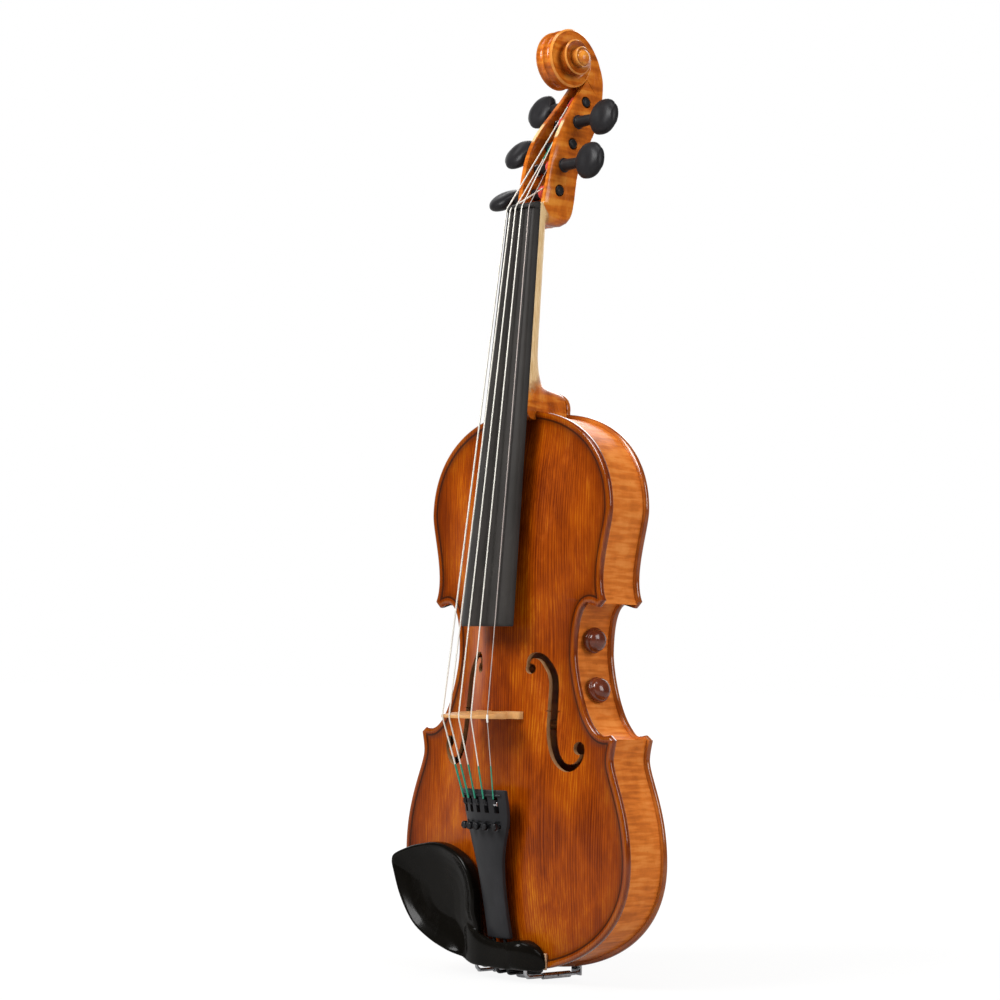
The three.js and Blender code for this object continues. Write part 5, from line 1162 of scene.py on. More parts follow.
@dataclass
class Plate:
    """One arched plate.

    Attributes:
        outline: The body's front view.
        name: The piece's name.
        crest: Y of the edge's crest.
        outward: Y direction that the plate swells to.
        height: How far it swells over the crest.
        thickness: Its thickness in the middle.
        edge: Its thickness at the edge.
        crest_inset: How far inside the edge its crest lies.
        crest_drop: How far the edge rounds down outside the crest.
        channel_inset: How far inside the edge the channel's floor starts.
        channel: Depth of the channel.
        near: Distances of the outer face's rings near the edge.
        far: Places of the others, in shares of the way to the middle.
        inner_far: The same for the inner face.
        inner_near: Distances of the inner face's rings near the edge.
    """

    outline: Outline
    name: str
    crest: float
    outward: int
    height: float
    thickness: float
    edge: float = 3.8
    crest_inset: float = 1.9
    crest_drop: float = 1.5
    channel_inset: float = 7.0
    channel: float = 0.9
    near: tuple = (
        0, 0.18, 0.45, 0.8, 1.2, 1.7, 2.3, 2.9, 3.5, 3.75, 3.95, 4.4, 4.9, 5.15, 5.7, 6.5, 7.5, 8.8, 10.4, 12.4, 15)
    far: tuple = (0.1, 0.22, 0.34, 0.46, 0.58, 0.7, 0.81, 0.91, 1)
    inner_far: tuple = (1, 0.8, 0.6, 0.4, 0.2, 0)
    inner_near: tuple = (11, 8, 4, 0.5, 0)

    def loop(self) -> Array:
        """Returns the plate's own outline."""
        return self.outline.loop()

    def outer(self, x: Array, z: Array, inside: Array) -> Array:
        """Returns Y of the outer face.

        Args:
            x: Places across.
            z: Places along.
            inside: Distance of each place to the edge.

        Returns:
            Y of each place.
        """
        near = np.clip(1 - inside / self.crest_inset, 0, 1)
        fall = self.crest_drop * (1 - np.sqrt(1 - near ** 2)) \
            + self.channel * smooth(self.crest_inset, self.channel_inset, inside)
        swell = self.outline.arch(x, z, self.height) * smooth(3.5, 12, inside)
        return self.crest + self.outward * (swell - fall)

    def inner(self, x: Array, z: Array, inside: Array) -> Array:
        """Returns Y of the inner face at places across and along, given their distance to the edge."""
        seat = self.crest - self.outward * self.edge
        hollow = self.crest + self.outward * (self.outline.arch(x, z, self.height) - self.channel - self.thickness)
        return lerp(seat, hollow, smooth(8, 16, inside))

    def build(self) -> Mesh:
        """Builds the plate's closed skin.

        Returns:
            The plate, before any opening is cut.
        """
        loop = self.loop()
        spine = columns(0.0, loop[:, 2])
        edge = loop[:, :2]
        length = np.linalg.norm(edge - spine, axis=1)
        last = self.near[-1] / length
        shares = [reach / length for reach in self.near] + [lerp(last, 1.0, share) for share in self.far]
        inner = [lerp(last, 1.0, share) for share in self.inner_far]
        inner += [reach / length for reach in self.inner_near]
        rings = []
        for k, share in enumerate(shares + inner):
            at = edge + (spine - edge) * share[:, None]
            inside = distance_to_line(at, edge)
            if k < len(shares):
                y = self.outer(at[:, 0], at[:, 1], inside)
            else:
                y = self.inner(at[:, 0], at[:, 1], inside)
                if k == len(shares) + len(inner) - 1:
                    y = y + self.outward * 0.5
            rings.append(columns(at[:, 0], y, at[:, 1]))
        return loft(self.name, rings, Cap.NONE, split=len(shares) - 1)

    def mark_edge(self, piece: Mesh) -> None:
        """Stores each point's distance to the outline, which draws the inlaid line."""
        points = local(piece)
        line = self.outline.loop()[:, :2]
        away = distance_to_line(points[:, [0, 2]], line)
        away[(points[:, 2] > self.outline.length - 1.2) & (np.abs(points[:, 0]) < 11.5)] = 2.2
        note(piece, "edge", away)


@dataclass
class SoundHole:
    """A sound hole: a swelling stem, an eye at each end and a notch on both sides.

    Attributes:
        outline: The body's front view, whose sizes its shares refer to.
        side: 1 on the treble side, -1 on the bass side.
        width: Width of the stem's middle.
        tip: Width of the stem's ends.
        upper_eye: Radius of the upper eye.
        lower_eye: Radius of the lower eye.
        notch: Half height of a notch.
        upper_at: Place of the upper eye, in shares.
        lower_at: Place of the lower eye, in shares.
        notch_at: Place of the notches, in shares.
        stem: The stem's middle line, in shares.
    """

    outline: Outline
    side: int
    width: float = 7.0
    tip: float = 2.4
    upper_eye: float = 3.3
    lower_eye: float = 4.1
    notch: float = 1.3
    upper_at: tuple[float, float] = (0.282, 0.535)
    lower_at: tuple[float, float] = (0.722, 0.398)
    notch_at: tuple[float, float] = (0.478, 0.461)
    stem: tuple = (
        (0.262, 0.538), (0.268, 0.5505), (0.295, 0.558), (0.348, 0.557), (0.4, 0.546), (0.462, 0.518), (0.474, 0.465),
        (0.484, 0.42), (0.525, 0.385), (0.592, 0.3665), (0.665, 0.3635), (0.728, 0.3735), (0.762, 0.392),
        (0.752, 0.405))

    def at(self, shares: Points) -> Array:
        """Returns places in millimetres for shares of the upper bout and the length."""
        return np.array(shares, float) * np.array([self.outline.upper_bout / 2, self.outline.length])

    def prism(self, name: str, ring: Array, cap: Cap) -> Mesh:
        """Returns a cutter with that front view."""
        ring = ring * np.array([self.side, 1])
        return loft(name, [columns(ring[:, 0], y, ring[:, 1]) for y in (-24.0, 12.0)], cap)

    def cutter(self) -> Mesh:
        """Returns the hole's whole cutter."""
        line = spline(self.at(self.stem), 72)
        half = lerp(self.tip, self.width, np.sin(np.pi * np.linspace(0, 1, len(line))) ** 2.0)[:, None] / 2
        body = self.prism("hole", np.vstack([offset(line, half), offset(line, -half)[::-1]]), Cap.STRIP)
        round_eye = columns(np.cos(circle(40)), np.sin(circle(40)))
        tools = [self.prism("eye", self.at(centre) + radius * round_eye, Cap.FAN)
                 for centre, radius in ((self.upper_at, self.upper_eye), (self.lower_at, self.lower_eye))]
        reach = self.width / 2 + 1.8
        nick = np.array([[reach, 0], [0, self.notch], [-reach, 0], [0, -self.notch]])
        tools.append(self.prism("nick", self.at(self.notch_at) + nick, Cap.FAN))
        body = carve(body, tools, "UNION")
        body.data.materials.clear()
        body.data.materials.append(HOLE_EDGE.material())
        return body


@dataclass
class FrontPlate(Plate):
    """The spruce front plate with its two sound holes."""

    def make(self) -> None:
        """Builds, cuts and dresses the plate."""
        piece = self.build()
        piece.data.materials.append(SPRUCE.material())
        carve(piece, [merged("holes", [SoundHole(self.outline, side).cutter() for side in (-1, 1)])])
        self.mark_edge(piece)
        dress(piece, SPRUCE, nodes=["top_plate"], angle=50, keep=True)


@dataclass
class BackPlate(Plate):
    """The maple back plate with its button.

    Attributes:
        button: Radius of the button.
        button_rise: Height of its middle over the body's top.
    """

    button: float = 11.0
    button_rise: float = 3.0

    def loop(self) -> Array:
        """Returns the outline with the button standing up from its top."""
        centre = np.array([0.0, self.outline.length + self.button_rise])
        right = self.outline.half()
        right = right[np.linalg.norm(right[:, :2] - centre, axis=1) > self.button]
        start = math.atan2(right[-1, 1] - centre[1], right[-1, 0] - centre[0])
        angles = np.linspace(start + 0.06, math.pi / 2, 16)
        arc = columns(self.button * np.cos(angles), centre[1] + self.button * np.sin(angles), right[-1, 2])
        right = np.vstack([right, arc])
        return np.vstack([right, right[::-1][1:-1] * np.array([-1, 1, 1])])

    def make(self) -> None:
        """Builds and dresses the plate."""
        piece = self.build()
        self.mark_edge(piece)
        dress(piece, BACK_MAPLE, nodes=["back_plate"], angle=50)


@dataclass
class Ribs:
    """The five ribs that stand between the plates.

    Attributes:
        outline: The body's front view.
        front: Y of their front edge.
        back: Y of their back edge.
    """

    outline: Outline
    front: float = 3.8
    back: float = 32.2

    def lines(self, distance: float) -> list[Array]:
        """Returns the lower, middle and upper rib's line on the treble side, ended at the corners."""
        lower = stretched(self.outline.inset(0, 2, distance), 7)[1:]
        middle = stretched(self.outline.inset(4, 5, distance), 7)
        upper = stretched(self.outline.inset(7, 8, distance), 7)[:-1]
        lower, middle = trimmed(lower, middle)
        middle, upper = trimmed(middle, upper)
        return [lower, middle, upper]

    def band(self, name: str, outer: Array, inner: Array, node: str) -> None:
        """Builds and dresses one rib.

        Args:
            name: The piece's name.
            outer: Its outer line.
            inner: Its inner line.
            node: The CAD node that it stands for.
        """
        count = max(40, round(run_along(outer)[-1] / 2))
        outer, inner = resample(outer, count), resample(inner, count)
        heights = np.linspace(self.front, self.back, 5)
        rings = [np.array([(*a[:1], y, a[1]) for y in heights] + [(*b[:1], y, b[1]) for y in heights[::-1]])
                 for a, b in zip(outer, inner)]
        piece = loft(name, rings, Cap.STRIP, {"run": np.repeat(run_along(outer), 2 * len(heights))})
        dress(piece, RIB_MAPLE, nodes=[node], angle=40)

    def make(self) -> None:
        """Builds all five ribs."""
        outer, inner = self.lines(self.outline.overhang), self.lines(self.outline.overhang + self.outline.rib)
        flip = np.array([-1, 1])
        lower = [np.vstack([line[::-1] * flip, line[1:]]) for line in (outer[0], inner[0])]
        self.band("lower_rib", *lower, "rib_lower")
        for side, label in ((-1, "bass"), (1, "treble")):
            turn = np.array([side, 1])
            self.band(f"middle_rib_{label}", outer[1] * turn, inner[1] * turn, f"rib_middle_{label}")
            self.band(f"upper_rib_{label}", outer[2] * turn, inner[2] * turn, f"rib_upper_{label}")


# ---- neck and head

@dataclass(frozen=True)
class Board:
    """The lines of the fingerboard, which the neck and the strings follow.

    Attributes:
        nut: Z of the nut's lower edge.
        length: Length of the board.
        nut_width: Width at the nut.
        end_width: Width at the free end.
        nut_y: Y of its crown at the nut.
        slope: How much Y falls for each millimetre along it.
        radius: Radius of its crown.
        edge: Thickness at its sides.
        hollow: Depth of the hollow under its free end.
    """

    nut: float = 486.7
    length: float = 270.0
    nut_width: float = 26.6
    end_width: float = 45.0
    nut_y: float = -4.2
    slope: float = 0.10815
    radius: float = 42.0
    edge: float = 4.9
    hollow: float = 3.4

    def share(self, z: Numbers) -> Numbers:
        """Returns the share of the way from the nut to the free end."""
        return (self.nut - z) / self.length

    def crown(self, z: Numbers) -> Numbers:
        """Returns Y of the crown at a height."""
        return self.nut_y - self.slope * (self.nut - z)

    def half(self, z: Numbers) -> Numbers:
        """Returns half the width at a height."""
        return lerp(self.nut_width, self.end_width, self.share(z)) / 2

    def under(self, z: Numbers) -> Numbers:
        """Returns Y of the underside at a height."""
        at_nut = self.nut_y + sagitta(self.nut_width / 2, self.radius) + self.edge
        at_end = self.crown(self.nut - self.length) + sagitta(self.end_width / 2, self.radius) + self.edge
        return lerp(at_nut, at_end, self.share(z))

    def make(self) -> None:
        """Builds and dresses the fingerboard."""
        end = self.nut - self.length
        stations = [self.nut + 0.0, self.nut - 0.5, *np.linspace(self.nut - 20, end + 12, 16), end + 6, end + 2,
                    end + 0.9, end + 0.25, end]
        rings = []
        for z in stations:
            crown, half, under = self.crown(z), self.half(z), self.under(z)
            tight = 0.35 * (1 - smooth(0, 0.9, z - end)) + 0.2 * smooth(-0.5, 0, z - self.nut)
            half -= tight
            top = [(x, crown + sagitta(x, self.radius) + tight + 0.7 * (abs(x) / half) ** 24, z)
                   for x in crowd(half, 33)]
            lift = self.hollow * smooth(340, 320, z) if z < 340 else 0.0
            lift *= smooth(end, end + 3, z) * 0.25 + 0.75
            low = [(half, under - tight, z), (half - 2.2, under - tight, z)]
            low += [(x, under - tight - lift * (1 - (x / (half - 3)) ** 2), z)
                    for x in np.linspace(half - 3.2, -half + 3.2, 11)]
            low += [(-half + 2.2, under - tight, z), (-half, under - tight, z)]
            rings.append(np.array(top + low))
        dress(loft("fingerboard_blank", rings), BOARD_EBONY, nodes=["fingerboard"], angle=40)


@dataclass
class Nut:
    """The nut over which the strings bend.

    Attributes:
        board: The board that it ends.
        length: Its length along the strings.
        radius: Radius of its crown.
        rise: How far the strings stand over the board's crown.
    """

    board: Board
    length: float = 4.6
    radius: float = 32.0
    rise: float = 2.0

    def string_y(self, x: float) -> float:
        """Returns Y of the strings' underside at a place across."""
        return self.board.nut_y - self.rise + sagitta(abs(x), self.radius)

    def make(self) -> None:
        """Builds and dresses the nut."""
        half = self.board.nut_width / 2
        foot = self.board.under(self.board.nut) - 0.3
        profile = [(0.02, 0.55), (0.0, 0.2), (0.12, 0.03), (0.3, 0.0), (0.5, 0.02), (0.7, 0.14), (0.86, 0.34),
                   (0.96, 0.6), (1.0, 0.86)]
        across = crowd(half, 45)
        grooves = np.exp(-((across[:, None] - np.arange(-2, 3)[None] * 5.3) / 0.55) ** 2).sum(1)
        rings = []
        for along, fall in profile:
            z = self.board.nut + along * self.length
            tops = np.array([self.string_y(x) - 0.15 for x in across])
            tops += 0.35 * grooves * (1 - fall) + 0.8 * (np.abs(across) / half) ** 20
            y = lerp(tops, foot, fall)
            ring = [(x, t, z) for x, t in zip(across, y)] + [(half, foot + 0.01, z), (-half, foot + 0.01, z)]
            rings.append(np.array(ring))
        dress(loft("nut_block", rings), BOARD_EBONY, nodes=["nut"], angle=50)


@dataclass
class Neck:
    """The neck's bare grip and its varnished heel.

    Attributes:
        board: The board that lies on it.
        nut_depth: Depth of the grip at the nut.
        heel_depth: Depth of the grip above the heel.
    """

    board: Board
    nut_depth: float = 10.6
    heel_depth: float = 12.5
    section: tuple = ((1.0, 0.0), (1.0, 0.14), (0.93, 0.45), (0.74, 0.76), (0.42, 0.95), (0.0, 1.0))

    def ring(self, front: Array, back: Array, half: float, full: float) -> Array:
        """Returns a section with a flat front and a round back.

        Args:
            front: Y and Z of its front.
            back: Y and Z of its back.
            half: Half its width.
            full: How far its round back is squared, from 0 to 1.

        Returns:
            The ring's points.
        """
        right = spline(self.section, 22)
        wide = np.clip(right[:, 0], 0, 1)
        wide = lerp(wide, wide ** 0.6, full)
        deep = np.clip(right[:, 1], 0, 1)
        u = np.concatenate([deep, deep[::-1][1:]])
        x = np.concatenate([wide, -wide[::-1][1:]]) * half
        at = front + (back - front) * u[:, None]
        return columns(x, at[:, 0], at[:, 1])

    def make(self) -> None:
        """Builds and dresses the neck, down to its heel on the button."""
        board = self.board
        rings, bare = [], []
        for z in np.linspace(board.nut + 4.4, 402, 26):
            depth = lerp(self.nut_depth, self.heel_depth, (board.nut - z) / (board.nut - 386))
            under = board.under(z) + 0.15
            rings.append(self.ring(np.array([under, z]), np.array([under + depth, z]), board.half(z), 0))
            bare.append(1.0)
        fronts = [(board.under(z) + 0.15, z) for z in (400, 390, 378, 366, 355)]
        fronts += [(-4, 350), (4, 350), (14, 350), (24, 350), (32.1, 350)]
        backs = [(7.3, 400), (6.9, 391.5), (7.8, 383.5), (9.8, 378), (12.2, 374.6), (14.8, 372.8), (18.2, 371.6),
                 (22.6, 370.8), (27.5, 370), (32.1, 369)]
        halves = [16.25, 16.6, 17.0, 17.3, 17.1, 15.9, 14.6, 13.2, 11.8, 10.6]
        shine = [1, 1, 0.85, 0.45, 0.1, 0, 0, 0, 0, 0]
        full = [0, 0.05, 0.2, 0.4, 0.6, 0.8, 0.9, 1, 1, 1]
        for u in np.linspace(0, 9, 46):
            front, back = spline_at(fronts, u)[0], spline_at(backs, u)[0]
            half = spline_at([(h,) for h in halves], u)[0, 0]
            rings.append(self.ring(front, back, half, np.interp(u, range(10), full)))
            bare.append(np.interp(u, range(10), shine))
        piece = loft("neck_and_heel", rings, Cap.FAN, {"bare": np.repeat(bare, len(rings[0]))})
        dress(piece, HEAD_MAPLE, nodes=["neck_and_scroll"], angle=60)


@dataclass
class Head:
    """The pegbox and the scroll.

    Attributes:
        rim: Side view of its open front, in shares of its depth and length.
        back: Side view of its back.
        low: Y and Z where both shares are 0.
        high: Y and Z where both shares are 1.
        width: Width at the nut.
        throat: Width at the throat.
        cheek: Thickness of a cheek.
        floor: Thickness of the floor.
        centre: Y and Z of the scroll's eye.
        turns: Turns of the scroll.
        eye_width: Width over both eyes.
        flute: Depth of the two flutes.
    """

    rim: tuple = ((0, 0), (0.065, 0.16), (0.155, 0.365), (0.27, 0.515), (0.43, 0.64), (0.67, 0.79), (1, 1))
    back: tuple = (
        (0.1, -0.095), (0.3, -0.125), (0.5, -0.12), (0.62, -0.06), (0.66, 0.05), (0.7, 0.24), (0.825, 0.4),
        (1.13, 0.63), (1.343, 0.885), (1.37, 1.01))
    low: tuple[float, float] = (5.7, 489.5)
    high: tuple[float, float] = (47.5, 579.0)
    width: float = 26.0
    throat: float = 16.4
    cheek: float = 3.7
    floor: float = 5.0
    centre: tuple[float, float] = SCROLL_EYE
    turns: float = 2.5
    eye_width: float = 36.0
    flute: float = 2.7
    widths: tuple = ((-0.2, 1.0), (0, 1.0), (0.2, 1.08), (0.4, 1.06), (0.6, 0.93), (0.8, 0.71), (0.9, 0.64), (1, 0.62))
    spiral: tuple = (
        (-45, 36.4), (-33, 32.6), (-23.6, 30.1), (-13.6, 27.4), (-2, 24.6), (20, 21.6), (43, 20.2), (69, 20.0),
        (90, 20.4), (118, 20.7), (150, 21.0), (180, 20.8), (210, 20.0), (240, 19.2), (270, 18.3), (300, 17.2),
        (330, 16.0), (360, 15.0), (400, 14.0), (450, 13.2), (500, 12.8), (540, 12.4), (585, 11.7), (630, 10.9),
        (675, 10.0), (720, 9.1), (765, 8.3), (810, 7.6), (900, 6.7), (990, 6.0))
    swell: tuple = (
        (-45, 1.04), (-25, 1.0), (0, 0.975), (90, 0.98), (180, 0.94), (270, 0.98), (360, 1.16), (450, 1.4), (540, 1.58),
        (630, 1.74), (720, 1.88), (810, 2.0), (900, 2.1), (990, 2.16))
    pairs: tuple = (
        (0, 0), (0.08, 0.6), (0.15, 1), (0.35, 2), (0.6, 3), (1, 4), (2, 5), (3, 6), (4, 6.5), (5, 7.2), (5.6, 7.6),
        (6, 8))

    def at(self, shares: Points) -> Array:
        """Returns Y and Z for shares of the pegbox."""
        low, high = np.array(self.low), np.array(self.high)
        return low + (high - low) * np.asarray(shares, float)

    def half(self, z: float) -> float:
        """Returns half the pegbox's width at a height."""
        share = (z - self.low[1]) / (self.high[1] - self.low[1])
        return smooth_table(self.widths, min(max(share, -0.2), 1.0)) * self.width / 2

    def grooved(self, half: float, depth: float, count: int = 25) -> list[tuple[float, float]]:
        """Returns places across the back with how deep its two flutes lie there."""
        out = []
        for x in np.linspace(1, -1, count):
            deep = math.sin(math.pi * min(abs(x), 1.0)) ** 0.6 if 0 < abs(x) < 1 else 0.0
            out.append((x * half, depth * deep))
        return out

    def box_ring(self, u: float, v: float) -> Array:
        """Returns the pegbox's section between a place on its rim and one on its back.

        Args:
            u: Place on the rim.
            v: Place on the back.

        Returns:
            The ring's points.
        """
        front, back = self.at(spline_at(self.rim, u)[0]), self.at(spline_at(self.back, v)[0])
        way = back - front
        deep = np.linalg.norm(way)
        way /= deep
        half_front, half_back = self.half(front[1]), self.half(back[1])
        corner = lerp(7.5, 1.3, smooth(1.0, 4.2, v))
        flute = lerp(0.3, self.flute, smooth(2.0, 7.0, v))
        opening = smooth(0.16, 0.24, u) * (1 - smooth(5.75, 5.98, u))
        hollow = max((deep - self.floor) * opening, 0.02)
        section = []
        for share in (0.0, 0.04, 0.25, 0.5, 0.8, 1.0):
            section.append((lerp(half_front, half_back, share) - (0.6 if share == 0 else 0.0), share * (deep - corner)))
        for angle in np.linspace(0.2, np.pi / 2 - 0.2, 5):
            section.append((half_back - corner + corner * math.cos(angle), deep - corner + corner * math.sin(angle)))
        across = self.grooved(half_back - corner, flute)
        section += [(x, deep - fall) for x, fall in across]
        mirror = [(-x, d) for x, d in section[:11]][::-1]
        inner = half_front - self.cheek
        inner_back = half_back - self.cheek
        walls = [(-inner - 0.5, 0.0), (-inner, 0.5 * opening)]
        walls += [(-lerp(inner, inner_back, share), hollow * share) for share in (0.3, 0.6, 0.85)]
        walls += [(-inner_back * 0.75, hollow), (0.0, hollow * 1.0)]
        walls += [(-x, d) for x, d in walls[:-1]][::-1]
        section = section + mirror + walls
        return np.array([(x, *(front + way * d)) for x, d in section])

    def scroll_radius(self, angle: float) -> float:
        """Returns the scroll's radius at an angle counted from the back over the top."""
        return smooth_table(self.spiral, math.degrees(angle))

    def scroll_half(self, angle: float) -> float:
        """Returns half the scroll's width at an angle."""
        return smooth_table(self.swell, math.degrees(angle)) * self.throat / 2

    def scroll_ring(self, angle: float) -> Array:
        """Shapes the scroll's section.

        Args:
            angle: Its angle, counted from the back over the top.

        Returns:
            The ring's points.
        """
        outer, half = self.scroll_radius(angle), self.scroll_half(angle)
        turned_by = (angle - math.pi / 2) / (2 * math.pi)
        last = turned_by + 1 > self.turns
        inner = 0.6 if last else min(self.scroll_radius(angle + 2 * math.pi) - 2.0, outer - 2.5)
        share = min(max(turned_by / self.turns, 0.0), 1.0)
        flute, bevel = self.flute * (1 - share) ** 0.7, lerp(1.3, 0.5, share)
        hollow = 2.4 * smooth(-0.05, 0.3, turned_by) * lerp(1, 0.3, share)
        section = [(outer - fall, x) for x, fall in self.grooved(half - bevel, flute)]
        side = [(outer - bevel * 0.9, half), (outer - bevel * 1.1, half)]
        wall = [(lerp(outer - bevel * 1.1, inner, s), half - hollow * math.sin(math.pi * min(s * 0.9, 0.5)))
                for s in (0.08, 0.16, 0.3, 0.45, 0.6, 0.8, 1.0)]
        ring = section + [(r, -x) for r, x in side + wall] + [(r, x) for r, x in (side + wall)[::-1]]
        cos, sin = math.cos(angle), math.sin(angle)
        return np.array([(x, self.centre[0] + r * cos, self.centre[1] + r * sin) for r, x in ring])

    def make(self) -> None:
        """Builds and dresses the pegbox and the scroll, with the pegs' bores."""
        us = np.concatenate(
            [np.linspace(0, 0.15, 5), [0.17, 0.2, 0.23, 0.27], np.linspace(0.33, 5.6, 40), np.linspace(5.65, 6, 12)])
        vs = np.interp(us, *zip(*self.pairs))
        rings = [self.box_ring(u, v) for u, v in zip(us, vs)]
        bare = np.clip(1 - (vs - 0.1) / 0.9, 0, 1)
        count = len(rings[0])
        worn = np.repeat(bare * 0.9, count).reshape(-1, count)
        fronts = [0, count - 14, count - 13, count - 1]
        # the rim's front edges are paled to the bare-wood colour between rim places 2.8 and 4.4
        worn[:, fronts] = np.maximum(worn[:, fronts], (0.85 * smooth(2.8, 3.2, us) * smooth(4.4, 4.0, us))[:, None])
        box = loft("pegbox", rings, Cap.STRIP, {"bare": worn.ravel()})
        carve(box, [drill(4.0, 25, (0, *self.at(peg.shares)), (1, 0, 0)) for peg in PEG_PLACES])
        end = math.pi / 2 + 2 * math.pi * self.turns
        angles = np.linspace(math.radians(-45), end, 230)
        turns = [self.scroll_ring(a) for a in angles]
        count = len(turns[0])
        edges = np.zeros((len(turns), count))
        # the ridge values mark the scroll's chamfered edges for a pale band, partly edge wear and partly painted
        # highlight, fading in over its first turn
        edges[:, [24, 25, 26, count - 1, 0]] = (smooth(40, 90, np.degrees(angles)) * 0.9)[:, None]
        scroll = loft("scroll", turns, values={"ridge": edges.ravel()})
        eyes = []
        for side in (-1, 1):
            dome = [(0, 1.9), (1.5, 1.75), (2.9, 1.35), (4.1, 0.7), (5.0, -0.1), (5.5, -0.9), (5.5, -4), (0, -4)]
            eyes.append(place(turned("eye", dome, 32), (side * self.eye_width / 2, *self.centre), (side, 0, 0)))
        head = merged("pegbox_and_scroll", [box, scroll, *eyes])
        dress(head, HEAD_MAPLE, nodes=["neck_and_scroll"], angle=42)


@dataclass(frozen=True)
class PegPlace:
    """Where one peg stands.

    Attributes:
        string: The string that it winds.
        side: 1 where its head is on the treble side, -1 on the bass side.
        shares: Its place in shares of the pegbox.
        turn: The turn of its head.
    """

    string: str
    side: int
    shares: tuple[float, float]
    turn: float


PEG_PLACES = (
    PegPlace("c", -1, (0.967, 0.833), 0.35), PegPlace("a", 1, (0.737, 0.663), -0.15),
    PegPlace("d", -1, (0.6, 0.49), 0.62), PegPlace("e", 1, (0.388, 0.314), -0.1),
    PegPlace("g", -1, (0.323, 0.126), 0.98))


@dataclass
class Pegs:
    """The five tuning pegs.

    Attributes:
        head: The pegbox that they stand in.
        shaft: Radius at the head's end.
        tip: Radius at the far end.
        collar: Radius of the collar.
        reach: Distance from the cheek to the head.
        length: Length of the head.
        width: Width of the head.
        thickness: Thickness of the head.
        proud: How far the tip stands out.
    """

    head: Head
    shaft: float = 3.9
    tip: float = 3.2
    collar: float = 5.2
    reach: float = 14.0
    length: float = 22.0
    width: float = 24.0
    thickness: float = 8.4
    proud: float = 1.4
    stations: tuple = (
        (0, 0.3, 0.8), (0.05, 0.52, 0.92), (0.12, 0.76, 1.06), (0.25, 0.94, 1.22), (0.42, 1, 1.32), (0.6, 0.99, 1.3),
        (0.76, 0.88, 1.15), (0.9, 0.62, 0.86), (1, 0.14, 0.24))

    def make(self) -> None:
        """Builds and dresses all pegs."""
        for peg in PEG_PLACES:
            self.one(peg)

    def one(self, peg: PegPlace) -> None:
        """Builds and dresses one peg.

        Args:
            peg: Where it stands.
        """
        at = self.head.at(peg.shares)
        cheek = self.head.half(at[1])
        tip, start = -cheek - self.proud, cheek + self.reach
        profile = [
            (0, tip), (self.tip * 0.45, tip + 0.05), (self.tip * 0.8, tip + 0.35), (self.tip, tip + 1.2),
            (self.shaft, cheek + 0.2), (self.collar - 0.5, cheek + 0.5), (self.collar - 0.4, cheek + 1.1),
            (self.shaft, cheek + 1.5), (self.tip + 0.3, start - 1.0), (self.tip + 0.1, start + 0.6),
            (self.tip + 0.4, start + 2.0), (0, start + 2.4)]
        shaft = turned("shaft", rounded(profile, 0.5, 3), 40)
        shaft = place(shaft, (0, 0, 0), (1, 0, 0))
        angles = circle(36)
        shares = np.array(self.stations, float)
        rings = []
        for s in np.concatenate([np.linspace(0, 0.88, 23), [0.91, 0.94, 0.96, 0.975, 0.985, 0.993, 1.0]]):
            wide, thick = (smooth_table(shares[:, [0, k]], s) for k in (1, 2))
            if s > 0.9:
                wide, thick = (v * math.sqrt(max(1 - ((s - 0.9) / 0.1) ** 2, 0.0004)) for v in (0.62, 0.86))
            dish = 0.2 * math.exp(-((s - 0.5) / 0.22) ** 2)
            y = thick * self.thickness / 2 * np.sin(angles)
            z = wide * self.width / 2 * np.cos(angles)
            y *= 1 - dish * np.exp(-(z / (0.26 * self.width)) ** 2)
            rings.append(columns(start + s * self.length, y, z))
        spade = loft("spade", rings)
        piece = merged(f"peg_{peg.string}_turned", [shaft, spade])
        turn = Matrix.Rotation(peg.turn, 4, "X")
        flip = Matrix.Rotation(math.pi, 4, "Z") if peg.side < 0 else Matrix.Identity(4)
        there = Matrix.Translation(Vector((np.array([0, *at]) + SHIFT) * MM))
        back = Matrix.Translation(Vector(-SHIFT * MM))
        piece.data.transform(there @ flip @ turn @ back)
        clean(piece)
        dress(piece, PEG_EBONY, f"{peg.string}_peg", [f"peg_{peg.string}"], angle=50)


# ---- bridge, strings and tail

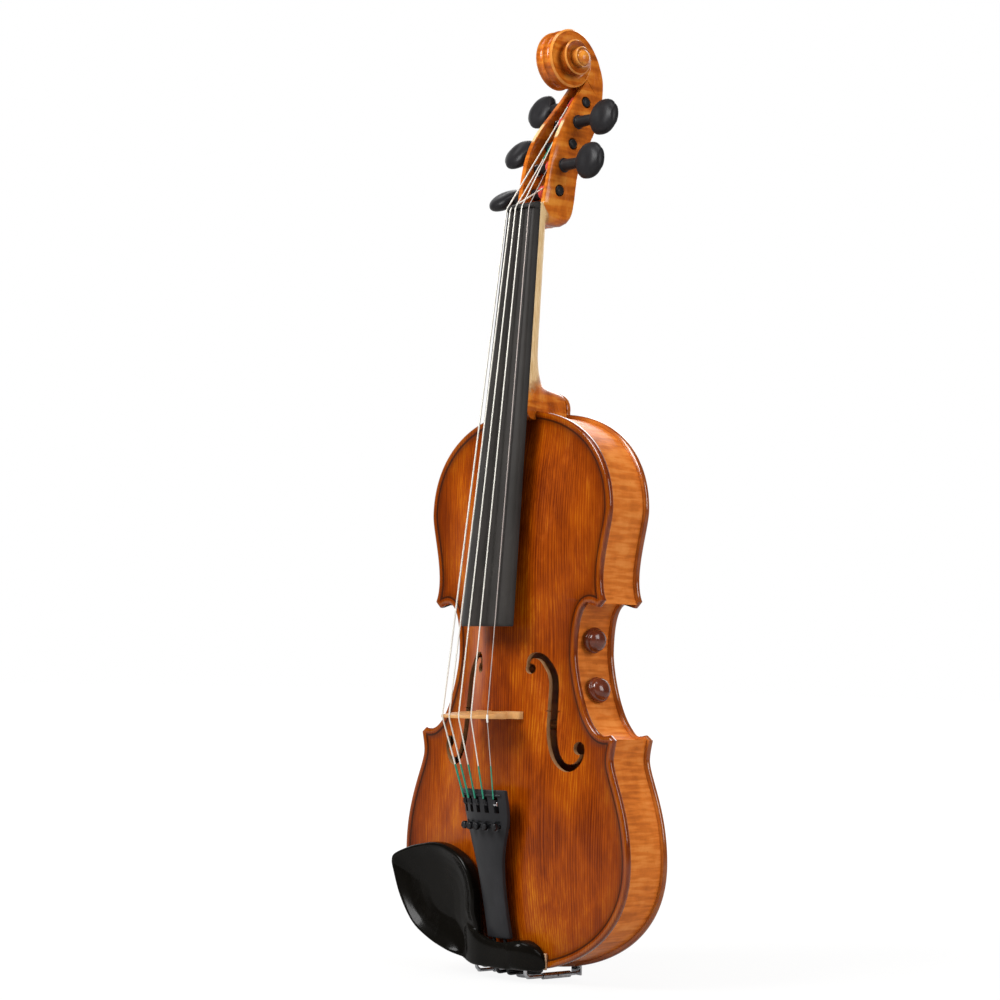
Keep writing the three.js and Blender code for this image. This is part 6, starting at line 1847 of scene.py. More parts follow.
@dataclass
class Bridge:
    """The bridge with its feet, waist cuts and heart.

    Attributes:
        plate: The front plate that it stands on.
        z: Its middle height.
        crown: Y of its top.
        crown_x: Where its crown lies across.
        radius: Radius of its top.
        foot_span: Width over its feet.
        top_span: Width of its top.
        foot_thickness: Thickness at its feet.
        top_thickness: Thickness at its top.
    """

    plate: Plate
    z: float = 0.4522 * 356
    crown: float = -4.2 - 0.10815 * (486.7 - 0.4522 * 356) - 7.18
    crown_x: float = -6.0
    radius: float = 33.0
    foot_span: float = 41.0
    top_span: float = 40.0
    foot_thickness: float = 4.8
    top_thickness: float = 1.6
    side: tuple = ((1, 0), (0.98, 0.1), (0.78, 0.15), (0.72, 0.25), (0.86, 0.33), (1.02, 0.41), (1.03, 0.5))
    arch: tuple = ((0.36, 0), (0.3, 0.12), (0.12, 0.2), (-0.12, 0.2), (-0.3, 0.12), (-0.36, 0))
    heart: tuple = (
        (0, 0.47), (0.14, 0.56), (0.22, 0.68), (0.12, 0.74), (0, 0.69), (-0.12, 0.74), (-0.22, 0.68), (-0.14, 0.56))
    kidney: tuple = ((0.54, 0.3), (0.78, 0.4), (0.84, 0.52), (0.66, 0.56), (0.5, 0.44))

    def top(self, x: float) -> float:
        """Returns Y of the strings' underside at a place across."""
        return self.crown + sagitta(abs(x - self.crown_x), self.radius)

    def face(self, x: float) -> float:
        """Returns Y of the front plate under the bridge at a place across."""
        return 0.9 - self.plate.outline.arch(np.array(x), np.array(self.z), self.plate.height)

    def make(self) -> None:
        """Builds and dresses the bridge."""
        half = self.foot_span / 2
        foot = self.face(half) - 0.3
        tall = foot - self.crown

        def put(shares: Points) -> Array:
            """Returns places across and deep for shares of the bridge."""
            return np.array([(a * half, foot - b * tall) for a, b in shares])

        side = spline(put(self.side), 34)
        under = [(x, self.face(x) - 0.15) for x in np.linspace(half * 0.36, half, 8)]
        arch = spline(put(self.arch), 30)
        crown = [(x, self.top(x) - 0.1) for x in np.linspace(self.top_span / 2, -self.top_span / 2, 40)]
        right = [*under, *side[1:]]
        left = [(-x, y) for x, y in right][::-1]
        ring = np.array([*right, *crown, *left, *arch[::-1][1:-1]])
        low, high = self.z - self.foot_thickness / 2, self.z + self.foot_thickness / 2
        count = len(ring)
        points = np.vstack([columns(ring[:, 0], ring[:, 1], z) for z in (low, high)])
        faces = [list(range(count)), list(range(2 * count - 1, count - 1, -1))]
        faces += [[i, (i + 1) % count, count + (i + 1) % count, count + i] for i in range(count)]
        piece = add_mesh("bridge_blank", points, faces)
        holes = []
        for shares in (self.heart, self.kidney, tuple((-a, b) for a, b in self.kidney)):
            loop = spline(put(shares), 48, closed=True)
            holes.append(loft("hole", [columns(loop[:, 0], loop[:, 1], z) for z in (low - 3, high + 3)]))
        carve(piece, holes)
        self.slice(piece, foot, tall)
        points = local(piece)
        up = np.clip((foot - points[:, 1]) / tall, 0, 1)
        thick = lerp(self.foot_thickness, self.top_thickness, up ** 1.3)
        above = (points[:, 2] - low) / self.foot_thickness
        points[:, 2] = low + above * thick
        store(piece, points)
        change(piece, "BEVEL", width=0.28 * MM, segments=2, limit_method="ANGLE", angle_limit=math.radians(50))
        dress(piece, BRIDGE_MAPLE, nodes=["bridge"], angle=40)

    def slice(self, piece: Mesh, foot: float, tall: float) -> None:
        """Cuts the bridge's faces across at even heights, so that its taper curves."""
        edit(piece)
        for share in np.linspace(0.06, 0.96, 14):
            bpy.ops.mesh.select_all(action="SELECT")
            at = (0.0, (foot - share * tall + SHIFT[1]) * MM, 0.0)
            bpy.ops.mesh.bisect(plane_co=at, plane_no=(0, 1, 0))
        bpy.ops.object.mode_set(mode="OBJECT")


@dataclass(frozen=True)
class StringKind:
    """One string.

    Attributes:
        name: Its note.
        order: Its place from -2 on the bass side to 2.
        radius: Its radius.
        wound_at: Place of its winding across the pegbox, as a share.
        silk: Finish of the silk at its peg.
        silk_length: How far the silk reaches down from its peg.
    """

    name: str
    order: int
    radius: float
    wound_at: float
    silk: Finish
    silk_length: float


STRING_KINDS = (
    StringKind("c", -2, 0.55, -0.15, RED_SILK, 6.0), StringKind("g", -1, 0.5, 0.35, RED_SILK, 3.0),
    StringKind("d", 0, 0.45, -0.2, GREEN_SILK, 16.0), StringKind("a", 1, 0.4, 0.3, RED_SILK, 4.0),
    StringKind("e", 2, 0.3, 0.5, RED_SILK, 3.0))


@dataclass
class Tailpiece:
    """The tailpiece with a slot and a tuner for each string.

    Attributes:
        top: Z of its upper end.
        bottom: Z of its lower end.
        top_y: Y of its crown at the upper end.
        bottom_y: Y of its crown at the lower end.
        crown: How far its sides fall from its crown at the top.
        wall: Its thickness.
        spacing: Distance between strings.
        tuner_drop: Distance of the tuners' screws from its upper end.
        lever_drop: Distance of the levers from its upper end.
    """

    top: float = 0.4522 * 356 - 47
    bottom: float = 20.0
    top_width: float = 40.0
    bottom_width: float = 21.0
    top_y: float = -31.0
    bottom_y: float = -11.0
    crown: float = 5.6
    wall: float = 4.4
    spacing: float = 7.0
    tuner_drop: float = 23.0
    lever_drop: float = 7.5
    rise: float = 2.2
    widths: tuple = ((0, 1), (0.1, 1.0), (0.22, 0.95), (0.34, 0.79), (0.47, 0.65), (0.62, 0.57), (0.8, 0.54), (1, 0.55))

    def share(self, z: float) -> float:
        """Returns the share of the way from the upper to the lower end."""
        return (self.top - z) / (self.top - self.bottom)

    def half(self, z: float) -> float:
        """Returns half the width at a height."""
        wide = smooth_table(self.widths, self.share(z))
        return lerp(self.bottom_width, self.top_width, (wide - 0.55) / 0.45) / 2

    def face(self, x: float, z: float) -> float:
        """Returns Y of the front face."""
        half = self.half(z)
        crown = lerp(self.top_y, self.bottom_y, self.share(z))
        return crown + self.crown * (half / (self.top_width / 2)) ** 2 * (x / half) ** 2

    def lever_z(self) -> float:
        """Returns Z of the levers."""
        return self.top - self.lever_drop

    def tuner_z(self) -> float:
        """Returns Z of the tuners' screws."""
        return self.top - self.tuner_drop

    def lever_top(self, order: int) -> float:
        """Returns Y of the string's end at a lever."""
        return self.face(order * self.spacing, self.lever_z()) - self.rise * 0.8

    def ring(self, z: float, tight: float) -> Array:
        """Shapes the tailpiece's section.

        Args:
            z: Its height.
            tight: How far it is drawn in at a rounded end.

        Returns:
            The ring's points.
        """
        half = self.half(z) - tight
        front = [(x, self.face(x, z) + tight * 0.8 + 0.9 * (abs(x) / half) ** 14, z) for x in crowd(half, 41)]
        back = [(x * 0.98, self.face(x, z) + self.wall - tight * 0.8 - 0.9 * (abs(x) / half) ** 14, z)
                for x in -crowd(half, 41)]
        return np.array(front + back)

    def make(self) -> None:
        """Builds and dresses the tailpiece and its tuners."""
        ends = ((0.0, 0.8), (0.08, 0.45), (0.3, 0.18), (0.6, 0.04), (1.0, 0.0))
        stations = [(self.top - d, t) for d, t in ends]
        stations += [(z, 0.0) for z in np.linspace(self.top - 3, self.bottom + 3, 40)]
        stations += [(self.bottom + d, t) for d, t in ends[::-1]]
        piece = loft("tailpiece_shell", [self.ring(z, t) for z, t in stations], Cap.STRIP)
        cutters = []
        for order in range(-2, 3):
            x = order * self.spacing
            face = self.face(x, self.tuner_z())
            slot = block("slot", (x - 1.7, face - 12, self.top - 14.6), (x + 1.7, face + 12, self.top - 4.4), 0.5)
            cutters += [slot, drill(1.5, 6, (x, face + 2, self.tuner_z()), (0, 1, 0), 24)]
            dish = turned("dish", [(0, 0.7), (2.6, 0.7), (3.5, 0), (3.5, -2), (0, -2)], 32)
            cutters.append(place(dish, (x, face, self.tuner_z()), (0, 1, 0)))
        carve(piece, cutters)
        dress(piece, COMPOSITE, nodes=["tailpiece"], angle=35)
        z, turn = self.top - 3.4, circle(16)
        ridge = [columns(x, self.face(x, z) - 0.1 - 0.75 * np.sin(turn), z + 0.8 * np.cos(turn))
                 for x in np.linspace(-self.half(z) + 2, self.half(z) - 2, 40)]
        dress(loft("tailpiece_ridge", ridge), COMPOSITE, angle=60)
        for kind in STRING_KINDS:
            self.tuner(kind)

    def tuner(self, kind: StringKind) -> None:
        """Builds and dresses one tuner's knob.

        Args:
            kind: The string that it tunes.
        """
        x = kind.order * self.spacing
        base = self.face(x, self.tuner_z()) - self.rise
        teeth, radius, height = 18, 2.4, 3.0
        angles = circle(teeth * 4)
        ripple = 0.13 * np.cos(angles * teeth)
        profile = ((0.0, 0.6, 0), (0.0, 0.86, 0.3), (0.12, 0.95, 1), (0.85, 0.96, 1), (0.93, 0.9, 0.6),
                   (1.0, 0.78, 0), (1.0, 0.6, 0), (0.93, 0.52, 0), (0.93, 0.2, 0))
        rings = []
        for up, wide, knurl in profile:
            r = radius * wide + ripple * knurl
            rings.append(columns(x + r * np.cos(angles), base - up * height, self.tuner_z() + r * np.sin(angles)))
        knob = loft("knob", rings)
        dress(knob, BLACK_METAL, f"{kind.name}_tuner_knob", [f"tuner_knob_{kind.name}"], angle=30)
        knob.name = knob.data.name = f"tuner_knob_{kind.name}_knurled"


@dataclass
class Strings:
    """The five strings, from the tuners over bridge and nut to their pegs.

    Attributes:
        nut: The nut that they lie on.
        bridge: The bridge that they lie on.
        tail: The tailpiece that holds them.
        head: The pegbox with their pegs.
        nut_spacing: Distance between them at the nut.
        bridge_spacing: Distance between them at the bridge.
        wound_radius: Radius of the pegs' shafts under their turns.
        turns: Turns on a peg.
        bend: How far from bridge and nut their bends start.
        silk_tail: Z of the upper end of the silk at the tailpiece.
        sleeve: How far the E string's sleeve reaches below and above the bridge.
        sleeve_radius: Radius of that sleeve.
    """

    nut: Nut
    bridge: Bridge
    tail: Tailpiece
    head: Head
    nut_spacing: float = 5.3
    bridge_spacing: float = 8.5
    wound_radius: float = 3.9
    turns: float = 4.25
    bend: float = 1.8
    silk_tail: float = 130.0
    sleeve: tuple[float, float] = (6.0, 1.5)
    sleeve_radius: float = 0.66

    def route(self, kind: StringKind) -> tuple[Array, Array]:
        """Finds the way of one string.

        Args:
            kind: The string.

        Returns:
            Its straight way to the peg, and its turns on the peg.
        """
        peg = next(p for p in PEG_PLACES if p.string == kind.name)
        at = self.head.at(peg.shares)
        inner = self.head.half(at[1]) - self.head.cheek
        peg_x = kind.wound_at * inner
        nut_x = kind.order * self.nut_spacing
        nut = np.array([nut_x, self.nut.string_y(nut_x) - kind.radius, self.nut.board.nut + 1.15])
        clear = self.wound_radius + kind.radius + 0.12
        to_peg = np.array([at[0] - nut[1], at[1] - nut[2]])
        lean = math.atan2(to_peg[1], to_peg[0]) + math.asin(clear / np.linalg.norm(to_peg))
        run = math.sqrt(to_peg.dot(to_peg) - clear ** 2)
        end = np.array([peg_x, nut[1] + run * math.cos(lean), nut[2] + run * math.sin(lean)])
        x = kind.order * self.bridge_spacing
        over = np.array([x, self.bridge.top(x) - kind.radius, self.bridge.z - 1.6])
        tail_x = kind.order * self.tail.spacing
        start = np.array([tail_x, self.tail.lever_top(kind.order), self.tail.lever_z() + 1.9])
        way = rounded([start, over, nut, end], self.bend, 6)
        begin = math.atan2(end[2] - at[1], end[1] - at[0])
        turned_by = self.turns * np.linspace(0, 1, 120)
        angle = begin - 2 * np.pi * turned_by
        pitch = 2 * kind.radius + 0.25
        step = -math.copysign(1, kind.wound_at) if abs(kind.wound_at) > 0.25 else -peg.side
        coil = columns(peg_x + step * pitch * turned_by, at[0] + clear * np.cos(angle), at[1] + clear * np.sin(angle))
        return np.array(way), coil

    def make(self) -> None:
        """Builds and dresses all strings."""
        for kind in STRING_KINDS:
            self.one(kind)

    def one(self, kind: StringKind) -> None:
        """Builds and dresses one string: its wire, its silk and its end.

        Args:
            kind: The string.
        """
        way, coil = self.route(kind)
        dense = resample(way, 260)
        dress(
            tube(f"string_{kind.name}_wire", dense, kind.radius, 12, extra=True),
            STEEL_WIRE if kind.name == "e" else WIRE, nodes=[f"string_{kind.name}"], angle=60)
        z = dense[:, 2]
        tail = dense[z < self.silk_tail]
        dress(tube(f"string_{kind.name}_tail_silk", tail, kind.radius + 0.13, 12, extra=True), GREEN_SILK, angle=60)
        straight = resample(dense[z > self.nut.board.nut + 6], 200)
        left = np.linalg.norm(straight - straight[-1], axis=1)
        peg_way = resample(np.vstack([straight[left < kind.silk_length], coil[1:]]), 200)
        dress(tube(f"string_{kind.name}_peg_silk", peg_way, kind.radius + 0.12, 12, extra=True), kind.silk, angle=60)
        x, y, low = dense[0]
        profile = [(0, -1.5), (1.45, -1.5), (1.7, -0.9), (1.2, 0), (1.7, 0.9), (1.45, 1.5), (0, 1.5)]
        ball = turned("ball", rounded(profile, 0.3, 3), 28)
        piece = place(ball, (x, y + 2.6, low - 3.0), (1, 0, 0))
        piece.name = piece.data.name = f"string_{kind.name}_ball"
        dress(piece, CHROME if kind.name == "e" else BLACK_METAL, angle=40)
        if kind.name == "e":
            near = dense[(z > self.bridge.z - self.sleeve[0]) & (z < self.bridge.z + self.sleeve[1])]
            line = np.linspace(near[0], near[-1], 16)
            line[:, 1] = np.interp(line[:, 2], near[:, 2], near[:, 1])
            dress(tube("string_e_sleeve", line, self.sleeve_radius, 16, extra=True), WHITE_SLEEVE, angle=60)


@dataclass
class TailHardware:
    """The saddle, the tailgut and the end pin with its socket.

    Attributes:
        tail: The tailpiece that the tailgut holds.
        pin_y: Y of the end pin.
        groove: Z of the tailgut's turn round the pin.
        gut_radius: Radius of the tailgut.
        gut_x: Distance of its strands from the middle.
        saddle_half: Half the saddle's width.
        saddle_rise: How far the saddle stands over the plate's edge.
        saddle_top: Z of its upper face.
        seat: Y of its underside.
    """

    tail: Tailpiece
    pin_y: float = 18.0
    groove: float = 2.8 - 6.2 + 1.35
    gut_radius: float = 1.1
    gut_x: float = 5.0
    saddle_half: float = 17.0
    saddle_rise: float = 3.4
    saddle_top: float = 6.4
    seat: float = 3.8

    def make(self) -> None:
        """Builds and dresses all three."""
        self.saddle()
        self.gut()
        self.pin()

    def saddle(self) -> None:
        """Builds the saddle in the front plate's edge."""
        rings, corner, seat, top = [], 0.8, self.seat, self.saddle_top
        for x in np.linspace(-self.saddle_half, self.saddle_half, 49):
            rise = self.saddle_rise * smooth(0, 0.75, 1 - abs(x) / self.saddle_half)
            rings.append(np.array([
                (x, seat, 0.1), (x, -rise + corner, 0.0), (x, -rise + 0.25, 0.25), (x, -rise, corner),
                (x, -rise, top - 1.4), (x, -rise + 0.3, top - 0.4), (x, -rise + 1.0, top), (x, seat, top)]))
        dress(loft("saddle_block", rings), BOARD_EBONY, nodes=["saddle"], angle=45)

    def gut(self) -> None:
        """Builds the tailgut from the tailpiece over the saddle and round the pin."""
        clear = self.gut_radius + 0.3
        over = -self.saddle_rise - clear
        start = self.tail.bottom_y + self.tail.wall / 2 + self.tail.crown / 8
        loop = 6.4 + clear
        x = self.gut_x
        right = [(x, start, 24.4), (x, start, 19), (x, lerp(start, over, 0.8), self.saddle_top + clear),
                 (x, over, 3.2), (x, over, 0), (x, over + clear, self.groove),
                 (x + clear / 2, self.seat, self.groove), (loop, self.pin_y, self.groove)]
        turn = [(loop * math.cos(math.pi * s), self.pin_y + loop * math.sin(math.pi * s), self.groove)
                for s in (0.25, 0.5, 0.75)]
        left = [(-x, y, z) for x, y, z in right][::-1]
        dress(tube("tailgut_cord", spline([*right, *turn, *left], 180), self.gut_radius, 16), CORD_BLACK,
              nodes=["tailgut"], angle=60)

    def pin(self) -> None:
        """Builds the end pin, hollow for its plug."""
        profile = [
            (3.25, 21), (5.9, 21), (5.9, 2.5), (7.9, 2.5), (8.3, 2.0), (8.3, self.groove + 1.75),
            (7.9, self.groove + 1.35), (6.4, self.groove + 1.35), (6.4, self.groove - 1.35), (7.9, self.groove - 1.35),
            (8.3, self.groove - 1.75), (8.3, -5.6), (7.8, -6.1), (4.4, -6.1), (4.0, -5.4), (3.6, -5.4), (3.25, -5.0),
            (3.25, 21)]
        piece = place(turned("end_pin_sleeve", profile, 64), (0, self.pin_y, 0))
        dress(piece, CHROME, nodes=["end_pin_jack"], angle=40)


# ---- chinrest, clamps and controls

@dataclass
class Chinrest:
    """The dished chinrest, its arm over the tailpiece, its pad and its two clamps.

    Attributes:
        outline: The body's front view.
        rim: Y of the rim.
        dish: Depth of the dish.
        under: Y of the underside.
        arm_under: Y of the arm's underside.
        arm_end: X of the pad's end.
        bowl: The plate's outline, in shares of the body.
        middle: Where its dish is deepest, in shares.
        tops: Y of the arm's front by X.
        highs: Z of the arm's upper side by X.
        clamps: X of each clamp.
    """

    outline: Outline
    rim: float = -19.0
    dish: float = 6.5
    under: float = -7.5
    arm_under: float = -13.2
    arm_end: float = 36.2
    bowl: tuple = (
        (-0.05, 0.0056), (-0.18, 0.0112), (-0.39, 0.0253), (-0.56, 0.042), (-0.714, 0.0674), (-0.838, 0.112),
        (-0.914, 0.16), (-0.93, 0.178), (-0.9, 0.19), (-0.757, 0.205), (-0.647, 0.212), (-0.533, 0.2165),
        (-0.42, 0.2135), (-0.276, 0.197), (-0.19, 0.171), (-0.145, 0.135), (-0.137, 0.095), (-0.12, 0.05))
    middle: tuple[float, float] = (-0.48, 0.112)
    tops: tuple = (
        (-44, -10.2), (-36, -11.6), (-29, -13.3), (-23, -15.6), (-17, -17.1), (-10, -17.8), (4, -17.4), (14, -17.0),
        (20, -16.7), (25, -15.4), (29.5, -12.6), (33, -8.6), (35.2, -5.0), (36.2, -2.2))
    highs: tuple = (
        (-44, 27.0), (-36, 29.0), (-28, 29.5), (-20, 26.5), (-13, 23.0), (-2, 19.5), (8, 18.4), (14, 18.8), (19, 20.2),
        (24, 20.6), (28, 19.4), (32, 17.0), (35, 13.0), (36.2, 8.0))
    clamps: tuple = (("treble", 24.0), ("bass", -22.0))

    def place(self, shares: Points) -> Array:
        """Returns X and Z for shares of the body."""
        return np.array(shares, float) * np.array([self.outline.lower_bout / 2, self.outline.length])

    def bowl_piece(self) -> Mesh:
        """Returns the dished plate."""
        loop = spline(self.place(self.bowl), 144, closed=True)
        middle = self.place(self.middle)
        steps = [
            (0.97, self.under), (0.6, self.under), (0.3, self.under), (0.1, self.under - 0.3),
            (0.03, self.under - 1.6), (0.0, self.under - 4.2), (0.0, self.rim + 3.0), (0.004, self.rim + 1.4),
            (0.018, self.rim + 0.45), (0.038, self.rim + 0.06), (0.055, self.rim), (0.072, self.rim + 0.1),
            (0.095, self.rim + 0.55), (0.14, self.rim + 1.5), (0.22, self.rim + 3.0), (0.34, self.rim + 4.5),
            (0.5, self.rim + 5.6), (0.7, self.rim + 6.3), (0.97, self.rim + self.dish)]
        across, up = loop[:, 0] / (self.outline.lower_bout / 2), loop[:, 1] / self.outline.length
        low = smooth(-0.38, -0.2, across) * smooth(0.105, 0.06, up)
        rings = []
        for reach, y in steps:
            at = loop + (middle - loop) * reach
            heights = np.full(len(at), y)
            if y < self.under - 4:
                heights = lerp(heights, np.maximum(heights, self.rim + 4.6), low * (1 - reach) ** 2)
            rings.append(columns(at[:, 0], heights, at[:, 1]))
        return loft("bowl", rings)

    def arm_section(self, x: float) -> Array:
        """Shapes the arm's rounded section.

        Args:
            x: Its place across.

        Returns:
            The ring's points.
        """
        top, high = smooth_table(self.tops, x), smooth_table(self.highs, x)
        foot = smooth(13.0, 19.0, x)
        bottom = lerp(self.arm_under, -1.5, foot)
        low = 2.0 + 1.6 * smooth(33, self.arm_end, x) + 6.0 * smooth(-14, -44, x)
        centre_y, centre_z = (top + bottom) / 2, (high + low) / 2
        half_y, half_z = max((bottom - top) / 2, 0.2), max((high - low) / 2, 0.5)
        ring = []
        for angle in np.linspace(0, 2 * np.pi, 48, endpoint=False):
            cos, sin = math.cos(angle), math.sin(angle)
            power = 0.62 if cos < 0 else 0.3
            y = centre_y + math.copysign(abs(cos) ** power, cos) * half_y
            z = centre_z + math.copysign(abs(sin) ** 0.62, sin) * half_z
            ring.append((x, y, z))
        return np.array(ring)

    def make(self) -> None:
        """Builds and dresses the chinrest, its cork and its clamps."""
        xs = np.concatenate([np.linspace(-44, 12, 46), np.linspace(13, 20, 15), np.linspace(20.8, 34.9, 28),
                             np.linspace(35.2, self.arm_end, 8)])
        arm = loft("arm", [self.arm_section(x) for x in xs])
        foot = block("foot", (-31, self.under - 1, 4), (-17.5, -1.5, 11), 0.5)
        piece = blended(merged("chinrest_body", [self.bowl_piece(), arm, foot]), 0.5, 9)
        dress(piece, GLOSS_EBONY, nodes=["chinrest"], angle=38)
        for label, low, high in (("treble", (18.4, -1.52, 2.8), (36.0, -0.1, 13.0)),
                                 ("bass", (-30.6, -1.52, 4.2), (-17.9, -0.1, 10.8))):
            cork = block(f"cork_{label}", low, high, 0.25)
            dress(cork, CORK, angle=40)
        for label, x in self.clamps:
            self.clamp(label, x)

    def clamp(self, label: str, x: float) -> None:
        """Builds and dresses one clamp: its hook, its barrel and its foot.

        Args:
            label: The side that it stands on.
            x: Its place across.
        """
        z, rod = -2.6, 1.15
        route = [(x, -7.5, 5.15), (x, -7.5, 0), (x, -5.5, -2.0), (x, -3.5, z), (x, 16.6, z)]
        hook = tube(f"clamp_hook_{label}_bent", spline(route, 60), rod, 20, extra=True)
        dress(hook, CHROME, nodes=[f"clamp_hook_{label}"], angle=60)
        profile = [(1.45, 0), (1.7, 0), (2.1, 0.5), (2.1, 2.2), (1.8, 2.5), (1.8, 2.9), (2.1, 3.2), (2.1, 20.8),
                   (1.8, 21.1), (1.8, 21.5), (2.1, 21.8), (2.1, 23.5), (1.7, 24), (1.45, 24), (1.45, 0)]
        barrel = place(turned("barrel", profile, 48), (x, 7, z), (0, 1, 0))
        carve(barrel, [drill(0.72, 6, (x, 19, z), axis, 20) for axis in ((1, 0, 0), (0, 0, 1))])
        barrel.name = barrel.data.name = f"clamp_barrel_{label}_turned"
        dress(barrel, CHROME, f"{label}_barrel", [f"clamp_barrel_{label}"], angle=35)
        stem = tube("stem", np.array([(x, 21.4, z), (x, 30, z), (x, 36.4, z), (x, 36.9, z)]), rod, 20, extra=True)
        plate = block("plate", (x - 4.5, 36.3, z - rod), (x + 4.5, 37.5, z + rod + 7), 0.35)
        foot = merged(f"clamp_foot_{label}_plate", [plate, stem])
        dress(foot, CHROME, f"{label}_foot", [f"clamp_foot_{label}"], angle=35)


@dataclass
class Controls:
    """The two turned knobs on the treble rib.

    Attributes:
        outline: The body's front view, whose rib they stand on.
        radius: Radius of a knob.
        height: Height of a knob.
        y: Y of their axes.
        heights: Z of each knob by name.
    """

    outline: Outline
    radius: float = 8.2
    height: float = 8.6
    y: float = 17.0
    heights: dict[str, float] = field(default_factory=lambda: {"volume": 0.5646 * 356 + 8, "tone": 0.5646 * 356 - 23})

    def seat(self, z: float) -> tuple[Array, Array]:
        """Finds the rib's outer face.

        Args:
            z: The height.

        Returns:
            The place on the face, and its outward direction.
        """
        line = self.outline.half(4, 5)[:, :2]
        above = int(np.argmax(line[:, 1] > z))
        low, high = line[above - 1], line[above]
        at = low + (high - low) * (z - low[1]) / (high[1] - low[1])
        out = np.array([high[1] - low[1], low[0] - high[0]])
        out /= np.linalg.norm(out)
        at = at - out * self.outline.overhang
        return np.array([at[0], self.y, at[1]]), np.array([out[0], 0, out[1]])

    def make(self) -> None:
        """Builds and dresses both knobs."""
        base, r, h = 1.2, self.radius, self.height
        profile = [
            (0, -9), (3, -9), (3, base), (0.8 * r, base), (0.93 * r, base + 0.3), (r, base + 1.1), (r, base + 2.5),
            (0.96 * r, base + 3.2), (0.87 * r, base + 3.7), (0.855 * r, base + 4.3), (0.84 * r, base + 5.2),
            (0.78 * r, base + 6.2), (0.66 * r, base + 7.2), (0.5 * r, base + 7.9), (0.3 * r, base + 8.4),
            (0.12 * r, base + h), (0, base + h)]
        for label, z in self.heights.items():
            at, out = self.seat(z)
            knob = place(turned(f"{label}_knob_turned", rounded(profile, 0.45, 3), 72), at, out)
            dress(knob, KNOB_WOOD, label, [f"{label}_knob"], angle=45)


KEPT_NODES: dict[str, tuple[str, ...]] = {
    "inside": ("corner_block_lower_bass", "corner_block_lower_treble", "corner_block_upper_bass",
               "corner_block_upper_treble", "neck_block", "end_block", "sound_post", "bass_bar"),
    "metal": ("pickup", "volume_potentiometer", "tone_potentiometer",
              *(f"tuner_{part}_{string}" for part in ("lever", "screw") for string in "cgdae")),
}


def dress_kept_nodes() -> None:
    """Gives the CAD nodes that stay their materials."""
    for key, look in (("inside", INSIDE_WOOD), ("metal", BLACK_METAL)):
        for name in KEPT_NODES[key]:
            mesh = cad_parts[name].data
            mesh.materials.clear()
            mesh.materials.append(look.material())
            LOG.info("%s keeps its CAD shape in %s", name, look.name)


# ---- the studio

def direction(azimuth: float, elevation: float) -> Array:
    """Returns the way to a place seen from the instrument, from angles in radians."""
    flat = math.cos(elevation)
    return np.array([math.sin(azimuth) * flat, -math.cos(azimuth) * flat, math.sin(elevation)])


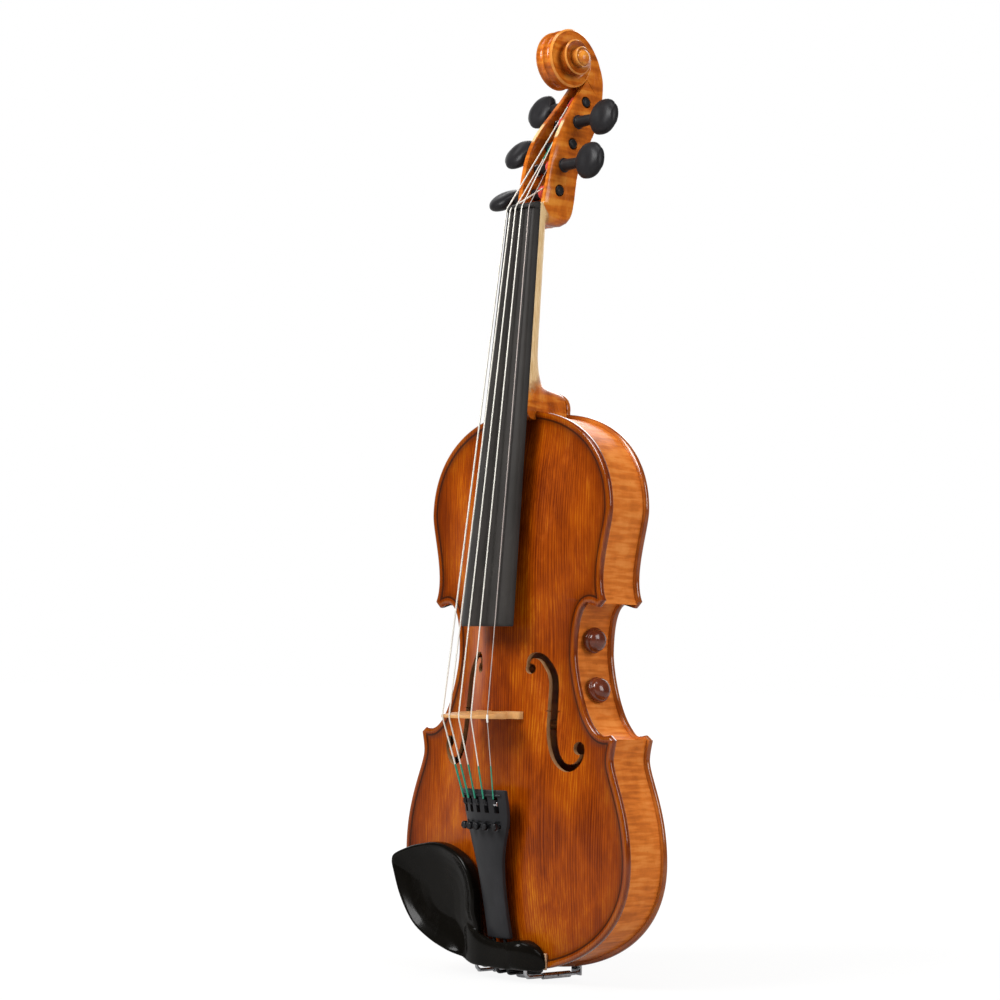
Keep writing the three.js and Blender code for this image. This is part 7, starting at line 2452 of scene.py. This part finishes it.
@dataclass
class Studio:
    """The floor, the lights and the camera.

    Attributes:
        azimuth: The camera's direction in degrees, from the front towards the treble side.
        elevation: Its height over the level in degrees.
        roll: Its roll in degrees.
        distance: Its distance from what it looks at.
        target: What it looks at, in instrument millimetres.
        lens: Its focal length on 36 mm film.
        ambient: Strength of the even light.
        room: Brightness of the room before the instrument, as its gloss mirrors it.
    """

    azimuth: float = 48.2
    elevation: float = -3.85
    roll: float = 1.14
    distance: float = 1611.17
    target: tuple[float, float, float] = (-17.01, 0.0, 299.15)
    lens: float = 89.45
    ambient: float = 0.35
    room: float = 0.06

    def make(self) -> None:
        """Builds the studio."""
        self.camera()
        self.floor()
        self.world()
        self.lamps()
        bpy.context.scene.view_settings.view_transform = "Standard"

    def axes(self) -> tuple[Array, Array, Array]:
        """Returns the camera's right, up and backward directions."""
        az, el, roll = (math.radians(v) for v in (self.azimuth, self.elevation, self.roll))
        back = direction(az, el)
        right = np.array([math.cos(az), math.sin(az), 0.0])
        up = np.cross(back, right)
        return (math.cos(roll) * right + math.sin(roll) * up, -math.sin(roll) * right + math.cos(roll) * up, back)

    def camera(self) -> None:
        """Adds the camera where the photograph was taken from."""
        right, up, back = self.axes()
        at = (np.array(self.target) + SHIFT + back * self.distance) * MM
        data = bpy.data.cameras.new("photo_camera")
        data.lens, data.sensor_width = self.lens, 36.0
        data.clip_start, data.clip_end = 0.05, 50.0
        camera = added("photo_camera", data)
        turn = Matrix((right, up, back)).transposed().to_4x4()
        camera.matrix_world = Matrix.Translation(Vector(at)) @ turn
        bpy.context.scene.camera = camera

    def shown_white(self, w: Wiring) -> Socket:
        """Returns a mask of the rays that see the background as plain white."""
        path = w.node("ShaderNodeLightPath").outputs
        seen = w.math("ADD", path["Is Camera Ray"], w.times(path["Is Glossy Ray"], 0.2))
        return w.math("ADD", seen, path["Is Transmission Ray"], clamp=True)

    def floor(self) -> None:
        """Adds the pale floor, which keeps the instrument's shadow."""
        bpy.ops.object.select_all(action="DESELECT")
        bpy.ops.mesh.primitive_plane_add(size=30.0, location=(0, 0, 0))
        floor = bpy.context.object
        floor.name = floor.data.name = "studio_floor"
        made, w = new_material("studio_floor")
        at = w.node("ShaderNodeTexCoord").outputs["Object"]
        colour = w.ramp(w.noise(at, 6.0, 2.0), ((0.0, (176, 175, 173)), (0.5, (182, 181, 179)), (1.0, (188, 187, 185))))
        lit = w.node("ShaderNodeBsdfDiffuse", {"Color": colour})
        glow = w.node("ShaderNodeEmission", {"Color": (1, 1, 1, 1), "Strength": 1.1})
        share = w.times(self.shown_white(w), w.span(w.length(at), 0.12, 1.1, 0.83, 1.0))
        mix = w.node("ShaderNodeMixShader", {0: share, 1: lit.outputs[0], 2: glow.outputs[0]})
        w.node("ShaderNodeOutputMaterial", {0: mix.outputs[0]})
        floor.data.materials.append(made)

    def world(self) -> None:
        """Sets a white backdrop behind the instrument, a dim room before it and a soft even light."""
        world = bpy.data.worlds.new("studio_world")
        world.use_nodes = True
        bpy.context.scene.world = world
        w = Wiring(world.node_tree)
        path = w.node("ShaderNodeLightPath").outputs
        az = math.radians(self.azimuth)
        way = w.node("ShaderNodeTexCoord").outputs["Generated"]
        front = w.node("ShaderNodeVectorMath", {0: way, 1: (math.sin(az), -math.cos(az), 0.0)},
                       operation="DOT_PRODUCT").outputs["Value"]
        mirrored = w.span(front, -0.8, -0.4, 1.0, self.room)
        glossy = w.times(path["Is Glossy Ray"], w.minus(mirrored, self.ambient))
        level = w.math("ADD", glossy, self.ambient)
        white = w.math("MAXIMUM", path["Is Camera Ray"], path["Is Transmission Ray"])
        shade = w.node("ShaderNodeBackground", {"Color": (1, 1, 1, 1), "Strength": w.math("MAXIMUM", level, white)})
        w.node("ShaderNodeOutputWorld", {0: shade.outputs[0]})

    def lamp(self, name: str, azimuth: float, elevation: float, distance: float, size: float,
             power: float) -> None:
        """Adds one soft square lamp aimed at the instrument.

        Args:
            name: The lamp's name.
            azimuth: Its direction in degrees, from the front towards the treble side.
            elevation: Its height in degrees.
            distance: Its distance in metres.
            size: Its width in metres.
            power: Its power in watts.
        """
        way = Vector(direction(math.radians(azimuth), math.radians(elevation)))
        data = bpy.data.lights.new(name, "AREA")
        data.shape, data.size, data.energy = "SQUARE", size, power
        lamp = added(name, data)
        lamp.location = Vector((0, 0, 0.3)) + way * distance
        lamp.rotation_euler = way.to_track_quat("Z", "Y").to_euler()

    def lamps(self) -> None:
        """Adds the key, the fill, the top and the back light."""
        for name, azimuth, elevation, distance, size, power in (
                ("key_light", -8, 34, 1.9, 0.8, 36), ("fill_light", 100, 18, 1.9, 0.9, 15),
                ("top_light", 40, 72, 1.8, 0.7, 7), ("back_light", 215, 30, 2.0, 1.2, 14)):
            self.lamp(name, azimuth, elevation, distance, size, power)


def main() -> None:
    """Builds every sub-assembly in order and reports each piece."""
    logging.basicConfig(level=logging.INFO, format="%(name)s: %(message)s")
    GROUPS.update(grain=grain_group(), flame=flame_group(), patina=patina_group(), relief=relief_group())
    Studio().make()
    outline = Outline()
    front = FrontPlate(outline, "front_plate", 0.0, -1, 12.8, 3.0)
    front.make()
    BackPlate(outline, "arched_back", 36.0, 1, 11.2, 3.8).make()
    Ribs(outline).make()
    board, head, tail = Board(), Head(), Tailpiece()
    board.make()
    nut = Nut(board)
    nut.make()
    Neck(board).make()
    head.make()
    Pegs(head).make()
    bridge = Bridge(front)
    bridge.make()
    tail.make()
    Strings(nut, bridge, tail, head).make()
    TailHardware(tail).make()
    Chinrest(outline).make()
    Controls(outline).make()
    dress_kept_nodes()


if __name__ == "__main__":
    main()
